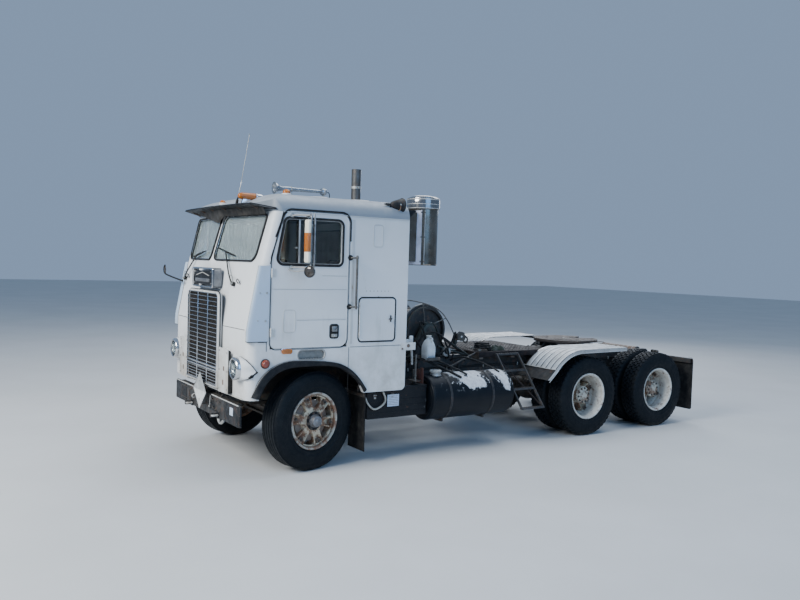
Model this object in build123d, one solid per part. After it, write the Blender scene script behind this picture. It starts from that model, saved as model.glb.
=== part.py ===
from build123d import *
import math
import os

os.makedirs("parts", exist_ok=True)

# ---------------------------------------------------------------------------
# Cab-over winch truck, 6x4.  Millimetres.
# Sections are written with Y measured from the front axle (rearward positive),
# X positive to the truck's left (driver side) and Z up from the ground.
# Every piece is shifted by Y_SHIFT when it is written, so that the origin is
# on the ground at the middle of the whole truck's length and width.
# ---------------------------------------------------------------------------
Y_FRONT = -855.0            # foremost point, the tow loops
Y_REAR = 6255.0             # rearmost point, the lamps on the tail bar
Y_SHIFT = -(Y_FRONT + Y_REAR) / 2

# wheels
TYRE_R, TYRE_W, RIM_FLANGE_R, BEAD_R = 525.0, 280.0, 305.0, 286.0
WHEELBASE = 4083.0          # front axle to first drive axle
TANDEM = 1420.0
AXLE_Y = [WHEELBASE, WHEELBASE + TANDEM]
FRONT_TYRE_X = 966.0
DUAL_X = [1045.0, 715.0]    # outer and inner tyre centres
KINGPIN_X = 830.0
STEER_REST = 11.5           # degrees to the left, as the truck is parked
TIE_X, TIE_Y = KINGPIN_X, 150.0   # tie rod pins, straight behind the king pins

# frame
RAIL_OUT, RAIL_W, RAIL_T = 432.0, 80.0, 8.0
RAIL_Z0, RAIL_Z1 = 740.0, 1010.0
RAIL_Y0, RAIL_Y1 = -690.0, 6120.0

# cab
CAB_HALF = 1143.0           # 90 in wide
CAB_REAR = 1134.0
WALL = 45.0
CAB_Z0, CAB_Z1 = 800.0, 2700.0
# z, y at the middle, y at X = 1060, y where the flat side starts
CAB_LEVELS = [
    (790.0, -780.0, -742.0, -650.0),
    (1500.0, -780.0, -742.0, -650.0),
    (2165.0, -722.0, -622.0, -532.0),
    (2700.0, -569.0, -491.0, -401.0),
]
FLOOR_Z0, FLOOR_Z1 = 1140.0, 1180.0
TUNNEL_X, TUNNEL_Z = 440.0, 1600.0
TILT_Y, TILT_Z = -700.0, 800.0

# door outline on the side plane: y, z, corner radius
DOOR_OUTLINE = [
    (-515.0, 1310.0, 60.0),
    (372.0, 1310.0, 90.0),
    (372.0, 2716.0, 95.0),
    (-366.0, 2716.0, 95.0),
    (-515.0, 2240.0, 0.0),
]
DOOR_WINDOW = [
    (-452.0, 2178.0, 55.0),
    (285.0, 2178.0, 45.0),
    (285.0, 2632.0, 55.0),
    (-366.0, 2632.0, 50.0),
]
ARCH = [
    (-617.0, 700.0), (-617.0, 808.0), (-556.0, 955.0), (-428.0, 1069.0), (-285.0, 1113.0),
    (-57.0, 1120.0), (238.0, 1113.0), (410.0, 1030.0), (538.0, 920.0), (600.0, 800.0), (600.0, 700.0),
]
LUGGAGE = (514.0, 975.0, 1360.0, 1830.0)   # y0, y1, z0, z1
DOOR_HINGE_Y, DOOR_HINGE_X = -510.0, 1150.0

# winch
WINCH_Y, WINCH_Z = 1950.0, 1385.0
FLANGE_R = 325.0

# fifth wheel
FIFTH_Y, FIFTH_PIVOT_Z = AXLE_Y[0] + TANDEM / 2, 1105.0
FIFTH_Z0, FIFTH_Z1 = 1140.0, 1170.0


# --------------------------- small helpers ---------------------------------
def box(x0, x1, y0, y1, z0, z1):
    return Pos((x0 + x1) / 2, (y0 + y1) / 2, (z0 + z1) / 2) * Box(x1 - x0, y1 - y0, z1 - z0)


def cyl_x(x0, x1, y, z, r):
    return Pos((x0 + x1) / 2, y, z) * Rot(0, 90, 0) * Cylinder(r, x1 - x0)


def cyl_y(y0, y1, x, z, r):
    return Pos(x, (y0 + y1) / 2, z) * Rot(90, 0, 0) * Cylinder(r, y1 - y0)


def cyl_z(z0, z1, x, y, r):
    return Pos(x, y, (z0 + z1) / 2) * Cylinder(r, z1 - z0)


def rod(p, q, r):
    p, q = Vector(*p), Vector(*q)
    d = q - p
    return Plane(origin=(p + q) / 2, z_dir=d) * Cylinder(r, d.length)


def poly(pts):
    return make_face(Polyline(*pts, close=True))


def prism_x(pts, x0, x1):
    return Pos(x0, 0, 0) * extrude(Plane.YZ * poly(pts), x1 - x0)


def prism_y(pts, y0, y1):
    return Pos(0, y1, 0) * extrude(Plane.XZ * poly(pts), y1 - y0)


def prism_z(pts, z0, z1):
    return Pos(0, 0, z0) * extrude(Plane.XY * poly(pts), z1 - z0)


def rounded_face(rows, grow=0.0):
    """Face in local 2D from rows of u, v, corner radius; grow moves every side out."""
    n = len(rows)
    pts = []
    area = sum(rows[i][0] * rows[(i + 1) % n][1] - rows[(i + 1) % n][0] * rows[i][1] for i in range(n))
    s = 1.0 if area > 0 else -1.0
    for i in range(n):
        (x0, y0), (x1, y1), (x2, y2) = rows[i - 1][:2], rows[i][:2], rows[(i + 1) % n][:2]
        a = math.atan2(y1 - y0, x1 - x0)
        b = math.atan2(y2 - y1, x2 - x1)
        # outward normals of both sides
        na = (math.sin(a) * s, -math.cos(a) * s)
        nb = (math.sin(b) * s, -math.cos(b) * s)
        k = grow / (1 + na[0] * nb[0] + na[1] * nb[1])
        pts.append((x1 + k * (na[0] + nb[0]), y1 + k * (na[1] + nb[1])))
    f = make_face(Polyline(*pts, close=True))
    for (x, y), row in zip(pts, rows):
        r = row[2] + grow if row[2] > 0 else 0
        if r > 1:
            v = sorted(f.vertices(), key=lambda q: (q.X - x) ** 2 + (q.Y - y) ** 2)[0]
            f = fillet(v, r)
    return f


def side_prism(rows, x0, x1, grow=0.0):
    return Pos(x0, 0, 0) * extrude(Plane.YZ * rounded_face(rows, grow), x1 - x0)


def rect(u0, u1, v0, v1, r):
    return [(u0, v0, r), (u1, v0, r), (u1, v1, r), (u0, v1, r)]


def revolve_x(pts, x=0.0, y=0.0, z=0.0):
    """pts are (x, radius); the closed profile is turned about the X axis."""
    f = Plane.XY * poly(pts)
    return Pos(x, y, z) * revolve(f, Axis.X, 360)


def revolve_z(pts, x=0.0, y=0.0, z=0.0):
    """pts are (radius, z); the closed profile is turned about the Z axis."""
    f = Plane.XZ * poly(pts)
    return Pos(x, y, z) * revolve(f, Axis.Z, 360)


def flip(shape):
    return mirror(shape, about=Plane.YZ)


def fuse(*shapes):
    out = shapes[0]
    for s in shapes[1:]:
        out = out + s
    return out


def turn(shape, angle, x, y):
    return Pos(x, y, 0) * Rot(0, 0, angle) * Pos(-x, -y, 0) * shape


NODES = {}


def node(name, *shapes):
    NODES[name] = list(shapes)


# ------------------------------ frame --------------------------------------
def rail():
    pts = [
        (RAIL_OUT, RAIL_Z0), (RAIL_OUT, RAIL_Z1), (RAIL_OUT - RAIL_W, RAIL_Z1),
        (RAIL_OUT - RAIL_W, RAIL_Z1 - RAIL_T), (RAIL_OUT - RAIL_T, RAIL_Z1 - RAIL_T),
        (RAIL_OUT - RAIL_T, RAIL_Z0 + RAIL_T), (RAIL_OUT - RAIL_W, RAIL_Z0 + RAIL_T),
        (RAIL_OUT - RAIL_W, RAIL_Z0),
    ]
    return prism_y(pts, RAIL_Y0, RAIL_Y1)


node("frame_rails", rail(), flip(rail()))

WEB = RAIL_OUT - RAIL_T
# y0, y1, z0, z1 of the channels between the rails
CROSS = [
    (-660.0, -500.0, 755.0, 815.0),
    (1730.0, 1790.0, 860.0, 985.0),
    (2800.0, 2860.0, 860.0, 985.0),
    (3500.0, 3560.0, 860.0, 985.0),
    (4740.0, 4846.0, 860.0, 985.0),
    (5850.0, 5900.0, 780.0, 985.0),
]
cross = []
for y0, y1, z0, z1 in CROSS:
    beam = box(-WEB, WEB, y0, y1, z0, z1) - box(-WEB - 1, WEB + 1, y0 + 8, y1 + 1, z0 + 8, z1 - 8)
    cross.append(beam)
# rear cab rest: arch of plate standing on the rails, with two pads
rest = prism_y([(-400, 1010), (-360, 1010), (-330, 1090), (330, 1090), (360, 1010), (400, 1010),
                (380, 1115), (-380, 1115)], 1000, 1050)
cross.append(fuse(rest, cyl_z(1115, 1134, 360, 1025, 30), cyl_z(1115, 1134, -360, 1025, 30)))
# bearing blocks of the tail roller, on the webs
for sx in (1, -1):
    b = box(348, WEB, 5985, 6055, 900, 1000) - cyl_x(340, 430, 6020, 965, 15.3)
    cross.append(b if sx > 0 else flip(b))

# tank cradles, box hangers and fender stays, both sides
out = []
TANK_X, TANK_Z, TANK_R = 875.0, 645.0, 272.0
TANK_Y0, TANK_Y1 = 1553.0, 2787.0
for y in (1810.0, 2445.0):
    cradle = prism_y([(432, 745), (432, 985), (445, 985), (445, 840), (620, 840), (620, 380), (960, 380), (960, 345),
                      (600, 345), (520, 460), (445, 745)], y - 12, y + 12)
    out.append(cradle - cyl_y(y - 60, y + 60, TANK_X, TANK_Z, TANK_R + 0.5))
for y in (820.0, 1190.0):
    out.append(box(432, 598, y - 25, y + 25, 745, 775))
for y, z in ((3620.0, 985.0), (4745.0, 1000.0)):
    if y < 4000:
        stay = rod((439, y, z), (1120, y, 1040), 16)
        stay = stay + box(432, 442, y - 50, y + 50, z - 60, z + 22)
    else:
        stay = fuse(box(432, 440, y - 50, y + 50, 860, 1135), rod((440, y, 1121), (1120, y, 1121), 16))
    out.append(stay)
out += [flip(s) for s in list(out)]

# bumper: channel open to the rear, with two hangers and tow loops
BUMP_X, BUMP_Z0, BUMP_Z1, BUMP_Y = 1012.0, 510.0, 730.0, -770.0
bump = box(-BUMP_X, BUMP_X, BUMP_Y, -695, BUMP_Z0, BUMP_Z1)
bump = fillet(bump.edges().filter_by(Axis.Z).sort_by(Axis.Y)[:2], 30)
bump = bump - box(-BUMP_X - 1, BUMP_X + 1, BUMP_Y + 8, -690, BUMP_Z0 + 8, BUMP_Z1 - 8)
# its flanges stop short at both ends
bump = bump - box(900, 1100, -742, -690, 480, 760) - box(-1100, -900, -742, -690, 480, 760)
for sx in (1, -1):
    h = prism_x([(-762, 560), (-705, 560), (-705, 750), (-560, 750), (-560, 985), (-690, 985), (-705, 795), (-762, 720)],
                RAIL_OUT + 0.3, RAIL_OUT + 16)
    hook = box(395, 435, -855, -762, 520, 560)
    hook = hook - cyl_z(500, 580, 415, -825, 13)
    hook = fillet(hook.edges().filter_by(Axis.Z).sort_by(Axis.Y)[:2], 18)
    piece = h + hook
    bump = bump + (piece if sx > 0 else flip(piece))
node("front_bumper", bump)

# engine block and radiator
engine_block = box(-330, 330, -400, 830, 600, 1480)
radiator = box(-340, 340, -622, -545, 816, 1540) + box(-410, 410, -622, -545, 1016, 1540)

# gearbox and shafts
gear = box(-190, 190, 829, 1500, 640, 1000)
gear = gear + cyl_y(1490, 1600, 0, 745, 90)
shaft1 = rod((0, 1590, 745), (0, AXLE_Y[0] - 300, 590), 48)
DIFF_R = 215.0


def drive_axle(y):
    tube = cyl_x(-600, 600, y, TYRE_R, 62)
    ends = cyl_x(-1045, 1045, y, TYRE_R, 49.5)
    ball = Pos(0, y, TYRE_R) * Sphere(DIFF_R)
    nose = cyl_y(y - 330, y, 0, TYRE_R + 40, 85)
    s = fuse(tube, ends, ball, nose)
    plates = cyl_x(586, 596, y, TYRE_R, 195)
    return fuse(s, plates, flip(plates))


axle1, axle2 = drive_axle(AXLE_Y[0]), drive_axle(AXLE_Y[1])
shaft2 = rod((0, AXLE_Y[0] + 180, TYRE_R + 30), (0, AXLE_Y[1] - 320, TYRE_R + 40), 40)
node("engine_and_driveline", (engine_block + gear + shaft1) - axle1, radiator, shaft2 - axle1 - axle2)

# front axle: dropped I beam with king pins
beam_top = [(-790, 560), (-660, 560), (-560, 500), (560, 500), (660, 560), (790, 560)]
beam_pts = beam_top + [(790, 480), (700, 480), (590, 400), (-590, 400), (-700, 480), (-790, 480)]
faxle = prism_y(beam_pts, -55, 55)
faxle = faxle - box(-540, 540, -56, -20, 425, 475) - box(-540, 540, 20, 56, 425, 475)
for sx in (1, -1):
    boss = fuse(cyl_z(442, 618, sx * KINGPIN_X, 0, 45), cyl_z(370, 690, sx * KINGPIN_X, 0, 22))
    faxle = faxle + boss
node("axles", faxle, axle1, axle2)

# suspension: front leaf packs with hangers, rear walking beams with saddles
leaf = prism_x([(-660, 700), (-660, 722), (-330, 668), (0, 640), (330, 668), (660, 722), (660, 700), (430, 655),
                (430, 640), (250, 620), (250, 605), (110, 590), (110, 501), (-110, 501), (-110, 590),
                (-250, 605), (-250, 620), (-430, 640), (-430, 655)], 390, 470)
hang = [prism_x([(y - 48, 739.7), (y + 48, 739.7), (y + 30, 700), (y - 30, 700)], 392, 468) for y in (-645.0, 645.0)]
front_spring = fuse(leaf, *hang)
WB_X0, WB_X1 = 468.0, 545.0
wb = prism_x([(AXLE_Y[0] - 110, 470), (AXLE_Y[0] + 60, 440), (FIFTH_Y - 150, 400), (FIFTH_Y + 150, 400),
              (AXLE_Y[1] - 60, 440), (AXLE_Y[1] + 110, 470), (AXLE_Y[1] + 110, 590), (AXLE_Y[1] - 60, 610),
              (FIFTH_Y + 130, 650), (FIFTH_Y - 130, 650), (AXLE_Y[0] + 60, 610), (AXLE_Y[0] - 110, 590)],
             WB_X0, WB_X1)
for y in AXLE_Y:
    wb = wb - cyl_x(400, 600, y, TYRE_R, 62.5)
saddle = prism_y([(360, 739.7), (360, 700), (468, 640), (545, 640), (545, 739.7)], FIFTH_Y - 90, FIFTH_Y + 90)
rear_susp = wb + saddle
node("suspension", front_spring, flip(front_spring), rear_susp, flip(rear_susp))

# ------------------------------ steering -----------------------------------


def knuckle():
    web = box(886, 928, -65, 65, 380, 680)
    arms = fuse(box(795, 890, -50, 50, 628, 680), box(795, 890, -50, 50, 380, 432))
    spindle = cyl_x(920, 1080, 0, TYRE_R, 34.5)
    plate = cyl_x(928, 934, 0, TYRE_R, 190)
    arm = box(802, 858, 30, TIE_Y + 30, 392, 420)
    k = fuse(web, arms, spindle, plate, arm)
    k = k - cyl_z(360, 700, KINGPIN_X, 0, 22.5) - cyl_z(380, 440, TIE_X, TIE_Y, 12.3)
    return k


KL = turn(knuckle(), STEER_REST, KINGPIN_X, 0)
KR = turn(flip(knuckle()), STEER_REST, -KINGPIN_X, 0)
node("knuckle_left", KL)
node("knuckle_right", KR)


def arm_end(side):
    dx, dy = (TIE_X - KINGPIN_X) * side, TIE_Y
    a = math.radians(STEER_REST)
    return (KINGPIN_X * side + dx * math.cos(a) - dy * math.sin(a), dx * math.sin(a) + dy * math.cos(a))


# the left arm end leads; the rod keeps its own direction as the truck steers
pl, pr = arm_end(1), arm_end(-1)
tie = rod((pl[0], pl[1], 362), (pr[0], pr[1], 362), 17)
for p in (pl, pr):
    tie = fuse(tie, cyl_z(340, 384, p[0], p[1], 26), cyl_z(340, 415, p[0], p[1], 11.8))
node("tie_rod", tie)


# ------------------------------- wheels ------------------------------------
def tyre(xc):
    h = TYRE_W / 2
    pts = [
        (-107.5, BEAD_R + 0.4), (-107.5, 306), (-122, 313), (-138, 372), (-h, 410), (-134, 455), (-118, 498), (-104, TYRE_R - 3),
        (-90, TYRE_R), (90, TYRE_R), (104, TYRE_R - 3), (118, 498), (134, 455), (h, 410), (138, 372), (122, 313),
        (107.5, 306), (107.5, BEAD_R + 0.4), (84, BEAD_R + 0.4), (104, 330), (118, 405), (108, 455), (85, 494), (-85, 494),
        (-108, 455), (-118, 405), (-104, 330), (-84, BEAD_R + 0.4),
    ]
    return revolve_x([(xc + x, r) for x, r in pts], 0, 0, 0)


def rim(xc):
    pts = [
        (-117, 292), (-117, RIM_FLANGE_R), (-109.5, RIM_FLANGE_R), (-109, BEAD_R), (109, BEAD_R),
        (109.5, RIM_FLANGE_R), (117, RIM_FLANGE_R), (117, 292), (108, 276), (60, 272), (-60, 272), (-108, 276),
    ]
    return revolve_x([(xc + x, r) for x, r in pts])


def spokes(n, x0, x1, r0, r1, w0, w1, phase):
    out = None
    for i in range(n):
        # radial spoke: narrower at the rim, drawn in the YZ plane
        pts = [(-w0 / 2, r0), (-w1 / 2, r1), (w1 / 2, r1), (w0 / 2, r0)]
        s = Rot(360.0 / n * i + phase, 0, 0) * prism_x(pts, x0, x1)
        out = s if out is None else out + s
    return out


def front_wheel():
    r = rim(FRONT_TYRE_X)
    hub = revolve_x([(945, 36.0), (945, 105), (960, 120), (1000, 122), (1050, 100), (1096, 92), (1118, 62), (1150, 56),
                     (1156, 45), (1156, 0), (1100, 0), (1100, 36.0)])
    sp = spokes(6, 985, 1055, 80, 274, 118, 82, 12)
    drum = revolve_x([(938, 200), (938, 212), (1010, 214), (1016, 100), (1004, 100), (1000, 200)])
    return fuse(r, hub, sp, drum)


FW = Pos(0, 0, TYRE_R) * front_wheel()
FT = Pos(0, 0, TYRE_R) * tyre(FRONT_TYRE_X)
for side, name in ((1, "left"), (-1, "right")):
    for s, label in ((FW, "front_wheel_"), (FT, "front_tyre_")):
        t = s if side > 0 else flip(s)
        node(label + name, turn(t, STEER_REST, KINGPIN_X * side, 0))


def rear_wheel():
    r = rim(DUAL_X[0]) + rim(DUAL_X[1])
    band = revolve_x([(DUAL_X[1] + 60, 271), (DUAL_X[1] + 60, 280), (DUAL_X[0] - 60, 280), (DUAL_X[0] - 60, 271)])
    hub = revolve_x([(790, 50.0), (790, 120), (830, 128), (930, 122), (960, 108), (1060, 104), (1072, 96), (1088, 60),
                     (1094, 0), (1060, 0), (1060, 50.0)])
    sp = spokes(5, 840, 925, 100, 272.5, 130, 95, 20)
    drum = revolve_x([(604, 205), (604, 222), (770, 226), (800, 110), (785, 110), (765, 205)])
    return fuse(r, band, hub, sp, drum)


RW, RT = rear_wheel(), (tyre(DUAL_X[0]), tyre(DUAL_X[1]))
for i, y in enumerate(AXLE_Y):
    for side, name in ((1, "left"), (-1, "right")):
        at = Pos(0, y, TYRE_R)
        w = at * RW if side > 0 else flip(at * RW)
        ts = [at * t if side > 0 else flip(at * t) for t in RT]
        node(f"drive_wheel_{i + 1}_{name}", w)
        node(f"drive_tyres_{i + 1}_{name}", *ts)

# --------------------------- tanks and boxes --------------------------------
tank = cyl_y(TANK_Y0, TANK_Y1, TANK_X, TANK_Z, TANK_R)
tank = fillet(tank.edges(), 28)
tank = tank + cyl_z(TANK_Z + TANK_R - 34, TANK_Z + TANK_R + 26, TANK_X + 55, TANK_Y0 + 162, 55)
node("fuel_tanks", tank, flip(tank))
bb = fillet(box(600, 1020, 720, 1300, 470, 775).edges().filter_by(Axis.X), 12)
bb = bb + fillet(box(600, 1020, 1150, 1524, 470, 815).edges().filter_by(Axis.X), 12)
node("battery_boxes", bb, flip(bb))

# ------------------------------ rear body -----------------------------------
deck = fuse(box(-600, 600, 2640, 3860, 1090, 1100), box(-600, -590, 2640, 3860, 1040, 1100),
            box(590, 600, 2640, 3860, 1040, 1100))
for y in (2660.0, 3200.0, 3780.0):
    deck = deck + box(-590, 590, y, y + 60, 1010.3, 1095)
deck = deck - box(-340, 340, 2600, 3900, 1000, 1082)
node("deck_plate", deck)

LAD_T, LAD_B = (631.0, 1085.0), (1172.0, 440.0)   # X, Z of the ladder's top and bottom
LAD_Y0, LAD_Y1 = 2895.0, 3255.0
lad = None
for y in (LAD_Y0, LAD_Y1):
    r = prism_y([(LAD_T[0] - 12, LAD_T[1]), (LAD_T[0] + 26, LAD_T[1]), (LAD_B[0] + 20, LAD_B[1]), (LAD_B[0] - 18, LAD_B[1])],
                y - 8, y + 8)
    lad = r if lad is None else lad + r
for t in (0.0, 0.30, 0.63, 0.965):
    x = LAD_T[0] + (LAD_B[0] - LAD_T[0]) * t
    z = LAD_T[1] + (LAD_B[1] - LAD_T[1]) * t
    lad = lad + box(x - 22, x + 30, LAD_Y0, LAD_Y1, z - 28, z - 4)
lad = lad + box(600.3, 640, LAD_Y0 - 8, LAD_Y0 + 8, 1040, 1085) + box(600.3, 640, LAD_Y1 - 8, LAD_Y1 + 8, 1040, 1085)
node("deck_ladder", lad)

# fenders over the first drive axle: one sheet with a turned-down outer lip
FEN_X0, FEN_X1, FEN_Y1 = 612.0, 1200.0, 4760.0


def fender_curve(d):
    a = Line((3290 + d, 785), (3430 + d, 915 - d * 0.3))
    b = ThreePointArc((3430 + d, 915 - d * 0.3), (3620 + d * 0.7, 1072 - d * 0.7), (3930, 1148 - d))
    c = Line((3930, 1148 - d), (FEN_Y1, 1152 - d))
    return a, b, c


def band(d0, d1, x0, x1):
    a, b, c = fender_curve(d0)
    a2, b2, c2 = fender_curve(d1)
    w = a + b + c + Line((FEN_Y1, 1152 - d0), (FEN_Y1, 1152 - d1)) + c2 + b2 + a2 + Line((3290 + d1, 785), (3290 + d0, 785))
    return Pos(x0, 0, 0) * extrude(Plane.YZ * make_face(w), x1 - x0)


fend = band(0, 6, FEN_X0, FEN_X1) + band(0, 40, FEN_X1 - 6, FEN_X1)
node("rear_fenders", fend, flip(fend))

# mudflaps: behind the front wheels and behind the rear duals
rear_flap = fillet(box(600, 1210, 6205, 6217, 190, 930).edges().filter_by(Axis.Y), 25)
front_flap = box(760, 1110, 640, 650, 140, 780)
node("mudflaps", rear_flap, flip(rear_flap), front_flap, flip(front_flap))

# tail bar with lamp boxes, on the rails' ends
bar = box(-1210, 1210, 6145, 6205, 880, 945) - box(-1220, 1220, 6151, 6199, 870, 939)
bar = bar + box(-432, 432, 6120.3, 6146, 760, 990)
for x in (255.0, 375.0, -255.0, -375.0):
    bar = bar + (cyl_y(6200, 6255, x, 912, 48))
bar = bar + box(-160, 160, 6200, 6225, 800, 960)
node("tail_bar", bar)

# fifth wheel base: mounting plates and two pivot ears a side
fb = box(-425, 425, FIFTH_Y - 420, FIFTH_Y + 420, 1010.3, 1024)
for x in (-330.0, 330.0):
    ear = prism_x([(FIFTH_Y - 150, 1024), (FIFTH_Y + 150, 1024), (FIFTH_Y + 40, 1127), (FIFTH_Y - 40, 1127)], x - 18, x + 18)
    ear = ear - cyl_x(x - 30, x + 30, FIFTH_Y, FIFTH_PIVOT_Z - 16, 20.3)
    fb = fb + ear
fb = fb - box(-250, 250, FIFTH_Y - 300, FIFTH_Y + 300, 1000, 1030)
node("fifth_wheel_base", fb)

# fifth wheel plate: round plate with a rear throat, pivot lugs below
plate = cyl_z(FIFTH_Z0, FIFTH_Z1, 0, FIFTH_Y, 470)
plate = plate & box(-430, 430, FIFTH_Y - 480, FIFTH_Y + 460, 1100, 1250)
plate = plate - prism_z([(-28, FIFTH_Y + 10), (28, FIFTH_Y + 10), (28, FIFTH_Y + 230), (190, FIFTH_Y + 520),
                         (-190, FIFTH_Y + 520), (-28, FIFTH_Y + 230)], 1100, 1300)
plate = plate - cyl_z(1100, 1300, 0, FIFTH_Y + 10, 28)
for x in (-330.0, 330.0):
    for d in (-40.0, 40.0):
        lug = prism_x([(FIFTH_Y - 60, FIFTH_Z0), (FIFTH_Y + 60, FIFTH_Z0), (FIFTH_Y + 26, FIFTH_PIVOT_Z - 40),
                       (FIFTH_Y - 26, FIFTH_PIVOT_Z - 40)], x + d - 12, x + d + 12)
        plate = plate + lug
    plate = plate + cyl_x(x - 52, x + 52, FIFTH_Y, FIFTH_PIVOT_Z - 16, 20)
node("fifth_wheel_plate", plate)

# tail roller
node("tail_roller", cyl_x(-340, 340, 6020, 965, 70) + cyl_x(-420, 420, 6020, 965, 15))

# -------------------------------- winch -------------------------------------
wf = None
for sx in (1, -1):
    skid = box(345, 425, 1390, 2620, 1010.3, 1060)
    side = prism_x([(WINCH_Y - 300, 1055), (WINCH_Y + 300, 1055), (WINCH_Y + 95, WINCH_Z + 60), (WINCH_Y + 60, WINCH_Z + 95),
                    (WINCH_Y - 60, WINCH_Z + 95), (WINCH_Y - 95, WINCH_Z + 60)], 408, 430)
    side = side + cyl_x(404, 452, WINCH_Y, WINCH_Z, 78)
    side = side - cyl_x(395, 460, WINCH_Y, WINCH_Z, 42.3)
    brace = rod((415, WINCH_Y + 110, WINCH_Z - 20), (415, 2590, 1050), 18)
    part = fuse(skid, side, brace)
    part = part if sx > 0 else flip(part)
    wf = part if wf is None else wf + part
for y in (1390.0, 2560.0):
    wf = wf + box(-400, 400, y, y + 60, 1010.3, 1060)
wf = wf + rod((-415, WINCH_Y - 280, 1120), (415, WINCH_Y - 280, 1120), 22)
node("winch_frame", wf)

drum = revolve_x([(-398, 0), (-398, 42), (-330, 42), (-330, 110), (-322, FLANGE_R), (-300, FLANGE_R), (-300, 215), (300, 215),
                  (300, FLANGE_R), (322, FLANGE_R), (330, 285), (385, 285), (385, 262), (340, 258), (340, 42), (450, 42),
                  (450, 0)])
node("winch_drum", Pos(0, WINCH_Y, WINCH_Z) * drum)
# gear case on the right, chain case down to the power take-off
gc = fuse(cyl_x(-560, -455, WINCH_Y, WINCH_Z, 210), box(-545, -470, WINCH_Y - 150, WINCH_Y + 150, 1010.3, WINCH_Z))
gc = gc + cyl_x(-600, -560, WINCH_Y - 40, WINCH_Z - 60, 80)
node("winch_drive", gc)

# ------------------------------ exhaust -------------------------------------
EX_X, EX_Y = -700.0, 1500.0
ex = cyl_z(1380, 2420, EX_X, EX_Y, 118)
ex = fillet(ex.edges(), 30)
ex = ex + cyl_z(2380, 3440, EX_X, EX_Y, 63.5) + cyl_z(1180, 1400, EX_X, EX_Y, 63.5)
ex = ex - cyl_z(2500, 3450, EX_X, EX_Y, 60)
post = box(-560, -520, EX_Y - 190, EX_Y - 150, 1010.3, 2300) + box(-560, -400, EX_Y - 190, EX_Y - 150, 1010.3, 1030)
ex = ex + post
for z in (1560.0, 2250.0):
    ex = ex + prism_z([(-560, EX_Y - 190), (-520, EX_Y - 190), (-600, EX_Y - 60), (-700, EX_Y - 60)], z - 20, z + 20)
ex = ex - cyl_z(3380, 3450, EX_X, EX_Y, 60)
node("exhaust_stack", ex)


# ================================ cab =======================================
def plan(level, d):
    """Closed plan outline at one height, moved inwards by d; lines and four small arcs."""
    z, yc, ye, ys = level
    h, yr = CAB_HALF - d, CAB_REAR - d
    yc, ys = yc + d, ys + d * 0.4
    k = (ye + d - yc) / 1060.0
    corner = yc + k * h
    r = ys - corner
    x1 = h - r
    y1 = yc + k * x1
    m = (h - 0.29 * r, corner + 0.29 * r)
    e = [
        Line((0, yc), (x1, y1)),
        ThreePointArc((x1, y1), m, (h, ys)),
        Line((h, ys), (h, yr)),
        Line((h, yr), (-h, yr)),
        Line((-h, yr), (-h, ys)),
        ThreePointArc((-h, ys), (-m[0], m[1]), (-x1, y1)),
        Line((-x1, y1), (0, yc)),
    ]
    f = make_face(e[0] + e[1] + e[2] + e[3] + e[4] + e[5] + e[6])
    return Pos(0, 0, z) * f


def cab_form(d, levels=CAB_LEVELS):
    out = None
    for a, b in zip(levels, levels[1:]):
        s = loft([plan(a, d), plan(b, d)], ruled=True)
        out = s if out is None else out + s
    return out


outer, inner = cab_form(0), cab_form(WALL)
shell = outer - inner

SPLIT = [(-515, 700), (-515, 2240), (-366 - (2716 - 2700) * 0.313 - 1, 2700), (-366 - 1, 2710), (-366, 2760),
         (-900, 2760), (-900, 700)]
front_zone = prism_x(SPLIT, -1200, 1200)
front = shell & front_zone
front = front & box(-1200, 1200, -900, 0, CAB_Z0, 2700)

# windscreen openings, drawn on a plane facing forwards: x, z, radius
SCREEN = [(52.0, 2196.0, 70.0), (980.0, 2196.0, 95.0), (1010.0, 2660.0, 40.0), (52.0, 2672.0, 70.0)]


def screen_prism(side, grow=0.0):
    f = rounded_face(SCREEN, grow)
    s = Pos(0, 0, 0) * extrude(Plane.XZ * f, 1000)
    return s if side > 0 else flip(s)


SCREEN_Y = (-1000, 0)
for side in (1, -1):
    front = front - screen_prism(side)
# grille opening and the tunnel's mouth below the floor
front = front - box(-420, 420, -900, -600, 835, 1590)
# wheel arch
arch = prism_x(ARCH, -1200, 1200)
front = front - arch
# hinge ears at the bottom
for x in (-250.0, 250.0):
    ear = fuse(prism_x([(-735, CAB_Z0), (-735, 834), (-676, 834), (-680, 786), (-692, 776), (-708, 776), (-722, 784), (-735, 800)],
                       x - 20, x + 20))
    front = front + ear
    front = front - cyl_x(x - 30, x + 30, TILT_Y, TILT_Z, 16.3)
node("cab_front", front)

# frame side of the tilt hinge, on the first crossmember and the rails
hinge = None
for sx in (1, -1):
    b = fuse(box(278, 300, -715, -664, 737, 815), box(200, 222, -715, -664, 737, 815))
    b = b + cyl_x(200, 300, TILT_Y, TILT_Z, 16)
    b = b if sx > 0 else flip(b)
    hinge = b if hinge is None else hinge + b
hinge = hinge + box(-351.7, 351.7, -690, -661, 737, 757)
cross[0] = cross[0] + hinge + box(-300, 300, -668, -655, 740, 812)
node("crossmembers", *cross, *out)


SKIRT_CORNER = box(1000, 1200, CAB_REAR - 55, CAB_REAR + 5, CAB_Z0 - 5, CAB_Z0 + 55) - cyl_x(990, 1210, CAB_REAR - 55, CAB_Z0 + 55, 55)


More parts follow.
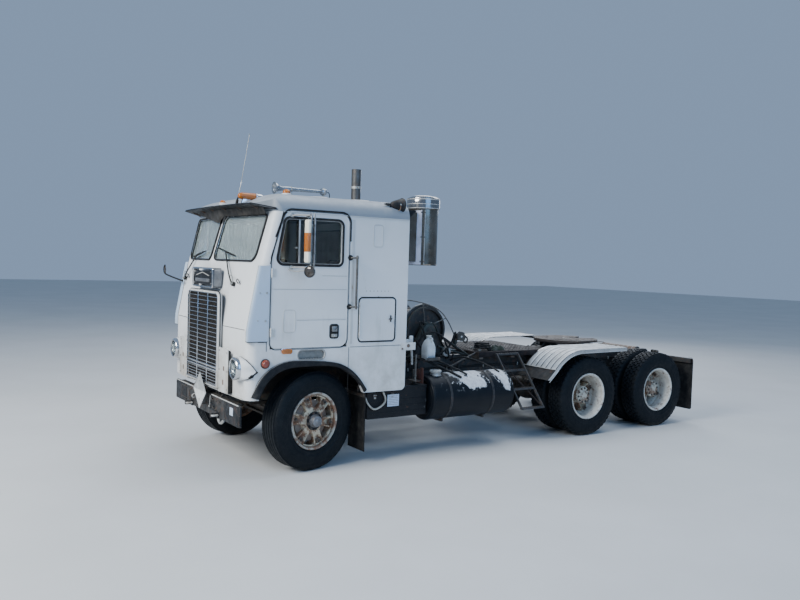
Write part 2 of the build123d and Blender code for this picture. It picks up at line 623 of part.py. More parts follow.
def cab_side():
    s = shell & box(CAB_HALF - WALL, CAB_HALF + 1, -515, CAB_REAR - WALL, CAB_Z0, CAB_Z1)
    s = s - side_prism(DOOR_OUTLINE, 1000, 1200) - arch
    s = s - prism_x([(-520, 1310), (372, 1310), (372, 2720), (-520, 2720)], 1000, 1200)
    s = s - side_prism(rect(LUGGAGE[0], LUGGAGE[1], LUGGAGE[2], LUGGAGE[3], 40), 1000, 1200)
    s = s - side_prism(rect(-198, 115, 1190, 1288, 45), CAB_HALF - 30, 1200)
    # rounded lower rear corners of the skirt
    s = s - SKIRT_CORNER
    return s


side_l = cab_side()
node("cab_side_left", side_l)
node("cab_side_right", flip(side_l))

rear = shell & box(-1200, 1200, CAB_REAR - WALL, CAB_REAR + 1, CAB_Z0, CAB_Z1)
rear = rear - box(-TUNNEL_X, TUNNEL_X, 1000, 1200, 700, TUNNEL_Z) - SKIRT_CORNER - flip(SKIRT_CORNER)
REAR_WIN = [(-330.0, 2130.0, 80.0), (330.0, 2130.0, 80.0), (330.0, 2520.0, 80.0), (-330.0, 2520.0, 80.0)]
rear_hole = Pos(0, 1200, 0) * extrude(Plane.XZ * rounded_face(REAR_WIN), 200)
rear = rear - rear_hole
node("cab_rear", rear)

# floor with the engine tunnel
LIM = inner & box(-1200, 1200, -900, 1200, 700, 1700)
fl = (box(-1200, 1200, -800, 1200, FLOOR_Z0, FLOOR_Z1) & LIM) - box(-TUNNEL_X, TUNNEL_X, -800, 1200, 1000, 1300)
tun = box(-TUNNEL_X - 32, TUNNEL_X + 32, -735, CAB_REAR - WALL, FLOOR_Z0, TUNNEL_Z + 32)
tun = tun - box(-TUNNEL_X, TUNNEL_X, -800, 1200, 1000, TUNNEL_Z)
fl = fl + (tun & LIM)
node("cab_floor", fl)


# roof: rounded crown, hollow, with the same plan as the top of the walls
def roof_form(d):
    h, top = CAB_HALF - d, 2938 - d
    side = Plane.XZ * make_face(
        Line((-h, 2600), (h, 2600)) + Line((h, 2600), (h, 2730)) + ThreePointArc((h, 2730), (h - 52, 2836), (h - 178, top - 52))
        + ThreePointArc((h - 178, top - 52), (0, top), (-h + 178, top - 52))
        + ThreePointArc((-h + 178, top - 52), (-h + 52, 2836), (-h, 2730)) + Line((-h, 2730), (-h, 2600)))
    a = Pos(0, 1300, 0) * extrude(side, 2300)
    prof = Plane.YZ * make_face(
        Line((-600 + d, 2600), (CAB_REAR - d, 2600)) + Line((CAB_REAR - d, 2600), (CAB_REAR - d, 2820))
        + ThreePointArc((CAB_REAR - d, 2820), (CAB_REAR - d - 34, 2900 - d * 0.6), (CAB_REAR - d - 120, top))
        + Line((CAB_REAR - d - 120, top), (-60, top)) + ThreePointArc((-60, top), (-360, 2880 - d), (-600 + d, 2740 - d * 0.3))
        + Line((-600 + d, 2740 - d * 0.3), (-600 + d, 2600)))
    b = Pos(-1300, 0, 0) * extrude(prof, 2600)
    top_level = (2600.0,) + CAB_LEVELS[-1][1:]
    c = extrude(plan(top_level, d), 500)
    return a & b & c


roof = roof_form(0) - roof_form(38)
roof = roof & box(-1300, 1300, -900, 1300, CAB_Z1, 3100)
roof = roof - side_prism(DOOR_OUTLINE, 1050, 1200) - flip(side_prism(DOOR_OUTLINE, 1050, 1200))
node("cab_roof", roof)

# sun visor: thin swept sheet over the windscreens, with returned ends
visor = prism_z([(0, -575), (1050, -500), (1130, -430), (1125, -470), (1010, -700), (0, -742), (-1010, -700), (-1125, -470),
                 (-1130, -430), (-1050, -500)], 2700, 2900)
tilt = prism_x([(-400, 2706), (-400, 2712), (-560, 2738), (-760, 2778), (-760, 2772), (-560, 2732)], -1200, 1200)
visor = (visor & tilt) - roof_form(0) - outer
visor = visor.solids().sort_by(SortBy.VOLUME)[-1]
node("sun_visor", visor)

# glass
layer = cab_form(12) - cab_form(19)
panes = [(layer & screen_prism(s, -0.5)) & box(-1200, 1200, -900, -300, 2100, 2700) for s in (1, -1)]
panes.append((Pos(0, 1200, 0) * extrude(Plane.XZ * rounded_face(REAR_WIN, -0.5), 200)) & box(-500, 500, 1106, 1112, 2000, 2600))
node("cab_glass", *panes)

# grille: frame, three columns of bars, on the front panel
GR_X, GR_Z0, GR_Z1 = 490.0, 806.0, 1852.0
GY = -781.0
gr = box(-GR_X, GR_X, GY - 36, GY - 1, GR_Z0, GR_Z1) - box(-GR_X + 48, GR_X - 48, GY - 50, GY + 5, GR_Z0 + 44, GR_Z1 - 46)
for x in (-147.0, 147.0):
    gr = gr + box(x - 8, x + 8, GY - 34, GY - 14, GR_Z0 + 10, GR_Z1 - 10)
for z in (1018.0, 1052.0):
    gr = gr + box(-GR_X + 5, GR_X - 5, GY - 34, GY - 18, z - 10, z + 10)
for i in range(16):
    z = 1085 + i * 47.2
    if z < GR_Z1 - 50:
        gr = gr + box(-GR_X + 5, GR_X - 5, GY - 31, GY - 20, z - 4, z + 4)
for i in range(5):
    z = 868 + i * 31.5
    gr = gr + box(-GR_X + 5, GR_X - 5, GY - 31, GY - 20, z - 4, z + 4)
node("grille", gr)

# headlights: bezel and lens in a teardrop housing on each front corner
hl = cyl_y(-828, -700, 965, 1110, 108)
hl = fillet(hl.edges().sort_by(Axis.Y)[:1], 14)
housing = prism_y([(830, 1090), (880, 1225), (1040, 1225), (1125, 1150), (1125, 1090), (1040, 1000), (880, 1000)], -765, -660)
hs = (housing + hl) - outer
hs = hs.solids().sort_by(SortBy.VOLUME)[-1]
node("headlights", hs, flip(hs))


# --------------------------- doors and hatches -------------------------------
def door():
    rows = [(u, v, r) for u, v, r in DOOR_OUTLINE]
    s = side_prism(rows, CAB_HALF - WALL, CAB_HALF, -6.0)
    s = s - side_prism(DOOR_WINDOW, 1000, 1200)
    for z in (1480.0, 2080.0):
        s = s + cyl_z(z - 45, z + 45, DOOR_HINGE_X, DOOR_HINGE_Y + 1, 9)
    return s


door_l = door()
node("door_left", door_l)
node("door_right", flip(door_l))
glass_l = side_prism(DOOR_WINDOW, CAB_HALF - 26, CAB_HALF - 20, -0.4)
node("door_glass_left", glass_l)
node("door_glass_right", flip(glass_l))
hatch = side_prism(rect(LUGGAGE[0], LUGGAGE[1], LUGGAGE[2], LUGGAGE[3], 40), CAB_HALF - 38, CAB_HALF, -5.5)
hatch = hatch + cyl_z(LUGGAGE[2] + 60, LUGGAGE[2] + 410, CAB_HALF + 5, LUGGAGE[0] + 6, 6)
node("luggage_door_left", hatch)
node("luggage_door_right", flip(hatch))

# west coast mirrors on tube arms, fixed to the doors
MX = 1390.0
mir = fillet(box(MX - 40, MX + 45, -262, -222, 2190, 2620).edges().filter_by(Axis.Y), 16)
mir = mir + cyl_y(-222, -180, MX, 2112, 56)
mir = mir + rod((MX + 2, -205, 2112), (MX + 2, -205, 2680), 10) + box(MX - 8, MX + 12, -225, -195, 2420, 2440)
mir = mir + rod((CAB_HALF, -300, 2664), (MX + 2, -205, 2664), 9) + rod((CAB_HALF, -120, 2664), (MX + 2, -205, 2664), 9)
mir = mir + rod((CAB_HALF, -300, 2140), (MX + 2, -205, 2140), 9) + rod((CAB_HALF, -120, 2140), (MX + 2, -205, 2140), 9)
mir = mir - box(1000, CAB_HALF, -500, 100, 2000, 2800)
node("mirror_left", mir)
node("mirror_right", flip(mir))

# ------------------------------ cab inside -----------------------------------


def seat():
    base = box(560, 900, -60, 340, FLOOR_Z1 + 0.3, 1480)
    cush = fillet(box(500, 960, -130, 390, 1480, 1610).edges(), 35)
    back = prism_x([(300, 1600), (400, 1600), (470, 2250), (400, 2250)], 515, 945)
    back = fillet(back.edges().filter_by(Axis.X), 25)
    return fuse(base, cush, back)


node("seats", seat(), flip(seat()))
dash = prism_x([(-640, 1640), (-360, 1640), (-330, 1900), (-380, 2060), (-560, 2110), (-620, 2060)], -1080, 1080) & cab_form(WALL + 1)
wheel_c = (700.0, -185.0, 1955.0)
wpl = Plane(origin=wheel_c, z_dir=(0, 0.55, 0.835))
sw = (wpl * Torus(235, 14)) + (wpl * Cylinder(45, 30))
for a in (90, 210, 330):
    sw = sw + (wpl * Rot(0, 0, a) * Pos(118, 0, 0) * Box(236, 26, 10))
col = rod(wheel_c, (700.0, -390.0, 1655.0), 28)
node("dashboard", fuse(dash, sw, col))
bunk = box(-1090, 1090, 480, 1080, 1840, 1870)
for sx in (1, -1):
    b = box(TUNNEL_X + 33, 1090, 480, 500, FLOOR_Z1 + 0.3, 1850)
    bunk = bunk + (b if sx > 0 else flip(b))
node("bunk", bunk)
mat = fillet(box(-1080, 1080, 490, 1075, 1870.3, 2010).edges(), 35)
node("mattress", mat)

# ------------------------------ cab outside ----------------------------------
AC_X, AC_Y, AC_R = 930.0, 1460.0, 175.0
ac = cyl_z(2200, 2845, AC_X, AC_Y, AC_R) + cyl_z(2845, 2960, AC_X, AC_Y, AC_R + 14)
ac = ac + cyl_y(CAB_REAR + 0.3, AC_Y - 120, AC_X - 20, 2740, 55)
ac = ac + box(AC_X - 130, AC_X - 90, CAB_REAR + 0.3, AC_Y - 90, 2240, 2800) + box(AC_X + 60, AC_X + 100, CAB_REAR + 0.3, AC_Y - 90, 2240, 2800)
node("air_cleaner", ac)

# horn, marker lamps, work lamp: small fittings on the roof
fit = []
for x, y0, y1, r0, r1 in ((400.0, -174.0, 483.0, 58.0, 14.0),):
    h = revolve_x([(0, 0), (0, r0), (18, r0), (60, r0 * 0.55), (160, r1 * 1.3), (y1 - y0, r1), (y1 - y0, 0)])
    h = Pos(x, y0, 3000) * Rot(0, 0, 90) * h
    feet = box(x - 13, x + 13, y0 + 190, y0 + 215, 2930, 2998) + box(x - 13, x + 13, y1 - 60, y1 - 35, 2930, 2998)
    fit.append((h + (feet - roof_form(0))).solids().sort_by(SortBy.VOLUME)[-1])
for x in (400.0,):
    prof = [(0, 0), (0, 26), (12, 36), (200, 36), (340, 8), (340, 0)]
    lamp = Pos(x, -585, 2884) * Rot(0, 0, 90) * revolve_x(prof)
    lamp = (lamp + box(x - 12, x + 12, -530, -480, 2760, 2860)).cut(roof_form(0))
    fit.append(lamp.solids().sort_by(SortBy.VOLUME)[-1])
for x, y, z0, z1, r in ((750.0, -186.0, 2870.0, 2965.0, 43.0), (-450.0, -435.0, 2780.0, 2884.0, 30.0)):
    lamp = cyl_z(z0, z1, x, y, r)
    lamp = lamp.cut(roof_form(0))
    lamp = lamp.solids().sort_by(Axis.Z)
    fit.append(lamp[-1])
lamp = Pos(1100, 900, 2858) * Rot(0, 0, 90) * revolve_x([(0, 0), (0, 18), (20, 30), (140, 77), (160, 80), (160, 0)])
lamp = lamp + box(1072, 1104, 930, 1010, 2690, 2845)
fit.append((lamp - roof_form(0)).solids().sort_by(SortBy.VOLUME)[-1])
ant = rod((262, -550, 2800), (300, -430, 3568), 3.5) + cyl_z(2780, 2885, 266, -540, 14)
fit.append((ant - roof_form(0)).solids().sort_by(SortBy.VOLUME)[-1])
node("roof_fittings", *fit)

# ------------------------------ write ----------------------------------------
for name, shapes in NODES.items():
    solids = []
    for s in shapes:
        solids += list(s.solids())
    moved = [Pos(0, Y_SHIFT, 0) * s for s in solids]
    export_step(moved[0] if len(moved) == 1 else Compound(children=moved), f"parts/{name}.step")
print(len(NODES), "nodes")
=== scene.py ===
import math
import random

import bmesh
import bpy
import numpy as np
from mathutils import Matrix, Vector


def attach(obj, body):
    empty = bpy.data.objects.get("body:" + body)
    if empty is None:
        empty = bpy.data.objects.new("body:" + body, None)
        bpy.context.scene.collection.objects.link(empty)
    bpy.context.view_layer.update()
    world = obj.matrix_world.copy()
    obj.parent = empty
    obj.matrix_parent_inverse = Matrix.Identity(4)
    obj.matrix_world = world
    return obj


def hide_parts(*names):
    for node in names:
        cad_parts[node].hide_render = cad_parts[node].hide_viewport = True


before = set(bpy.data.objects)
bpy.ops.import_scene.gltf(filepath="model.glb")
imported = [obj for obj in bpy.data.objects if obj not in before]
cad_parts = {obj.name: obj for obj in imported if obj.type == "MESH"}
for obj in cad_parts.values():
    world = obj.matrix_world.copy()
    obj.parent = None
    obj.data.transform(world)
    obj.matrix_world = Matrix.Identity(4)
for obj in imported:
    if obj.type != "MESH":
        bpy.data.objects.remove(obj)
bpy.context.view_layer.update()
RNG = random.Random(7)

# Places are written with Y from the front axle, as the truck is measured; the
# row frame's origin is YS further back.
YS = -2.700
TYRE_R = 0.525
AXLES = [4.083, 5.503]
WINCH_Y, WINCH_Z = 1.950, 1.385

# ----------------------------------------------------------------------------
# camera at the photograph's viewing angle
# ----------------------------------------------------------------------------
YAW, PITCH, ROLL = 0.98519, -0.04734, 0.03085
fw = Vector((-math.sin(YAW) * math.cos(PITCH), math.cos(YAW) * math.cos(PITCH), math.sin(PITCH)))
rt = fw.cross(Vector((0, 0, 1))).normalized()
up = rt.cross(fw)
R_ = rt * math.cos(ROLL) + up * math.sin(ROLL)
U_ = up * math.cos(ROLL) - rt * math.sin(ROLL)
cam = bpy.data.cameras.new("camera")
cam.lens, cam.sensor_width, cam.sensor_fit = 35.08, 36.0, "HORIZONTAL"
cam.clip_end = 300
cam_o = bpy.data.objects.new("camera", cam)
bpy.context.scene.collection.objects.link(cam_o)
m = Matrix.Identity(4)
for i in range(3):
    m[i][0], m[i][1], m[i][2] = R_[i], U_[i], -fw[i]
m[0][3], m[1][3], m[2][3] = 8.3484, -6.4423, 2.2176
cam_o.matrix_world = m
bpy.context.scene.camera = cam_o


# ----------------------------------------------------------------------------
# materials
# ----------------------------------------------------------------------------
class Nodes:
    """Short names for the few node kinds that the materials use."""

    def __init__(self, name):
        self.mat = bpy.data.materials.new(name)
        self.mat.use_nodes = True
        self.t = self.mat.node_tree
        self.t.nodes.clear()
        self.out = self.t.nodes.new("ShaderNodeOutputMaterial")
        self.b = self.t.nodes.new("ShaderNodeBsdfPrincipled")
        self.t.links.new(self.b.outputs[0], self.out.inputs[0])
        co = self.t.nodes.new("ShaderNodeTexCoord")
        self.co = co.outputs["Object"]
        self.geo = self.t.nodes.new("ShaderNodeNewGeometry")

    def link(self, a, b):
        self.t.links.new(a, b)

    def put(self, socket, v):
        if hasattr(v, "is_linked") or isinstance(v, bpy.types.NodeSocket):
            self.link(v, socket)
        elif isinstance(v, (tuple, list)) and socket.type == "RGBA":
            socket.default_value = (*v[:3], 1.0)
        else:
            socket.default_value = v

    def scaled(self, s, co=None, rot=(0, 0, 0)):
        n = self.t.nodes.new("ShaderNodeMapping")
        self.link(co or self.co, n.inputs["Vector"])
        n.inputs["Scale"].default_value = s if isinstance(s, tuple) else (s, s, s)
        n.inputs["Rotation"].default_value = rot
        return n.outputs[0]

    def noise(self, scale, detail=4.0, rough=0.55, stretch=(1, 1, 1), distort=0.0, co=None):
        n = self.t.nodes.new("ShaderNodeTexNoise")
        self.link(self.scaled(stretch, co), n.inputs["Vector"])
        n.inputs["Scale"].default_value = scale
        n.inputs["Detail"].default_value = detail
        n.inputs["Roughness"].default_value = rough
        n.inputs["Distortion"].default_value = distort
        return n.outputs["Fac"]

    def voronoi(self, scale, stretch=(1, 1, 1), feature="F1", randomness=1.0):
        n = self.t.nodes.new("ShaderNodeTexVoronoi")
        n.feature = feature
        self.link(self.scaled(stretch), n.inputs["Vector"])
        n.inputs["Scale"].default_value = scale
        n.inputs["Randomness"].default_value = randomness
        return n.outputs["Distance"]

    def wave(self, scale, axis="X", distort=0.0):
        n = self.t.nodes.new("ShaderNodeTexWave")
        n.bands_direction = axis
        self.link(self.co, n.inputs["Vector"])
        n.inputs["Scale"].default_value = scale
        n.inputs["Distortion"].default_value = distort
        return n.outputs["Fac"]

    def ramp(self, v, a, b, lo=0.0, hi=1.0):
        """Smooth step of v from a to b, onto lo to hi."""
        n = self.t.nodes.new("ShaderNodeMapRange")
        n.interpolation_type = "SMOOTHSTEP"
        self.put(n.inputs["Value"], v)
        n.inputs["From Min"].default_value = a
        n.inputs["From Max"].default_value = b
        n.inputs["To Min"].default_value = lo
        n.inputs["To Max"].default_value = hi
        return n.outputs["Result"]

    def math(self, op, a, b=0.0, c=0.0):
        n = self.t.nodes.new("ShaderNodeMath")
        n.operation = op
        self.put(n.inputs[0], a)
        self.put(n.inputs[1], b)
        self.put(n.inputs[2], c)
        return n.outputs[0]

    def mul(self, a, b):
        return self.math("MULTIPLY", a, b)

    def add(self, a, b):
        return self.math("ADD", a, b)

    def mx(self, a, b):
        return self.math("MAXIMUM", a, b)

    def mix(self, f, a, b, mode="MIX"):
        n = self.t.nodes.new("ShaderNodeMix")
        n.data_type = "RGBA"
        n.blend_type = mode
        self.put(n.inputs[0], f)
        self.put(n.inputs[6], a)
        self.put(n.inputs[7], b)
        return n.outputs[2]

    def xyz(self, v=None):
        n = self.t.nodes.new("ShaderNodeSeparateXYZ")
        self.link(v or self.co, n.inputs[0])
        return n.outputs

    def normal(self):
        return self.xyz(self.geo.outputs["True Normal"])

    def bump(self, h, dist, strength=1.0, after=None):
        n = self.t.nodes.new("ShaderNodeBump")
        n.inputs["Distance"].default_value = dist
        n.inputs["Strength"].default_value = strength
        self.link(h, n.inputs["Height"])
        if after is not None:
            self.link(after, n.inputs["Normal"])
        return n.outputs[0]

    def done(self, color, rough, metal=0.0, bump=None, **more):
        self.put(self.b.inputs["Base Color"], color)
        self.put(self.b.inputs["Roughness"], rough)
        self.put(self.b.inputs["Metallic"], metal)
        if bump is not None:
            self.link(bump, self.b.inputs["Normal"])
        for k, v in more.items():
            s = self.b.inputs[k.replace("_", " ")]
            self.put(s, v)
        return self.mat


def paint_white(name, base=(0.78, 0.79, 0.79), grime=1.0, rust=1.0):
    """Old white truck paint: chalky, with streaks, dust low down and small rust chips, and painted shade that greys it
    high up.
    """
    n = Nodes(name)
    x, y, z = n.xyz()
    nz = n.normal()[2]
    tone = n.noise(0.9, 5, 0.6)
    c = n.mix(n.ramp(tone, 0.35, 0.7), base, tuple(v * 0.93 for v in base))
    streak = n.mul(n.noise(9, 5, 0.65, (1, 1, 0.10)), n.noise(2.2, 3, 0.5))
    c = n.mix(n.ramp(streak, 0.27, 0.50, 0, 0.42 * grime), c, (0.42, 0.41, 0.38))
    # road dust towards the bottom of the cab
    low = n.mul(n.ramp(z, 1.65, 0.80), n.ramp(n.noise(5, 6, 0.65), 0.30, 0.72))
    c = n.mix(n.mul(low, 0.55 * grime), c, (0.36, 0.32, 0.26))
    # greyer, flatter top faces
    top = n.mul(n.ramp(nz, 0.35, 0.85), n.ramp(n.noise(4, 5, 0.65), 0.25, 0.7, 0.35, 1.0))
    c = n.mix(n.mul(top, 0.55 * grime), c, (0.40, 0.41, 0.41))
    # painted shade: greyer high up on the walls and roof
    high_shade = n.mul(n.ramp(z, 1.90, 2.75), n.ramp(n.noise(3, 5, 0.65), 0.25, 0.75, 0.6, 1.0))
    c = n.mix(n.mul(high_shade, 0.36 * grime), c, (0.33, 0.36, 0.39))
    # speckle of stone chips and rust bleeding
    chips = n.ramp(n.noise(62, 2, 0.5), 0.735, 0.775)
    where = n.ramp(n.noise(2.6, 3, 0.6), 0.52, 0.68)
    ch = n.mul(n.mul(chips, where), rust)
    c = n.mix(ch, c, (0.17, 0.075, 0.035))
    bleed = n.mul(n.ramp(n.noise(24, 4, 0.6, (1, 1, 0.22)), 0.62, 0.80), n.ramp(n.noise(1.9, 3, 0.6), 0.55, 0.72))
    c = n.mix(n.mul(bleed, 0.5 * rust), c, (0.38, 0.23, 0.12))
    r = n.ramp(n.noise(14, 4, 0.6), 0.3, 0.7, 0.36, 0.58)
    r = n.add(r, n.mul(low, 0.25))
    waves = n.noise(2.4, 2, 0.4)
    fine = n.noise(160, 3, 0.6)
    b = n.bump(waves, 0.006, 0.5)
    b = n.bump(fine, 0.0004, 0.45, b)
    b = n.bump(ch, -0.0006, 0.8, b)
    return n.done(c, r, 0.0, b, Coat_Weight=0.12, Coat_Roughness=0.35)


def paint_black(name, base=(0.0105, 0.0115, 0.0140), wear=1.0, worn=(0.33, 0.33, 0.32), dust=1.0):
    n = Nodes(name)
    x, y, z = n.xyz()
    nz = n.normal()[2]
    d = n.mul(n.ramp(nz, 0.1, 0.9, 0.25, 1.0), n.ramp(n.noise(7, 6, 0.7), 0.28, 0.75))
    c = n.mix(n.mul(d, 0.07 * dust), base, (0.20, 0.18, 0.155))
    peel = n.mul(n.ramp(n.noise(11, 7, 0.72), 0.60, 0.635), n.ramp(n.noise(1.7, 3, 0.5), 0.45, 0.62))
    peel = n.mul(peel, wear)
    c = n.mix(peel, c, worn)
    rst = n.mul(n.ramp(n.noise(34, 5, 0.65), 0.63, 0.70), n.ramp(n.noise(3.1, 3, 0.5), 0.48, 0.66))
    c = n.mix(n.mul(rst, 0.8), c, (0.16, 0.07, 0.035))
    r = n.ramp(n.noise(18, 4, 0.6), 0.3, 0.7, 0.34, 0.62)
    b = n.bump(n.noise(120, 3, 0.6), 0.0005, 0.5)
    b = n.bump(peel, -0.0005, 0.7, b)
    return n.done(c, r, 0.0, b, Specular_IOR_Level=0.22)


def paint_tank(name):
    """Black tank paint, peeled off the top and one shoulder down to silvery primer."""
    n = Nodes(name)
    x, y, z = n.xyz()
    d = n.ramp(n.noise(6, 6, 0.7), 0.40, 0.80)
    z = n.add(z, 0.06)
    c = n.mix(n.mul(d, 0.22), (0.0040, 0.0065, 0.0105), (0.030, 0.031, 0.032))
    j1, j2 = n.noise(4.0, 7, 0.75), n.noise(7.5, 6, 0.72)
    yy = n.add(y, n.mul(n.math("SUBTRACT", j2, 0.5), 0.22))
    # long patch on the crown: its lower edge drops away from the filler
    line = n.add(z, n.mul(n.math("MINIMUM", n.math("SUBTRACT", yy, -0.790), 0.20), 0.80))
    line = n.add(line, n.mul(n.math("SUBTRACT", j1, 0.5), 0.30))
    a = n.mul(n.mul(n.ramp(line, 0.950, 0.962), n.ramp(yy, -0.805, -0.790)), n.ramp(yy, -0.350, -0.365))
    a = n.mul(a, n.ramp(n.noise(11, 6, 0.7), 0.34, 0.37))
    # slanting patch over the rear shoulder
    edge = n.math("SUBTRACT", yy, n.mul(n.math("SUBTRACT", 0.947, z), 0.42))
    b = n.mul(n.mul(n.ramp(edge, -0.145, -0.133), n.ramp(yy, 0.030, 0.018)), n.ramp(n.add(z, n.mul(j1, 0.10)), 0.800, 0.815))
    speck = n.mul(n.ramp(n.noise(16, 7, 0.78), 0.580, 0.595), n.ramp(n.add(z, n.mul(j1, 0.2)), 0.86, 1.00))
    speck = n.mul(speck, n.ramp(y, -1.05, -0.80))
    peel = n.mx(n.mx(a, b), speck)
    silver = n.mix(n.ramp(n.noise(22, 5, 0.65), 0.35, 0.7), (0.70, 0.72, 0.74), (0.50, 0.51, 0.52))
    c = n.mix(peel, c, silver)
    dirty = n.mul(n.ramp(n.noise(30, 5, 0.7), 0.60, 0.70), 0.45)
    c = n.mix(n.mul(dirty, peel), c, (0.20, 0.16, 0.12))
    r = n.mix(peel, (0.38, 0.38, 0.38), (0.55, 0.55, 0.55))
    bb = n.bump(n.noise(90, 3, 0.6), 0.0006, 0.4)
    bb = n.bump(peel, -0.0008, 0.9, bb)
    return n.done(c, r, 0.0, bb, Specular_IOR_Level=0.20)


def metal_paint(name, base, second, rough=(0.45, 0.75), metal=0.0, rust=0.5, scale=8.0, bump=0.0012,
                rustcol=(0.15, 0.065, 0.03), lo=0.52, hi=0.66, spec=0.5, top=0.17):
    n = Nodes(name)
    nz = n.normal()[2]
    c = n.mix(n.ramp(n.noise(scale, 6, 0.68), 0.33, 0.68), base, second)
    rs = n.mul(n.ramp(n.noise(scale * 1.9, 6, 0.7), lo, hi), rust)
    c = n.mix(rs, c, rustcol)
    dust = n.mul(n.ramp(nz, 0.2, 0.95), n.ramp(n.noise(5, 5, 0.65), 0.3, 0.7))
    c = n.mix(n.mul(dust, top), c, (0.20, 0.18, 0.145))
    r = n.ramp(n.noise(scale * 2.3, 4, 0.6), 0.3, 0.7, *rough)
    b = n.bump(n.noise(scale * 12, 5, 0.7), bump, 0.6)
    mt = n.math("SUBTRACT", metal, n.mul(rs, metal)) if metal else 0.0
    return n.done(c, r, mt, b, Specular_IOR_Level=spec)


def chrome(name):
    n = Nodes(name)
    spots = n.mul(n.ramp(n.noise(46, 5, 0.7), 0.60, 0.70), n.ramp(n.noise(4, 4, 0.6), 0.42, 0.64))
    haze = n.noise(9, 6, 0.7)
    c = n.mix(n.ramp(haze, 0.3, 0.75), (0.78, 0.78, 0.79), (0.55, 0.54, 0.53))
    c = n.mix(n.mul(spots, 0.75), c, (0.20, 0.12, 0.07))
    r = n.add(n.ramp(haze, 0.3, 0.75, 0.10, 0.34), n.mul(spots, 0.35))
    mt = n.math("SUBTRACT", 1.0, n.mul(spots, 0.7))
    b = n.bump(n.noise(70, 4, 0.6), 0.0004, 0.4)
    return n.done(c, r, mt, b)


def polished(name):
    """Spun and polished aluminium, with faint rings about the vertical and dull weathering."""
    n = Nodes(name)
    rings = n.noise(6, 3, 0.5, (0.6, 0.6, 22))
    haze = n.noise(7, 6, 0.7)
    c = n.mix(n.ramp(haze, 0.35, 0.72), (0.74, 0.75, 0.76), (0.52, 0.52, 0.52))
    drip = n.ramp(n.noise(11, 4, 0.6, (1, 1, 0.08)), 0.56, 0.72, 0, 0.5)
    c = n.mix(drip, c, (0.36, 0.34, 0.31))
    r = n.add(n.ramp(rings, 0.3, 0.7, 0.13, 0.27), n.mul(drip, 0.25))
    b = n.bump(rings, 0.0003, 0.5)
    b = n.bump(n.noise(2.5, 2, 0.4), 0.006, 0.5, b)
    return n.done(c, r, 1.0, b)


def glass(name, tint=(0.80, 0.86, 0.85)):
    n = Nodes(name)
    dirt = n.mul(n.ramp(n.noise(3.5, 6, 0.7), 0.40, 0.8), 1.0)
    r = n.ramp(dirt, 0.0, 1.0, 0.02, 0.16)
    m = n.done(n.mix(n.mul(dirt, 0.10), tint, (0.6, 0.57, 0.5)), r, 0.0, None, Transmission_Weight=1.0, IOR=1.45)
    return m


def dusty_glass(name):
    """Windscreen glass with an even film of pale dust, heavier in patches and streaks."""
    n = Nodes(name)
    film = n.add(0.17, n.mul(n.ramp(n.noise(4.5, 6, 0.7), 0.35, 0.75), 0.12))
    c = n.mix(film, (0.80, 0.90, 0.90), (0.50, 0.555, 0.54))
    t = n.math("SUBTRACT", 1.0, film)
    return n.done(c, n.ramp(film, 0.3, 0.5, 0.04, 0.12), 0.0, None, Transmission_Weight=t, IOR=1.45)


def rubber(name, base=(0.018, 0.018, 0.019), dust=(0.16, 0.145, 0.12), amount=0.5, rough=(0.55, 0.8)):
    n = Nodes(name)
    d = n.ramp(n.noise(9, 6, 0.7), 0.36, 0.74)
    c = n.mix(n.mul(d, amount), base, dust)
    r = n.ramp(n.noise(20, 4, 0.6), 0.3, 0.7, *rough)
    b = n.bump(n.noise(140, 4, 0.65), 0.0006, 0.5)
    return n.done(c, r, 0.0, b, Specular_IOR_Level=0.18)


def tyre_mat(name):
    """Worn tyre: blue-black side walls, brown dust in patches, greyer low down."""
    n = Nodes(name)
    d = n.ramp(n.noise(5, 7, 0.72), 0.42, 0.80)
    fine = n.ramp(n.noise(38, 4, 0.65), 0.45, 0.80)
    c = n.mix(n.mul(d, 0.30), (0.0045, 0.0070, 0.0100), (0.034, 0.034, 0.033))
    c = n.mix(n.mul(fine, 0.10), c, (0.060, 0.058, 0.052))
    x, y, z = n.xyz()
    low = n.mul(n.ramp(z, 0.07, 0.0), n.ramp(n.noise(12, 5, 0.65), 0.30, 0.70))
    c = n.mix(n.mul(low, 0.5), c, (0.16, 0.135, 0.10))
    r = n.ramp(n.noise(24, 4, 0.6), 0.3, 0.7, 0.46, 0.70)
    b = n.bump(n.noise(90, 5, 0.7), 0.0006, 0.5)
    return n.done(c, r, 0.0, b, Specular_IOR_Level=0.16)


def wheel_paint(name, base, rust=0.9, lo=0.46, hi=0.60):
    n = Nodes(name)
    c = n.mix(n.ramp(n.noise(7, 5, 0.65), 0.35, 0.7), base, tuple(v * 0.80 for v in base))
    big = n.ramp(n.noise(10, 7, 0.74), lo, hi)
    c = n.mix(n.mul(big, rust), c, n.mix(n.ramp(n.noise(30, 5, 0.65), 0.35, 0.7), (0.21, 0.085, 0.035), (0.12, 0.055, 0.03)))
    dirt = n.ramp(n.noise(17, 5, 0.65), 0.48, 0.78, 0, 0.55)
    c = n.mix(dirt, c, (0.19, 0.15, 0.11))
    r = n.ramp(n.noise(21, 4, 0.6), 0.3, 0.7, 0.5, 0.82)
    b = n.bump(n.noise(70, 5, 0.7), 0.0009, 0.6)
    b = n.bump(big, -0.0007, 0.7, b)
    return n.done(c, r, 0.0, b)


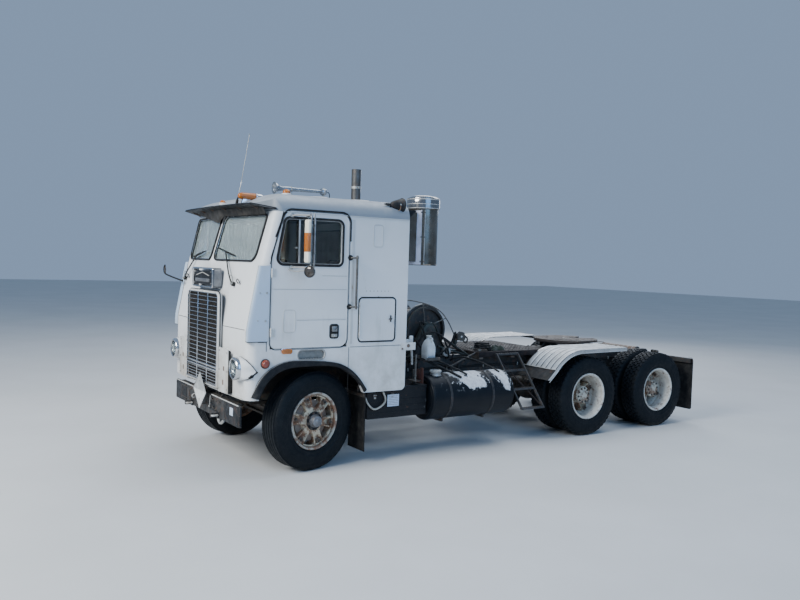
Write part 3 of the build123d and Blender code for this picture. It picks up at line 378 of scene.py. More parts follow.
def cloth_mat(name, base, second, scale=900.0, rough=0.9, bump=0.0006):
    n = Nodes(name)
    c = n.mix(n.ramp(n.noise(6, 5, 0.6), 0.35, 0.7), base, second)
    w1 = n.wave(scale, "X", 0.4)
    w2 = n.wave(scale, "Z", 0.4)
    weave = n.mul(w1, w2)
    c = n.mix(n.mul(weave, 0.25), c, tuple(v * 0.55 for v in base))
    b = n.bump(weave, bump, 0.6)
    b = n.bump(n.noise(18, 4, 0.6), 0.003, 0.4, b)
    return n.done(c, rough, 0.0, b, Sheen_Weight=0.3)


def vinyl_mat(name, base):
    n = Nodes(name)
    c = n.mix(n.ramp(n.noise(8, 5, 0.6), 0.35, 0.7), base, tuple(v * 0.6 for v in base))
    grain = n.voronoi(420)
    b = n.bump(grain, 0.0006, 0.5)
    b = n.bump(n.noise(11, 4, 0.6), 0.003, 0.4, b)
    r = n.ramp(n.noise(15, 4, 0.6), 0.3, 0.7, 0.42, 0.62)
    return n.done(c, r, 0.0, b)


def lens_mat(name, color, rough=0.12):
    """Ribbed coloured lamp lens, lit only by the room."""
    n = Nodes(name)
    c = n.mix(n.ramp(n.noise(20, 5, 0.6), 0.4, 0.75, 0, 0.5), color, tuple(v * 0.55 for v in color))
    b = n.bump(n.wave(60, "Z", 0.0), 0.0012, 0.6)
    return n.done(c, rough, 0.0, b, Coat_Weight=0.6, Coat_Roughness=0.08)


def plain_noise(name, a, b_, rough=(0.4, 0.6), scale=20, bump=0.0004, metal=0.0, **more):
    n = Nodes(name)
    c = n.mix(n.ramp(n.noise(scale, 5, 0.65), 0.35, 0.7), a, b_)
    r = n.ramp(n.noise(scale * 1.7, 4, 0.6), 0.3, 0.7, *rough)
    b = n.bump(n.noise(scale * 9, 4, 0.65), bump, 0.5)
    return n.done(c, r, metal, b, **more)


def placard_mat(name):
    """White sheet, the upper half weathered greyer."""
    n = Nodes(name)
    x, y, z = n.xyz()
    c = n.mix(n.ramp(n.noise(18, 5, 0.65), 0.40, 0.72, 0, 0.7), (0.72, 0.73, 0.72), (0.50, 0.49, 0.46))
    up = n.mul(n.ramp(z, 0.745, 0.765), n.ramp(n.noise(9, 5, 0.65), 0.25, 0.6, 0.55, 1.0))
    c = n.mix(up, c, (0.33, 0.34, 0.34))
    r = n.ramp(n.noise(25, 4, 0.6), 0.3, 0.7, 0.4, 0.65)
    return n.done(c, r, 0.0, n.bump(n.noise(60, 3, 0.6), 0.0004, 0.5))


MAT = {
    "white_paint": paint_white("white_paint"),
    "black_paint": paint_black("black_paint"),
    "tank_paint": paint_tank("tank_paint"),
    "frame_steel": metal_paint("frame_steel", (0.017, 0.018, 0.020), (0.042, 0.040, 0.037), rust=0.40),
    "cast_steel": metal_paint("cast_steel", (0.036, 0.034, 0.032), (0.080, 0.070, 0.058), rust=0.55, scale=10),
    "rusty_steel": metal_paint("rusty_steel", (0.125, 0.085, 0.062), (0.185, 0.145, 0.115), rust=0.8, scale=7,
                               rustcol=(0.155, 0.075, 0.04)),
    "chrome": chrome("chrome"),
    "polished_aluminium": polished("polished_aluminium"),
    "glass": glass("glass"),
    "dusty_glass": dusty_glass("dusty_glass"),
    "rubber": rubber("rubber", (0.0105, 0.0110, 0.0125), (0.085, 0.080, 0.070), 0.40),
    "tyre": tyre_mat("tyre"),
    "cream_wheel_paint": wheel_paint("cream_wheel_paint", (0.66, 0.56, 0.40), 0.95, 0.42, 0.56),
    "white_wheel_paint": wheel_paint("white_wheel_paint", (0.74, 0.70, 0.62), 0.85, 0.52, 0.66),
    "seat_vinyl": vinyl_mat("seat_vinyl", (0.17, 0.11, 0.075)),
    "interior_plastic": vinyl_mat("interior_plastic", (0.11, 0.105, 0.10)),
    "cloth": cloth_mat("cloth", (0.30, 0.24, 0.18), (0.22, 0.17, 0.13)),
    # finishes of small pieces
    "seal": rubber("seal", (0.012, 0.012, 0.013), (0.09, 0.085, 0.075), 0.35, (0.45, 0.7)),
    "arch_black": rubber("arch_black", (0.010, 0.0115, 0.0145), (0.075, 0.072, 0.068), 0.35, (0.38, 0.62)),
    "amber": lens_mat("amber", (0.46, 0.135, 0.012)),
    "red": lens_mat("red", (0.45, 0.018, 0.012)),
    "red_orange": lens_mat("red_orange", (0.26, 0.045, 0.022)),
    "lamp_clear": plain_noise("lamp_clear", (0.80, 0.82, 0.82), (0.62, 0.63, 0.62), (0.06, 0.14), 30, 0.0006, Coat_Weight=0.8,
                              Coat_Roughness=0.05),
    "lamp_back": plain_noise("lamp_back", (0.82, 0.82, 0.82), (0.6, 0.6, 0.6), (0.10, 0.25), 12, 0.0003, metal=1.0),
    "white_plastic": plain_noise("white_plastic", (0.74, 0.75, 0.74), (0.52, 0.51, 0.48), (0.4, 0.6), 7, 0.0006),
    "bare_alloy": metal_paint("bare_alloy", (0.58, 0.58, 0.57), (0.42, 0.42, 0.41), (0.34, 0.58), 0.75, 0.25, 9, 0.0008,
                              (0.30, 0.26, 0.21), 0.60, 0.74),
    "fender_alloy": metal_paint("fender_alloy", (0.66, 0.67, 0.67), (0.50, 0.50, 0.49), (0.34, 0.58), 0.55, 0.45, 6, 0.0008,
                                (0.33, 0.29, 0.24), 0.55, 0.74),
    "zinc": plain_noise("zinc", (0.50, 0.50, 0.48), (0.33, 0.32, 0.29), (0.35, 0.6), 30, 0.0006, metal=0.8),
    "rope": metal_paint("rope", (0.16, 0.14, 0.12), (0.26, 0.23, 0.19), (0.45, 0.7), 0.5, 0.5, 40, 0.0006),
    "maroon": metal_paint("maroon", (0.060, 0.020, 0.017), (0.040, 0.018, 0.015), rust=0.3),
    "hose": rubber("hose", (0.009, 0.0095, 0.0105), (0.085, 0.078, 0.066), 0.38, (0.40, 0.62)),
    "grimy_white": paint_white("grimy_white", (0.66, 0.66, 0.64), 1.7, 1.6),
    "dull_grey": metal_paint("dull_grey", (0.27, 0.27, 0.26), (0.38, 0.37, 0.35), rust=0.35, scale=9),
    "curtain": cloth_mat("curtain", (0.42, 0.36, 0.27), (0.33, 0.28, 0.20)),
    "mirror_face": plain_noise("mirror_face", (0.86, 0.87, 0.88), (0.80, 0.81, 0.82), (0.02, 0.06), 6, 0.0001, metal=1.0),
    "dial": plain_noise("dial", (0.03, 0.03, 0.032), (0.05, 0.05, 0.05), (0.3, 0.5), 40, 0.0002),
    "dial_mark": plain_noise("dial_mark", (0.75, 0.75, 0.7), (0.6, 0.6, 0.55), (0.4, 0.6), 40, 0.0002),
    "worn_white": metal_paint("worn_white", (0.62, 0.62, 0.60), (0.40, 0.39, 0.36), rust=0.45, scale=14),
    "placard_white": placard_mat("placard_white"),
    "placard_line": plain_noise("placard_line", (0.07, 0.07, 0.07), (0.22, 0.21, 0.20), (0.5, 0.7), 60, 0.0002),
    "tank_strap": metal_paint("tank_strap", (0.010, 0.011, 0.014), (0.026, 0.026, 0.027), rust=0.25, scale=12),
    "pale_pipe": plain_noise("pale_pipe", (0.55, 0.53, 0.47), (0.34, 0.30, 0.24), (0.4, 0.6), 20, 0.0005),
    "air_tank": metal_paint("air_tank", (0.045, 0.045, 0.047), (0.10, 0.09, 0.08), rust=0.5, scale=8),
    "winch_green": metal_paint("winch_green", (0.018, 0.030, 0.028), (0.050, 0.055, 0.048), rust=0.5, scale=9),
    "worn_rim": metal_paint("worn_rim", (0.42, 0.43, 0.42), (0.20, 0.19, 0.17), (0.3, 0.55), 0.6, 0.4, 18, 0.0005),
    "jug_plastic": plain_noise("jug_plastic", (0.72, 0.75, 0.76), (0.55, 0.57, 0.56), (0.3, 0.5), 8, 0.0006),
    "jug_cap": plain_noise("jug_cap", (0.60, 0.60, 0.58), (0.42, 0.41, 0.38), (0.35, 0.55), 20, 0.0004),
    "deck_rust": metal_paint("deck_rust", (0.022, 0.019, 0.020), (0.050, 0.041, 0.038), rust=0.50, scale=6, rustcol=(0.060, 0.033, 0.024), spec=0.06, top=0.06),
    "groove_dark": plain_noise("groove_dark", (0.022, 0.023, 0.025), (0.065, 0.062, 0.060), (0.5, 0.8), 30, 0.0004),
    "apron_black": metal_paint("apron_black", (0.010, 0.011, 0.013), (0.035, 0.035, 0.035), rust=0.3, scale=9, spec=0.25),
    "grease": plain_noise("grease", (0.020, 0.018, 0.014), (0.055, 0.045, 0.03), (0.25, 0.45), 30, 0.0006),
    "curtain_teal": cloth_mat("curtain_teal", (0.80, 0.94, 0.92), (0.62, 0.78, 0.76)),
    "ladder_grey": metal_paint("ladder_grey", (0.030, 0.032, 0.036), (0.058, 0.058, 0.058), rust=0.30, scale=12, top=0.10),
    "plate_rust": metal_paint("plate_rust", (0.060, 0.050, 0.045), (0.105, 0.085, 0.070), rust=0.5, scale=7, rustcol=(0.11, 0.062, 0.040), spec=0.15, top=0.06),
    "roof_white": paint_white("roof_white", (0.165, 0.195, 0.232), 1.5, 1.5),
    # grey for the inside of the step pocket: painted shade of the recess
    "recess_shade_grey": metal_paint("recess_shade_grey", (0.25, 0.25, 0.23), (0.16, 0.16, 0.15), rust=0.25, scale=14),
    "grille_dark": metal_paint("grille_dark", (0.010, 0.010, 0.010), (0.035, 0.033, 0.030), rust=0.3, scale=20, spec=0.2),
    "cleaner_steel": metal_paint("cleaner_steel", (0.20, 0.185, 0.16), (0.10, 0.082, 0.062), (0.14, 0.32), 0.90, 0.20, 2.2, 0.0005, rustcol=(0.20, 0.13, 0.08)),
    "deck_cloth": cloth_mat("deck_cloth", (0.030, 0.040, 0.024), (0.055, 0.062, 0.038)),
    # dark sheet under the visor: painted shade
    "visor_shade_black": metal_paint("visor_shade_black", (0.011, 0.011, 0.011), (0.060, 0.056, 0.050), rust=0.25, scale=7, rustcol=(0.070, 0.045, 0.032), spec=0.2),
    "badge_side": metal_paint("badge_side", (0.12, 0.125, 0.135), (0.24, 0.25, 0.26), (0.30, 0.50), 0.5, 0.15, 9),
    "mirror_arm": metal_paint("mirror_arm", (0.20, 0.205, 0.21), (0.34, 0.34, 0.34), (0.22, 0.42), 0.8, 0.25, 14),
    "stack_steel": metal_paint("stack_steel", (0.120, 0.122, 0.122), (0.078, 0.073, 0.068), (0.36, 0.60), 0.55, 0.45, 5, rustcol=(0.16, 0.085, 0.045)),
    "rim_rust": wheel_paint("rim_rust", (0.40, 0.35, 0.28), 0.9, 0.40, 0.55),
    "rim_lip": wheel_paint("rim_lip", (0.50, 0.47, 0.40), 0.85, 0.42, 0.58),
    "drive_cream": wheel_paint("drive_cream", (0.62, 0.57, 0.46), 0.9, 0.44, 0.58),
    "hub_grey": metal_paint("hub_grey", (0.25, 0.25, 0.26), (0.16, 0.16, 0.165), (0.35, 0.6), 0.4, 0.3, 20, 0.0005),
    "engine_paint": metal_paint("engine_paint", (0.060, 0.066, 0.058), (0.032, 0.031, 0.027), (0.38, 0.70), rust=0.5, scale=7),
    "engine_cover": metal_paint("engine_cover", (0.22, 0.20, 0.13), (0.10, 0.09, 0.065), (0.35, 0.60), rust=0.3, scale=6),
    "gear_grey": metal_paint("gear_grey", (0.13, 0.13, 0.125), (0.055, 0.050, 0.042), (0.42, 0.70), 0.3, 0.4, 6),
    "manifold_rust": metal_paint("manifold_rust", (0.115, 0.052, 0.030), (0.060, 0.034, 0.024), (0.65, 0.88), rust=0.9, scale=9),
    "fan_red": metal_paint("fan_red", (0.22, 0.035, 0.022), (0.09, 0.035, 0.026), (0.40, 0.62), rust=0.4, scale=10),
    "core_dark": metal_paint("core_dark", (0.022, 0.022, 0.022), (0.070, 0.062, 0.050), (0.5, 0.75), 0.4, 0.3, 30),
    "rubber_mat": rubber("rubber_mat", (0.014, 0.014, 0.015), (0.10, 0.09, 0.075), 0.6),
    "rail_steel": metal_paint("rail_steel", (0.085, 0.080, 0.070), (0.16, 0.15, 0.135), (0.35, 0.60), 0.3, 0.3, 14),
    "mirror_cream": plain_noise("mirror_cream", (0.86, 0.83, 0.68), (0.70, 0.68, 0.58), (0.35, 0.5), 9, 0.0004),
    "mirror_back": metal_paint("mirror_back", (0.030, 0.026, 0.023), (0.12, 0.11, 0.10), (0.12, 0.30), 0.6, 0.3, 12, 0.0003),
    "bumper_grey": metal_paint("bumper_grey", (0.013, 0.015, 0.018), (0.030, 0.032, 0.035), rust=0.25, scale=8, spec=0.25),
    "label_white": plain_noise("label_white", (0.60, 0.70, 0.84), (0.48, 0.56, 0.68), (0.5, 0.7), 25, 0.0001),
    # white plate paint on a blue-grey base: painted shade, matching the cab's shaded side
    "plate_shade_blue": paint_white("plate_shade_blue", (0.46, 0.57, 0.70), 0.7, 0.8),
    "horn_steel": metal_paint("horn_steel", (0.26, 0.29, 0.33), (0.40, 0.43, 0.46), (0.14, 0.34), 0.85, 0.15, 7, 0.0004),
    "cap_chrome": metal_paint("cap_chrome", (0.20, 0.20, 0.20), (0.32, 0.32, 0.32), (0.08, 0.22), 0.95, 0.08, 4, 0.0003),
    "lilac_white": plain_noise("lilac_white", (0.74, 0.74, 0.84), (0.52, 0.52, 0.58), (0.4, 0.6), 5, 0.0005),
    "headlining": cloth_mat("headlining", (0.36, 0.33, 0.28), (0.28, 0.25, 0.21), 500),
}

# every CAD node keeps its own mesh and takes these finishes in its slots
for name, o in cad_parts.items():
    for s in o.material_slots:
        key = s.material.name.split(".")[0] if s.material else ""
        if key in MAT and s.material is not MAT[key]:
            s.material = MAT[key]

# panels whose finish differs from the rest of their slot
OVER = {"cab_roof": "roof_white", "cab_glass": "dusty_glass", "air_cleaner": "cleaner_steel", "exhaust_stack": "stack_steel", "deck_ladder": "ladder_grey", "fifth_wheel_plate": "plate_rust"}
for name, key in OVER.items():
    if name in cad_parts:
        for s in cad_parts[name].material_slots:
            s.material = MAT[key]

# ----------------------------------------------------------------------------
# mesh pieces
# ----------------------------------------------------------------------------
COUNT = {}


class Piece:
    """Collects many small shapes into one mesh with several finishes, riding on one body."""

    def __init__(self, name, body, slot=None):
        self.name, self.body, self.slot_name = name, body, slot
        self.v, self.f, self.fm, self.mats = [], [], [], []
        self.m = None          # current transform

    def mi(self, mat):
        if mat not in self.mats:
            self.mats.append(mat)
        return self.mats.index(mat)

    def add(self, verts, faces, mat):
        base = len(self.v)
        for p in verts:
            p = Vector(p)
            if self.m is not None:
                p = self.m @ p
            self.v.append(p)
        k = self.mi(mat)
        back = self.m is not None and self.m.determinant() < 0
        for f in faces:
            g = [base + i for i in f]
            self.f.append(g[::-1] if back else g)
            self.fm.append(k)

    def bm(self, b, mat):
        b.verts.index_update()
        self.add([v.co.copy() for v in b.verts], [[v.index for v in f.verts] for f in b.faces], mat)
        b.free()

    # -- boxes and prisms ---------------------------------------------------
    def box(self, x0, x1, y0, y1, z0, z1, mat, bev=0.003, seg=2):
        b = bmesh.new()
        bmesh.ops.create_cube(b, size=1.0)
        for v in b.verts:
            v.co = Vector(((x0 + x1) / 2 + v.co.x * (x1 - x0), (y0 + y1) / 2 + v.co.y * (y1 - y0),
                           (z0 + z1) / 2 + v.co.z * (z1 - z0)))
        bev = min(bev, abs(x1 - x0) * 0.45, abs(y1 - y0) * 0.45, abs(z1 - z0) * 0.45)
        if bev > 1e-5:
            bmesh.ops.bevel(b, geom=list(b.edges), offset=bev, segments=seg, profile=0.5, affect="EDGES")
        self.bm(b, mat)

    def prism(self, pts, axis, a, c, mat, bev=0.0, seg=2):
        """pts in the plane across axis: (y, z) for x, (x, z) for y, (x, y) for z."""
        def P(u, w, t):
            return {"x": (t, u, w), "y": (u, t, w), "z": (u, w, t)}[axis]
        b = bmesh.new()
        lo = [b.verts.new(P(u, w, a)) for u, w in pts]
        hi = [b.verts.new(P(u, w, c)) for u, w in pts]
        b.faces.new(lo)
        b.faces.new(hi[::-1])
        n = len(pts)
        for i in range(n):
            b.faces.new((lo[i], hi[i], hi[(i + 1) % n], lo[(i + 1) % n]))
        bmesh.ops.recalc_face_normals(b, faces=list(b.faces))
        if bev > 1e-5:
            sharp = [e for e in b.edges if e.calc_face_angle(0) > 0.5]
            bmesh.ops.bevel(b, geom=sharp, offset=bev, segments=seg, profile=0.5, affect="EDGES")
        self.bm(b, mat)

    def ring_prism(self, outer, inner, axis, a, c, mat):
        """A plate with a hole; outer and inner have the same number of points."""
        def P(u, w, t):
            return {"x": (t, u, w), "y": (u, t, w), "z": (u, w, t)}[axis]
        n = len(outer)
        vs = [P(u, w, a) for u, w in outer] + [P(u, w, a) for u, w in inner]
        vs += [P(u, w, c) for u, w in outer] + [P(u, w, c) for u, w in inner]
        fs = []
        for i in range(n):
            j = (i + 1) % n
            fs += [(i, j, n + j, n + i), (2 * n + i, 3 * n + i, 3 * n + j, 2 * n + j)]
            fs += [(i, 2 * n + i, 2 * n + j, j), (n + i, n + j, 3 * n + j, 3 * n + i)]
        self.fixed(vs, fs, mat)

    def fixed(self, vs, fs, mat):
        """Faces whose winding is put right before they are kept."""
        b = bmesh.new()
        bv = [b.verts.new(p) for p in vs]
        for f in fs:
            try:
                b.faces.new([bv[i] for i in f])
            except ValueError:
                pass
        bmesh.ops.recalc_face_normals(b, faces=list(b.faces))
        self.bm(b, mat)

    # -- round things -------------------------------------------------------
    def lathe(self, prof, c, axis, mat, n=32, closed=False, a0=0.0, a1=None):
        """prof rows are (along the axis, radius); c is the centre; axis is 'x', 'y', 'z' or a vector."""
        ax = {"x": Vector((1, 0, 0)), "y": Vector((0, 1, 0)), "z": Vector((0, 0, 1))}[axis] if isinstance(axis, str) else Vector(axis).normalized()
        e1 = ax.orthogonal().normalized()
        if isinstance(axis, str):
            e1 = {"x": Vector((0, 1, 0)), "y": Vector((0, 0, 1)), "z": Vector((1, 0, 0))}[axis]
        e2 = ax.cross(e1)
        c = Vector(c)
        full = a1 is None
        steps = n if full else n + 1
        ang = [a0 + (2 * math.pi if full else (a1 - a0)) * i / n for i in range(steps)]
        vs, rows = [], []
        for t, r in prof:
            if r < 1e-6:
                rows.append([len(vs)] * steps)
                vs.append(c + ax * t)
            else:
                rows.append(list(range(len(vs), len(vs) + steps)))
                for a in ang:
                    vs.append(c + ax * t + e1 * (r * math.cos(a)) + e2 * (r * math.sin(a)))
        fs = []
        pairs = list(zip(rows, rows[1:]))
        if closed:
            pairs.append((rows[-1], rows[0]))
        for A, B in pairs:
            for i in range(n):
                j = (i + 1) % steps if full else i + 1
                q = [A[i], A[j], B[j], B[i]]
                q2 = []
                for k in q:
                    if k not in q2:
                        q2.append(k)
                if len(q2) >= 3:
                    fs.append(q2)
        self.fixed(vs, fs, mat)

    def cyl(self, p, q, r, mat, n=20, bev=None, r2=None):
        p, q = Vector(p), Vector(q)
        L = (q - p).length
        r2 = r if r2 is None else r2
        b = min(0.15 * r, 0.15 * L, 0.004) if bev is None else min(bev, r * 0.5, L * 0.45)
        if b > 1e-5:
            prof = [(0, 0), (0, r - b), (b * 0.3, r - b * 0.3), (b, r), (L - b, r2), (L - b * 0.3, r2 - b * 0.3), (L, r2 - b), (L, 0)]
        else:
            prof = [(0, 0), (0, r), (L, r2), (L, 0)]
        self.lathe(prof, p, q - p, mat, n)

    def ball(self, c, r, mat, n=16, squash=(1, 1, 1)):
        b = bmesh.new()
        bmesh.ops.create_uvsphere(b, u_segments=n, v_segments=max(6, n // 2), radius=1.0)
        for v in b.verts:
            v.co = Vector((c[0] + v.co.x * r * squash[0], c[1] + v.co.y * r * squash[1], c[2] + v.co.z * r * squash[2]))
        self.bm(b, mat)

    def torus(self, c, R, r, axis, mat, n=40, k=12, sy=1.0):
        prof = [(r * sy * math.sin(2 * math.pi * i / k), R + r * math.cos(2 * math.pi * i / k)) for i in range(k)]
        self.lathe(prof, c, axis, mat, n, closed=True)

    def tube(self, pts, r, mat, k=12, closed=False, smooth=0, ends=True, flat=None):
        """A round tube (or a flat one, flat=(across, thick)) along points; smooth adds rounded corners."""
        P = [Vector(p) for p in pts]
        if smooth:
            P = soften(P, smooth, closed)
        n = len(P)
        up_ = None
        vs, fs = [], []
        tang = []
        for i in range(n):
            a = P[i - 1] if (i > 0 or closed) else P[i]
            c = P[(i + 1) % n] if (i < n - 1 or closed) else P[i]
            tang.append((c - a).normalized())
        for i in range(n):
            t = tang[i]
            if up_ is None:
                up_ = Vector((0, 0, 1)) if abs(t.z) < 0.9 else Vector((0, 1, 0))
            up_ = (up_ - t * up_.dot(t)).normalized()
            side = t.cross(up_)
            # keep the section's width at a bend
            w = 1.0
            if (0 < i < n - 1) or closed:
                d = (P[i] - P[i - 1]).normalized().dot((P[(i + 1) % n] - P[i]).normalized())
                w = 1.0 / max(0.6, math.sqrt(max(0.05, (1 + d) / 2)))
            for j in range(k):
                a = 2 * math.pi * j / k
                if flat:
                    u, v = sup(a, flat[0] / 2, flat[1] / 2)
                else:
                    rr = r(i / (n - 1)) if callable(r) else r
                    u, v = rr * math.cos(a), rr * math.sin(a)
                vs.append(P[i] + side * (u * w) + up_ * v)
        for i in range(n if closed else n - 1):
            a, c = i * k, ((i + 1) % n) * k
            for j in range(k):
                j2 = (j + 1) % k
                fs.append((a + j, a + j2, c + j2, c + j))
        if ends and not closed:
            fs.append(tuple(range(k))[::-1])
            fs.append(tuple((n - 1) * k + j for j in range(k)))
        self.fixed(vs, fs, mat)

    def strip(self, pts, side, w, t, mat, closed=False, bev=0.0):
        """A moulding along pts in one plane; side is the plane's normal, w the width in the plane,
        t how far it stands out along side."""
        P = [Vector(p) for p in pts]
        s = Vector(side).normalized()
        n = len(P)
        vs, fs = [], []
        sec = [(-w / 2, 0), (-w / 2, t - bev), (-w / 2 + bev, t), (w / 2 - bev, t), (w / 2, t - bev), (w / 2, 0)] if bev else \
              [(-w / 2, 0), (-w / 2, t), (w / 2, t), (w / 2, 0)]
        k = len(sec)
        for i in range(n):
            a = (P[i] - P[i - 1]).normalized() if (i > 0 or closed) else (P[1] - P[0]).normalized()
            c = (P[(i + 1) % n] - P[i]).normalized() if (i < n - 1 or closed) else (P[-1] - P[-2]).normalized()
            na, nc = s.cross(a), s.cross(c)
            m = (na + nc)
            m = m / max(0.35, (1 + na.dot(nc)))
            for u, v in sec:
                vs.append(P[i] + m * u + s * v)
        for i in range(n if closed else n - 1):
            a, c = i * k, ((i + 1) % n) * k
            for j in range(k):
                j2 = (j + 1) % k
                fs.append((a + j, a + j2, c + j2, c + j))
        if not closed:
            fs.append(tuple(range(k)))
            fs.append(tuple((n - 1) * k + j for j in range(k)))
        self.fixed(vs, fs, mat)

    def grid(self, fn, nu, nv, mat, thick=0.0, close_u=False):
        """A sheet of points fn(u, v), u and v from 0 to 1; thick gives it a second skin."""
        vs = [Vector(fn(i / nu, j / nv)) for i in range(nu + (0 if close_u else 1)) for j in range(nv + 1)]
        cu = nu if close_u else nu + 1
        fs = []
        for i in range(nu):
            for j in range(nv):
                i2 = (i + 1) % cu
                fs.append((i * (nv + 1) + j, i2 * (nv + 1) + j, i2 * (nv + 1) + j + 1, i * (nv + 1) + j + 1))
        if thick:
            b = bmesh.new()
            bv = [b.verts.new(p) for p in vs]
            for f in fs:
                b.faces.new([bv[i] for i in f])
            b.normal_update()
            bmesh.ops.solidify(b, geom=list(b.faces), thickness=thick)
            bmesh.ops.recalc_face_normals(b, faces=list(b.faces))
            self.bm(b, mat)
        else:
            self.add(vs, fs, mat)

    def bolt(self, p, d, mat, r=0.010, h=0.008, washer=True, n=6):
        """A hexagon head on a washer, standing on p along d."""
        p, d = Vector(p), Vector(d).normalized()
        if washer:
            self.lathe([(0, 0), (0, r * 1.5), (h * 0.22, r * 1.5), (h * 0.22, 0)], p, d, mat, 14)
        self.lathe([(0, 0), (0, r), (h * 0.85, r), (h, r * 0.82), (h, 0)], p + d * (h * 0.2), d, mat, n)

    def rivet(self, p, d, mat, r=0.005, h=0.0022):
        p, d = Vector(p), Vector(d).normalized()
        self.lathe([(0, r), (h * 0.6, r * 0.8), (h, r * 0.35), (h * 1.05, 0)], p, d, mat, 8)

    # -- finish ---------------------------------------------------------------
    def done(self, angle=32, replaces=()):
        me = bpy.data.meshes.new(self.name)
        me.from_pydata([(p.x, p.y + YS, p.z) for p in self.v], [], self.f)
        for k in self.mats:
            me.materials.append(MAT[k])
        me.polygons.foreach_set("material_index", self.fm)
        me.polygons.foreach_set("use_smooth", [True] * len(self.f))
        me.validate()
        me.update()
        me.set_sharp_from_angle(angle=math.radians(angle))
        o = bpy.data.objects.new(self.name, me)
        bpy.context.scene.collection.objects.link(o)
        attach(o, self.body)
        if replaces:
            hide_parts(*replaces)
        COUNT[self.name] = sum(len(f) - 2 for f in self.f)
        return o


def sup(a, w, h, p=4.0):
    """A rounded rectangle's point at angle a, half sizes w and h."""
    c, s = math.cos(a), math.sin(a)
    return (w * math.copysign(abs(c) ** (2 / p), c), h * math.copysign(abs(s) ** (2 / p), s))


def soften(P, times, closed=False):
    """Rounds a path's corners by cutting them, a few times over."""
    for _ in range(times):
        out = []
        n = len(P)
        if not closed:
            out.append(P[0])
        for i in range(n if closed else n - 1):
            a, c = P[i], P[(i + 1) % n]
            first = (i == 0 and not closed)
            last = (i == n - 2 and not closed)
            if not first:
                out.append(a.lerp(c, 0.25))
            if not last:
                out.append(a.lerp(c, 0.75))
        if not closed:
            out.append(P[-1])
        P = out
    return P


def rounded(rows, grow=0.0, seg=6):
    """Outline from rows of u, v, radius: the same corners as the CAD's, moved out by grow."""
    n = len(rows)
    area = sum(rows[i][0] * rows[(i + 1) % n][1] - rows[(i + 1) % n][0] * rows[i][1] for i in range(n))
    s = 1.0 if area > 0 else -1.0
    out = []
    for i in range(n):
        (x0, y0), (x1, y1), (x2, y2) = rows[i - 1][:2], rows[i][:2], rows[(i + 1) % n][:2]
        a, b = math.atan2(y1 - y0, x1 - x0), math.atan2(y2 - y1, x2 - x1)
        na, nb = (math.sin(a) * s, -math.cos(a) * s), (math.sin(b) * s, -math.cos(b) * s)
        k = grow / (1 + na[0] * nb[0] + na[1] * nb[1])
        px, py = x1 + k * (na[0] + nb[0]), y1 + k * (na[1] + nb[1])
        r = rows[i][2] + grow if rows[i][2] > 0 else 0.0
        if r < 1e-4:
            out += [(px, py)] * (seg + 1)
            continue
        turn = (b - a + math.pi) % (2 * math.pi) - math.pi
        t = r * abs(math.tan(turn / 2))
        p0 = (px - math.cos(a) * t, py - math.sin(a) * t)
        cx, cy = p0[0] - na[0] * r, p0[1] - na[1] * r
        a0 = math.atan2(na[1], na[0])
        for j in range(seg + 1):
            q = a0 + turn * j / seg
            out.append((cx + r * math.cos(q), cy + r * math.sin(q)))
    return out


def rect(u0, u1, v0, v1, r):
    return [(u0, v0, r), (u1, v0, r), (u1, v1, r), (u0, v1, r)]


def lerp(a, b, t):
    return a + (b - a) * t


def table(rows, t):
    """Linear reading of rows (key, value, ...)."""
    if t <= rows[0][0]:
        return rows[0][1:]
    for a, b in zip(rows, rows[1:]):
        if t <= b[0]:
            k = (t - a[0]) / (b[0] - a[0])
            return tuple(lerp(p, q, k) for p, q in zip(a[1:], b[1:]))
    return rows[-1][1:]


# the cab's front face: z, y at the middle, y at X = 1.06, y where the flat side starts
CAB_HALF, CAB_REAR = 1.143, 1.134
LEVELS = [(0.790, -0.780, -0.742, -0.650), (1.500, -0.780, -0.742, -0.650),
          (2.165, -0.722, -0.622, -0.532), (2.700, -0.569, -0.491, -0.401)]


def front_xy(s, z, out=0.0):
    """Point of the cab's front surface: s runs along the plan from the middle (0) past the corner (1) and
    back along the side, in metres of X up to the corner. Negative s is the truck's right."""
    yc, ye, ys = table(LEVELS, z)
    side = 1 if s >= 0 else -1
    s = abs(s)
    k = (ye - yc) / 1.06
    corner = yc + k * CAB_HALF
    r = ys - corner
    x1 = CAB_HALF - r
    if s <= x1:
        n = Vector((-k, 1)).normalized() * -1
        p = Vector((s, yc + k * s))
        nn = Vector((k, -1)).normalized()
        p = p + nn * out
    elif s <= x1 + r * 1.5:
        t = (s - x1) / (r * 1.5)
        cx, cy = x1, ys
        a = -math.pi / 2 + t * math.pi / 2
        yy = yc + k * x1
        # a quarter turn, stretched to meet both ends
        p = Vector((cx + r * math.cos(a), ys + (ys - yy) * math.sin(a)))
        p = p + Vector((math.cos(a), math.sin(a))) * out
    else:
        p = Vector((CAB_HALF + out, ys + (s - x1 - r * 1.5)))
    return Vector((p.x * side, p.y, z))


def front_y(x, z, out=0.0):
    """Y of the cab's front surface at X."""
    yc, ye, ys = table(LEVELS, z)
    k = (ye - yc) / 1.06
    return yc + k * abs(x) - out

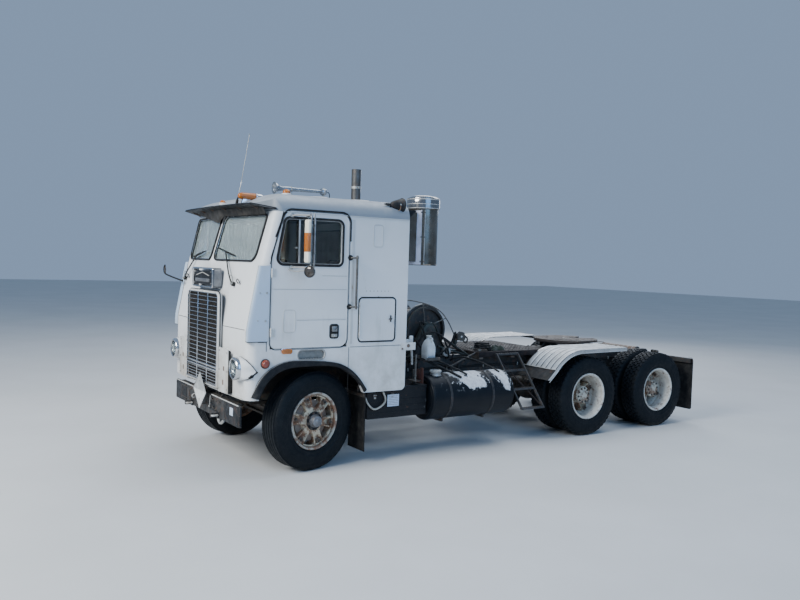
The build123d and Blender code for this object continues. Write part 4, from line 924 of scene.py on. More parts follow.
# ----------------------------------------------------------------------------
# cab front
# ----------------------------------------------------------------------------
SCREEN = [(0.052, 2.196, 0.070), (0.980, 2.196, 0.095), (1.010, 2.660, 0.040), (0.052, 2.672, 0.070)]
DOOR = [(-0.515, 1.310, 0.060), (0.372, 1.310, 0.090), (0.372, 2.716, 0.095), (-0.366, 2.716, 0.095), (-0.515, 2.240, 0.0)]
DOOR_WIN = [(-0.452, 2.178, 0.055), (0.285, 2.178, 0.045), (0.285, 2.632, 0.055), (-0.366, 2.632, 0.050)]
LUGGAGE = rect(0.514, 0.975, 1.360, 1.830, 0.040)
ARCH_OUT = [(-0.702, 0.834), (-0.632, 1.010), (-0.506, 1.124), (-0.343, 1.188), (-0.174, 1.191), (0.212, 1.163),
            (0.383, 1.102), (0.523, 0.987), (0.629, 0.839)]
ARCH_IN = [(-0.617, 0.808), (-0.556, 0.955), (-0.428, 1.069), (-0.285, 1.113), (-0.057, 1.120), (0.238, 1.113),
           (0.410, 1.030), (0.538, 0.920), (0.600, 0.808)]


def on_front(x, z, out):
    return Vector((x, front_y(x, z, out), z))


p = Piece("windscreen_seals", "cab", "rubber")
for s in (1, -1):
    path = [on_front(s * x, z, 0.002) for x, z in rounded(SCREEN, 0.006, 8)]
    if s < 0:
        path = path[::-1]
    p.tube(path, 0.01, "seal", k=10, closed=True, flat=(0.018, 0.034))
    inner = [on_front(s * x, z, 0.007) for x, z in rounded(SCREEN, -0.004, 8)]
    p.tube(inner, 0.004, "chrome", k=8, closed=True, flat=(0.006, 0.007))
p.done()

# wipers: pivot, arm, blade holder and blade lying on the glass
p = Piece("wipers", "cab", "rubber")
for (px, pz), (ex, ez), (ax, az), (bx, bz) in (((0.63, 1.945), (0.335, 2.285), (0.10, 2.325), (0.545, 2.242)),
                                              ((-1.005, 1.955), (-0.62, 2.245), (-0.80, 2.215), (-0.33, 2.288))):
    P0 = on_front(px, pz, 0.004)
    n = Vector((0, -1, 0.12)).normalized()
    p.cyl(P0, P0 + n * 0.030, 0.024, "seal", 18)
    p.cyl(P0 + n * 0.028, P0 + n * 0.044, 0.013, "zinc", 14)
    knee = on_front(lerp(px, ex, 0.28), lerp(pz, ez, 0.28), 0.045)
    E = on_front(ex, ez, 0.030)
    p.tube([P0 + n * 0.03, knee, E], 0.01, "seal", k=8, smooth=2, flat=(0.010, 0.020))
    p.tube([P0 + n * 0.034 + Vector((0.02, 0, 0.0)), on_front(px + 0.03, pz + 0.09, 0.05), knee + Vector((0, -0.004, 0))], 0.004, "zinc", k=6,
           smooth=1)
    A, B = on_front(ax, az, 0.018), on_front(bx, bz, 0.018)
    p.tube([A, A.lerp(B, 0.5) + Vector((0, -0.002, 0)), B], 0.01, "seal", k=8, flat=(0.009, 0.012))
    p.tube([A + Vector((0, 0.010, 0)), B + Vector((0, 0.010, 0))], 0.01, "rubber", k=6, flat=(0.014, 0.005))
    for t in (0.18, 0.36, 0.64, 0.82):
        q = A.lerp(B, t)
        p.box(q.x - 0.012, q.x + 0.012, q.y - 0.012, q.y + 0.004, q.z - 0.008, q.z + 0.008, "seal", 0.002)
    p.tube([A.lerp(B, 0.36) + Vector((0, -0.014, 0)), E + Vector((0, -0.004, 0)), A.lerp(B, 0.64) + Vector((0, -0.014, 0))], 0.005, "seal", k=6)
    # washer jet and hose loop beside the pivot
    j = on_front(px + 0.09, pz + 0.035, 0.0)
    p.tube([j + Vector((-0.02, 0, -0.03)), j + Vector((0, -0.03, 0.0)), j + Vector((0.03, -0.035, 0.03)), j + Vector((0.05, -0.02, 0.0)),
            j + Vector((0.03, 0.0, -0.04))], 0.005, "hose", k=8, smooth=2)
p.done()

# blank name plate in its dark box above the grille
p = Piece("front_plate", "cab", "chrome")
zc = 1.995
outer = rounded(rect(-0.305, 0.305, 1.905, 2.088, 0.030), 0, 6)
for (g0, y0), (g1, y1), mt in (((0.050, -0.742), (0.008, -0.815), "badge_side"), ((0.012, -0.815), (0.000, -0.826), "chrome"),
                               ((0.000, -0.826), (-0.014, -0.826), "chrome"), ((-0.014, -0.826), (-0.018, -0.818), "chrome")):
    def ring(g, y):
        out = []
        for x, z in rounded(rect(-0.305, 0.305, 1.905, 2.088, 0.030), 0, 6):
            gx = g
            gz = min(g, 0.016)
            out.append((x + math.copysign(gx, x), y + (0.0 if y < -0.76 else max(0.0, (abs(x) - 0.2) * 0.07)), z + math.copysign(gz, z - zc)))
        return out
    a, c = ring(g0, y0), ring(g1, y1)
    n = len(a)
    p.fixed(a + c, [(i, (i + 1) % n, n + (i + 1) % n, n + i) for i in range(n)], mt)
p.prism([(x, z) for x, z in rounded(rect(-0.288, 0.288, 1.922, 2.071, 0.018), 0, 5)], "y", -0.819, -0.810, "black_paint", 0.002)
# plain raised bar and two panels, with no lettering
p.prism(rounded(rect(-0.225, 0.225, 1.948, 1.986, 0.016), 0, 5), "y", -0.825, -0.818, "badge_side", 0.002)
p.strip([(-0.20, -0.818, 2.018), (0.0, -0.818, 2.052), (0.20, -0.818, 2.018)], (0, -1, 0), 0.010, 0.004, "dull_grey", bev=0.001)
for x in (-0.262, 0.262):
    for z in (1.934, 2.058):
        p.rivet((x, -0.819, z), (0, -1, 0), "zinc", 0.006, 0.003)
p.done()

# grille: raised white surround with rounded top corners, and a fine bright grille in three columns
p = Piece("grille_front", "cab", "chrome")
GO = [(-0.495, 0.832, 0.02), (0.495, 0.832, 0.02), (0.495, 1.856, 0.075), (-0.495, 1.856, 0.075)]
go, gi = rounded(GO, 0, 8), rounded(GO, -0.025, 8)
gm = rounded(GO, -0.007, 8)
n = len(go)


def lay(pts, y, lean=0.0):
    return [(x, y + lean * abs(x), z) for x, z in pts]


rings = [lay(go, -0.776), lay(go, -0.808), lay(gm, -0.818), lay(rounded(GO, -0.019, 8), -0.818), lay(gi, -0.808), lay(gi, -0.782)]
for a, c in zip(rings, rings[1:]):
    p.fixed(a + c, [(i, (i + 1) % n, n + (i + 1) % n, n + i) for i in range(n)], "grimy_white")
p.tube([(x, -0.8165, z) for x, z in rounded(GO, -0.022, 8)], 0.005, "chrome", k=8, closed=True, flat=(0.010, 0.012))
p.tube([(x, -0.795, z) for x, z in rounded(GO, 0.004, 8)], 0.005, "seal", k=8, closed=True, flat=(0.008, 0.010))
GW = 0.469
for x in (-0.157, 0.157):
    p.box(x - 0.008, x + 0.008, -0.815, -0.797, 0.858, 1.830, "chrome", 0.003)
for z in (1.018, 1.052):
    p.box(-GW, GW, -0.821, -0.799, z - 0.010, z + 0.010, "chrome", 0.005)
p.box(-GW, GW, -0.812, -0.803, 1.028, 1.042, "seal", 0.001)
z = 1.085
while z < 1.825:
    p.box(-GW + (0.022 if z > 1.80 else 0.0), GW - (0.022 if z > 1.80 else 0.0), -0.812, -0.803, z - 0.0040, z + 0.0040, "chrome", 0.0015, 1)
    z += 0.0472
z = 0.868
while z < 1.000:
    p.box(-GW, GW, -0.811, -0.803, z - 0.0035, z + 0.0035, "chrome", 0.0015, 1)
    z += 0.0315
# thin uprights behind the bars and the dark core seen between them
for i in range(-15, 16):
    x = i * 0.0294
    if abs(abs(x) - 0.157) > 0.010:
        p.box(x - 0.0010, x + 0.0010, -0.801, -0.797, 0.860, 1.815, "grille_dark", 0.0, 1)
p.prism(rounded(GO, -0.023, 8), "y", -0.7975, -0.7925, "grille_dark")
for x, zz in ((-0.400, 1.843), (0.400, 1.843), (0.0, 1.843), (-0.482, 1.5), (0.482, 1.5), (-0.482, 1.2), (0.482, 1.2)):
    p.rivet((x, -0.818, zz), (0, -1, 0), "zinc", 0.006, 0.004)
p.done(replaces=["grille"])

# grimy white upright plates beside the lower grille
p = Piece("grille_side_plates", "cab", "white_paint")
for s in (1, -1):
    pts = [(s * 0.500, 0.812), (s * 0.775, 0.822), (s * 0.768, 1.255), (s * 0.730, 1.282), (s * 0.500, 1.280)]
    p.prism(pts, "y", -0.806, -0.798, "grimy_white", 0.002)
    # black sheet at each plate's outer edge: painted shadow in the gap between the plate and the cab's corner
    p.prism([(-0.802, 0.822), (-0.745, 0.822), (-0.780, 1.262), (-0.802, 1.272)], "x", s * 0.768, s * 0.777, "seal", 0.001)
    for x, z, w, h in ((0.655, 1.07, 0.030, 0.045), (0.640, 0.925, 0.024, 0.055)):
        p.box(s * x - w / 2, s * x + w / 2, -0.809, -0.805, z - h / 2, z + h / 2, "rusty_steel", 0.004)
    for x, z in ((0.53, 1.25), (0.74, 1.24), (0.53, 0.85), (0.75, 0.86), (0.53, 1.05), (0.75, 1.05)):
        p.bolt((s * x, -0.806, z), (0, -1, 0), "zinc", 0.0075, 0.006)
p.done()

# seams, corner deflector plates, headlamp housings and side lamps
p = Piece("cab_front_trim", "cab", "white_paint")
for s in (1, -1):
    p.tube([on_front(s * x, 1.502, 0.0008) for x in (0.497, 0.7, 0.9, 1.04)], 0.003, "seal", k=6, flat=(0.003, 0.006))
    # deflector plate standing flat off the rounded corner, with a short flange turned in at its front edge
    def defl(u, v, s=s):
        z = lerp(1.392, 2.150, v)
        yc, ye, ys = table(LEVELS, z)
        k = (ye - yc) / 1.06
        r = ys - (yc + k * CAB_HALF)
        x1 = CAB_HALF - r
        yy = yc + k * x1
        P = [Vector((x1 + 0.020, yy - 0.001, z)), Vector((1.1430, yy - 0.011, z)), Vector((CAB_HALF + 0.010, lerp(-0.545, -0.526, v), z))]
        t = u * 2
        i = min(1, int(t))
        q = P[i].lerp(P[i + 1], t - i)
        return (q.x * s, q.y, q.z)
    # the plate's white paint has a blue-grey base: painted shade, so it reads like the cab's shaded side
    p.grid(defl, 15, 12, "plate_shade_blue", thick=0.003)
    # dark lines along the plate's front edge and under its bottom edge: painted shadow of the plate on the cab
    p.tube([defl(0.0, v / 8) for v in range(9)], 0.0025, "dull_grey", k=6)
    p.tube([Vector(defl(u / 12, 0.0)) + Vector((0, 0, -0.003)) for u in range(13)], 0.004, "seal", k=6)
    for x, y, z, nx, ny in ((CAB_HALF + 0.0020, -0.630, 1.878, 1, 0), (CAB_HALF + 0.0120, -0.560, 1.878, 1, 0), (CAB_HALF + 0.0010, -0.650, 1.601, 1, 0),
                            (CAB_HALF + 0.0120, -0.570, 1.599, 1, 0)):
        p.bolt((s * x, y, z), (s * nx, ny, 0), "zinc", 0.0075, 0.005)
    # panel edges on the corner below
    p.tube([(s * (CAB_HALF + 0.001), -0.552, 1.384), (s * (CAB_HALF + 0.001), -0.551, 1.290)], 0.003, "seal", k=6, flat=(0.003, 0.006))
    p.tube([(s * (CAB_HALF + 0.001), -0.640, 1.384), (s * (CAB_HALF + 0.001), -0.552, 1.384)], 0.003, "seal", k=6, flat=(0.003, 0.006))
    # gutter strip up the front pillar
    p.tube([(s * (CAB_HALF + 0.002), -0.528 + 0.0, 2.170), (s * (CAB_HALF + 0.002), -0.412, 2.640), (s * (CAB_HALF + 0.0), -0.395, 2.700)], 0.004,
           "seal", k=6, flat=(0.008, 0.010))
    # turned lower edge of the skirt
    p.tube([Vector((s * x, front_y(x, 0.80, 0.003), 0.803)) for x in (0.50, 0.70, 0.90, 1.03)], 0.006, "grimy_white", k=8, flat=(0.010, 0.014))
p.done()

p = Piece("headlamps", "cab", "chrome")
for s in (1, -1):
    hx, hz = 0.965, 1.110
    # teardrop housing: from the bezel's ring out to an outline that runs round the corner to a point
    rim = [(-90.0, hx, -0.742, hz - 0.117), (-35.0, 1.100, -0.745, 1.012), (-22.0, 1.149, -0.700, 1.032), (-5.5, 1.152, -0.652, 1.092),
           (12.0, 1.149, -0.700, 1.153), (35.0, 1.100, -0.745, 1.208), (90.0, hx, -0.742, hz + 0.117)]

    def pod(u, v, s=s):
        a = 360.0 * u - 180.0
        ca, sa = math.cos(math.radians(a)), math.sin(math.radians(a))
        ring = Vector((hx + 0.117 * ca, -0.790, hz + 0.117 * sa))
        if abs(a) >= 90.0:
            end = Vector((hx + 0.119 * ca, -0.735, hz + 0.119 * sa))
        else:
            for p0, p1 in zip(rim, rim[1:]):
                if a <= p1[0]:
                    break
            end = Vector(p0[1:]).lerp(Vector(p1[1:]), (a - p0[0]) / (p1[0] - p0[0]))
            # never behind the cab's own skin
            yc, ye, ys = table(LEVELS, end.z)
            k = (ye - yc) / 1.06
            r = ys - (yc + k * CAB_HALF)
            x1 = CAB_HALF - r
            skin = yc + k * end.x
            if end.x > x1:
                w = min(1.0, (end.x - x1) / r)
                skin = ys - (ys - (yc + k * x1)) * math.sqrt(max(0.0, 1.0 - w * w))
            if end.x < CAB_HALF:
                end.y = min(end.y, skin - 0.004)
        q = ring.lerp(end, v)
        puff = math.sin(math.pi * v) * 0.010
        q = q + Vector((ca, 0, sa)) * puff
        q.x = min(q.x, CAB_HALF + 0.009)
        return (s * q.x, q.y, q.z)
    p.grid(pod, 72, 8, "white_paint", close_u=True)
    p.tube([pod(i / 72, 1.0) for i in range(72)], 0.004, "seal", k=6, closed=True, flat=(0.008, 0.008))
    # chrome bezel, reflector bowl, lens
    c = (s * hx, -0.812, hz)
    d = (0, -1, 0)
    p.lathe([(-0.026, 0.1175), (-0.022, 0.1190), (-0.016, 0.1170), (0.004, 0.1165), (0.014, 0.110), (0.020, 0.101), (0.018, 0.093), (0.006, 0.089), (-0.004, 0.088)], c, d, "chrome", 44)
    p.lathe([(0.0005, 0.0895), (-0.014, 0.083), (-0.030, 0.066), (-0.044, 0.038), (-0.049, 0.0)], c, d, "lamp_back", 40)
    p.lathe([(-0.046, 0.016), (-0.030, 0.016), (-0.024, 0.012), (-0.022, 0.0)], c, d, "dull_grey", 20)
    p.lathe([(0.0055, 0.0915), (0.0085, 0.0895), (0.0085, 0.0860), (0.0050, 0.0845)], c, d, "seal", 44)
    p.lathe([(0.004, 0.0855), (0.011, 0.076), (0.017, 0.052), (0.020, 0.0)], c, d, "glass", 40)
    for k in range(-3, 4):
        x = s * hx + k * 0.022
        h = math.sqrt(max(0.0, 0.079 ** 2 - (k * 0.022) ** 2))
        p.box(x - 0.0018, x + 0.0018, -0.8235 - 0.006 * (1 - abs(k) / 4), -0.8205, hz - h, hz + h, "glass", 0.0, 1)
    p.ball((s * hx, -0.787, hz), 0.012, "dull_grey", 10)
    for a in (0.6, 2.5, 4.7):
        p.rivet((s * hx + 0.106 * math.cos(a), -0.829, hz + 0.106 * math.sin(a)), (0, -1, 0), "zinc", 0.005, 0.003)
    # black clip at the tail of the housing
    p.tube([(s * 1.128, -0.728, 1.030), (s * 1.146, -0.690, 1.055), (s * 1.148, -0.640, 1.088)], 0.009, "seal", k=8, smooth=1)
    p.ball((s * 1.146, -0.700, 1.048), 0.016, "seal", 10, (0.6, 1.4, 1.0))
p.done(replaces=["headlights"])

p = Piece("side_lamps", "cab", "rubber")
for s in (1, -1):
    # round red-orange lamp on the corner
    c = (s * (CAB_HALF + 0.001), -0.560, 1.168)
    p.lathe([(0, 0.050), (0.008, 0.050), (0.012, 0.044), (0.012, 0.030)], c, (s, 0, 0), "seal", 24)
    p.lathe([(0.008, 0.043), (0.022, 0.040), (0.034, 0.028), (0.038, 0.0)], c, (s, 0, 0), "red_orange", 24)
    # amber marker under the door's front corner
    pts = rounded(rect(-0.389, -0.267, 1.258, 1.312, 0.024), 0, 6)
    x0 = CAB_HALF
    p.prism(rounded(rect(-0.394, -0.262, 1.252, 1.318, 0.028), 0, 6), "x", s * (x0 - 0.002), s * (x0 + 0.006), "chrome", 0.002)
    p.prism(pts, "x", s * (x0 + 0.004), s * (x0 + 0.018), "amber", 0.006, 3)
p.done()

# visor: rusty sheet with a white top; here its rolled front edge, stays, and a dark sheet of painted shade under it
p = Piece("visor_details", "cab", "rusty_steel")
# dark sheet under the visor: painted shade on the wall above the windscreen; on the truck's right its lower edge slopes
# down towards the middle
low = [(-1.020, 2.738), (-0.660, 2.690), (-0.110, 2.602), (-0.030, 2.596), (0.030, 2.640), (0.100, 2.672), (0.600, 2.668), (1.045, 2.668)]


def strip(u, v):
    x = lerp(-1.020, 1.045, u)
    for (xa, za), (xb, zb) in zip(low, low[1:]):
        if x <= xb:
            break
    z = lerp(za, zb, max(0.0, min(1.0, (x - xa) / (xb - xa))))
    return (x, -0.628 + 0.078 * abs(x) - 0.030 * v, lerp(z, 2.742, v))


p.grid(strip, 78, 5, "visor_shade_black", thick=0.003)
for s in (1, -1):
    for x in (0.18, 0.55, 0.92):
        yf = -0.742 + 0.042 * x
        p.tube([(s * x, -0.590 + 0.06 * x, 2.706), (s * x, yf + 0.045, 2.764)], 0.006, "rusty_steel", k=8, flat=(0.004, 0.018))
p.tube([(x, -0.7405 + 0.0415 * abs(x) + (0.0 if abs(x) < 1.0 else (abs(x) - 1.0) * 1.9), 2.7735 - (0.0 if abs(x) < 1.0 else (abs(x) - 1.0) * 0.36))
        for x in (-1.120, -1.08, -1.04, -1.005, -0.75, -0.5, -0.25, 0, 0.25, 0.5, 0.75, 1.005, 1.04, 1.08, 1.120)], 0.006, "black_paint", k=8,
       flat=(0.010, 0.012))
p.done()

# ----------------------------------------------------------------------------
# cab sides and doors
# ----------------------------------------------------------------------------
for s, side in ((1, "left"), (-1, "right")):
    X = s * CAB_HALF
    out = (s, 0, 0)
    # door: creases, seals, handle, pressed panel
    p = Piece(f"door_trim_{side}", f"door_{side}", "rubber")
    ring = [(X + s * 0.001, y, z) for y, z in rounded(DOOR_WIN, 0.010, 8)]
    p.tube(ring, 0.01, "seal", k=10, closed=True, flat=(0.014, 0.030))
    ring = [(X + s * 0.004, y, z) for y, z in rounded(DOOR_WIN, -0.004, 8)]
    p.tube(ring, 0.004, "dull_grey", k=8, closed=True, flat=(0.006, 0.006))
    # upright between the vent pane and the drop glass
    p.box(min(X - s * 0.020, X + s * 0.003), max(X - s * 0.020, X + s * 0.003), -0.222, -0.204, 2.185, 2.628, "bare_alloy", 0.003)
    p.box(min(X - s * 0.018, X + s * 0.001), max(X - s * 0.018, X + s * 0.001), -0.232, -0.222, 2.185, 2.628, "seal", 0.002)
    for z in (2.19, 2.618):
        p.tube([(X - s * 0.006, -0.44 if z < 2.4 else -0.36, z), (X - s * 0.006, -0.225, z)], 0.004, "seal", k=6, flat=(0.010, 0.010))
    p.box(min(X - s * 0.004, X + s * 0.006), max(X - s * 0.004, X + s * 0.006), -0.262, -0.234, 2.330, 2.350, "zinc", 0.003)
    # horizontal creases pressed in the skin; the grey line under each bead is painted shade
    for z, y0, y1 in ((1.925, -0.500, 0.352), (1.618, -0.225, 0.352), (1.608, -0.225, 0.352), (2.068, 0.06, 0.352)):
        p.tube([(X + s * 0.0010, y0, z), (X + s * 0.0010, y1, z)], 0.003, "white_paint", k=6, flat=(0.0055, 0.009))
        p.tube([(X + s * 0.0004, y0, z - 0.0075), (X + s * 0.0004, y1, z - 0.0075)], 0.002, "dull_grey", k=6, flat=(0.0014, 0.0035))
    # panel outline on the lower front
    p.tube([(X + s * 0.0006, y, z) for y, z in rounded(rect(-0.372, -0.240, 1.477, 1.707, 0.030), 0, 6)], 0.003, "grimy_white", k=8, closed=True,
           flat=(0.005, 0.010))
    # flush handle: dark recess, chrome paddle and lock
    p.prism(rounded(rect(0.158, 0.270, 1.400, 1.556, 0.030), 0, 6), "x", X - s * 0.002, X + s * 0.006, "seal", 0.002)
    p.prism(rounded(rect(0.168, 0.260, 1.410, 1.546, 0.024), 0, 6), "x", X + s * 0.003, X + s * 0.008, "seal", 0.001)
    p.box(min(X + s * 0.007, X + s * 0.022), max(X + s * 0.007, X + s * 0.022), 0.182, 0.246, 1.474, 1.532, "mirror_arm", 0.008, 3)
    p.box(min(X + s * 0.007, X + s * 0.014), max(X + s * 0.007, X + s * 0.014), 0.180, 0.248, 1.418, 1.452, "dull_grey", 0.004)
    p.cyl((X + s * 0.006, 0.214, 1.435), (X + s * 0.018, 0.214, 1.435), 0.009, "chrome", 16)
    # hinge leaves over the hinge barrels
    for z in (1.480, 2.080):
        for dz in (-0.030, 0.0, 0.030):
            p.cyl((s * 1.150, -0.509, z + dz - 0.013), (s * 1.150, -0.509, z + dz + 0.013), 0.0102, "grimy_white", 16)
        p.box(min(X, X + s * 0.004), max(X, X + s * 0.004), -0.503, -0.462, z - 0.042, z + 0.042, "grimy_white", 0.002)
        for dz in (-0.028, 0.028):
            p.bolt((X + s * 0.004, -0.478, z + dz), out, "grimy_white", 0.007, 0.003, False)
    # rows of rivets down the door's edges
    for i in range(16):
        p.rivet((X, 0.350, 1.40 + i * 0.048), out, "white_paint", 0.0045, 0.0018)
    for i in range(11):
        p.rivet((X, -0.488, 1.36 + i * 0.070), out, "white_paint", 0.0045, 0.0018)
    # worn paint-coloured edge lip round the whole door
    p.tube([(X - s * 0.0005, y, z) for y, z in rounded(DOOR, -0.0095, 8)], 0.003, "white_paint", k=6, closed=True, flat=(0.006, 0.006))
    # inner skin: panel, window winder, pull and pocket
    xi = X - s * 0.045
    p.prism(rounded(rect(-0.44, 0.30, 1.36, 2.10, 0.05), 0, 5), "x", xi, xi - s * 0.008, "interior_plastic", 0.003)
    p.tube([(xi - s * 0.010, -0.30, 1.98), (xi - s * 0.055, -0.26, 1.98), (xi - s * 0.055, 0.02, 1.98), (xi - s * 0.010, 0.06, 1.98)], 0.011,
           "interior_plastic", k=10, smooth=2)
    p.cyl((xi - s * 0.006, -0.12, 1.80), (xi - s * 0.030, -0.12, 1.80), 0.022, "chrome", 18)
    p.tube([(xi - s * 0.030, -0.12, 1.80), (xi - s * 0.034, -0.02, 1.84)], 0.007, "chrome", k=8)
    p.cyl((xi - s * 0.030, -0.02, 1.84), (xi - s * 0.062, -0.02, 1.84), 0.013, "seal", 14)
    p.prism(rounded(rect(-0.36, 0.20, 1.42, 1.62, 0.03), 0, 5), "x", xi - s * 0.006, xi - s * 0.030, "interior_plastic", 0.006)
    p.done()

    # black seal round the door's top corners, on the body
    p = Piece(f"door_seal_{side}", "cab", "rubber")
    full = rounded(DOOR, 0.006, 8)
    ring = [(X + s * 0.0004, y, z) for y, z in full]
    p.tube(ring, 0.003, "seal", k=6, closed=True, flat=(0.006, 0.0065))
    top = [(y, z) for y, z in rounded([(-0.366, 2.716, 0.095), (0.372, 2.716, 0.110), (0.372, 1.6, 0.0), (-0.66, 1.6, 0.0)], 0.012, 10)]
    path = [(-0.470, 2.405), (-0.405, 2.63)] + [q for q in rounded(DOOR, 0.014, 8) if q[1] > 2.60][::-1]
    ys = sorted([q for q in rounded(DOOR, 0.014, 8) if q[1] > 2.60 and q[0] < 0], key=lambda q: q[1])
    ye = sorted([q for q in rounded(DOOR, 0.014, 8) if q[1] > 2.60 and q[0] > 0], key=lambda q: -q[1])
    path = [(-0.476, 2.440)] + ys + ye + [(0.386, 2.560), (0.386, 2.445)]
    p.tube([(X + s * 0.002, y, z) for y, z in path], 0.005, "seal", k=8, flat=(0.012, 0.015))
    p.ball((X + s * 0.003, 0.386, 2.440), 0.011, "seal", 10, (0.7, 1, 1.2))
    # drip rail line above
    p.tube([(X + s * 0.002, y, z) for y, z in ((-0.395, 2.700), (0.42, 2.697), (0.80, 2.694), (CAB_REAR - 0.004, 2.692))], 0.004, "grimy_white", k=8,
           flat=(0.006, 0.010))
    p.done()

    # body side: seams, rivets, pressed panels, arch trim, step, grab rail
    p = Piece(f"cab_side_trim_{side}", "cab", "white_paint")
    for pts in (((0.414, 1.305), (1.068, 1.305), (1.122, 1.305)), ((0.398, 1.305), (0.396, 0.83))):
        p.tube([(X + s * 0.0004, y, z) for y, z in pts], 0.003, "seal", k=6, flat=(0.003, 0.005))
    p.tube([(X + s * 0.001, 0.402, z) for z in (1.32, 1.9, 2.68)], 0.004, "white_paint", k=6, flat=(0.005, 0.012))
    p.tube([(X + s * 0.0006, y, z) for y, z in rounded(rect(0.670, 0.790, 2.384, 2.622, 0.030), 0, 6)], 0.003, "grimy_white", k=8, closed=True,
           flat=(0.005, 0.010))
    for i in range(7):
        p.rivet((X, 0.600 + i * 0.047, 1.905), out, "dull_grey", 0.006, 0.0022)
    for i in range(20):
        p.rivet((X, 1.100, 0.90 + i * 0.090), out, "white_paint", 0.0048, 0.0018)
    for i in range(14):
        p.rivet((X, 0.43 + i * 0.050, 2.676), out, "white_paint", 0.0042, 0.0016)
    # wheel arch flare: black rubber lip with a bright worn rim
    n_a = 0
    AO = soften([Vector((0, y, z)) for y, z in ARCH_OUT], 3)
    AI = soften([Vector((0, y, z)) for y, z in ARCH_IN], 3)

    def along(P, t):
        L = [0.0]
        for a, c in zip(P, P[1:]):
            L.append(L[-1] + (c - a).length)
        d = t * L[-1]
        for i in range(len(P) - 1):
            if d <= L[i + 1] or i == len(P) - 2:
                k = (d - L[i]) / max(1e-9, L[i + 1] - L[i])
                return P[i].lerp(P[i + 1], min(1.0, k))
        return P[-1]
    NA = 72
    sec = [(0.0, 0.001), (0.03, 0.016), (0.12, 0.026), (0.55, 0.030), (0.88, 0.024), (1.0, 0.010), (1.03, -0.040), (0.94, -0.046)]

    def flare(u, v, s=s):
        a, c = along(AO, u), along(AI, u)
        k = v * (len(sec) - 1)
        i = min(len(sec) - 2, int(k))
        t = k - i
        w = lerp(sec[i][0], sec[i + 1][0], t)
        h = lerp(sec[i][1], sec[i + 1][1], t)
        q = a.lerp(c, w)
        # the flare follows the cab's rounded corner at the front
        x = CAB_HALF
        if q.y < -0.650:
            x = CAB_HALF - (-0.650 - q.y) * 0.55
        return (s * (x + h), q.y, q.z)
    p.grid(flare, NA, len(sec) - 1, "arch_black")
    p.tube([flare(i / NA, 1.0 / 7) for i in range(NA + 1)], 0.004, "dull_grey" if s > 0 else "arch_black", k=6, flat=(0.006, 0.004))
    for i in range(11):
        t = 0.04 + i * 0.092
        q = along(AO, t).lerp(along(AI, t), 0.35)
        if q.y > -0.64:
            p.bolt((s * (CAB_HALF + 0.028), q.y, q.z), out, "seal", 0.007, 0.004, False)
    # step pocket under the door: frame and chequered tread; the pocket's floor and back are grey, painted shade of the
    # recess
    p.tube([(X + s * 0.001, y, z) for y, z in rounded(rect(-0.198, 0.115, 1.190, 1.288, 0.045), 0.004, 6)], 0.004, "dull_grey", k=8, closed=True,
           flat=(0.006, 0.010))
    p.box(min(X - s * 0.029, X), max(X - s * 0.029, X), -0.185, 0.100, 1.190, 1.198, "recess_shade_grey", 0.002)
    p.prism(rounded(rect(-0.196, 0.113, 1.192, 1.286, 0.043), 0.001, 6), "x", X - s * 0.0300, X - s * 0.0280, "recess_shade_grey", 0.0005)
    for i in range(9):
        y = -0.165 + i * 0.031
        p.box(min(X - s * 0.027, X - s * 0.004), max(X - s * 0.027, X - s * 0.004), y - 0.004, y + 0.004, 1.197, 1.201, "bare_alloy", 0.001)
    # grab rail: tube on two stand-offs with round feet
    gx = s * 1.203
    p.tube([(gx, 0.440, 1.722), (gx, 0.440, 2.272)], 0.013, "rail_steel", k=14)
    for z in (1.737, 2.257):
        p.tube([(X, 0.388, z), (X + s * 0.030, 0.395, z), (gx, 0.440, z)], 0.010, "rail_steel", k=10, smooth=1)
        p.lathe([(0, 0.030), (0.010, 0.029), (0.018, 0.016), (0.018, 0.0)], (X, 0.388, z), out, "seal", 20)
        p.ball((gx, 0.440, z), 0.018, "rail_steel", 12)
        for a in (0.8, 2.9, 5.0):
            p.rivet((X + s * 0.010, 0.388 + 0.021 * math.cos(a), z + 0.021 * math.sin(a)), out, "zinc", 0.004, 0.002)
    for z in (1.722, 2.272):
        p.ball((gx, 0.440, z), 0.0135, "rail_steel", 12)
    # long narrow stain-free strip by the door, beside the rail
    p.box(min(X, X + s * 0.002), max(X, X + s * 0.002), 0.392, 0.436, 1.34, 2.66, "grimy_white", 0.001)
    # latch pin and white hold-down bracket behind the cab's lower corner
    p.box(min(s * 1.045, s * 1.120), max(s * 1.045, s * 1.120), 1.132, 1.240, 1.330, 1.336, "white_plastic", 0.002)
    p.box(min(s * 1.085, s * 1.092), max(s * 1.085, s * 1.092), 1.134, 1.262, 1.235, 1.362, "grimy_white", 0.003)
    p.box(min(s * 1.080, s * 1.100), max(s * 1.080, s * 1.100), 1.215, 1.262, 1.300, 1.400, "white_plastic", 0.006)
    p.box(min(s * 1.1435, s * 1.1490), max(s * 1.1435, s * 1.1490), 1.062, 1.262, 1.246, 1.330, "white_plastic", 0.002)
    p.bolt((s * 1.149, 1.165, 1.295), out, "rusty_steel", 0.014, 0.010)
    p.bolt((s * 1.149, 1.085, 1.262), out, "rusty_steel", 0.008, 0.006)
    p.bolt((s * 1.092, 1.225, 1.265), out, "rusty_steel", 0.010, 0.008)
    p.tube([(s * 1.088, 1.250, 1.240), (s * 1.084, 1.262, 1.16), (s * 1.075, 1.270, 1.07)], 0.013, "dull_grey", k=10, smooth=1)
    p.done()

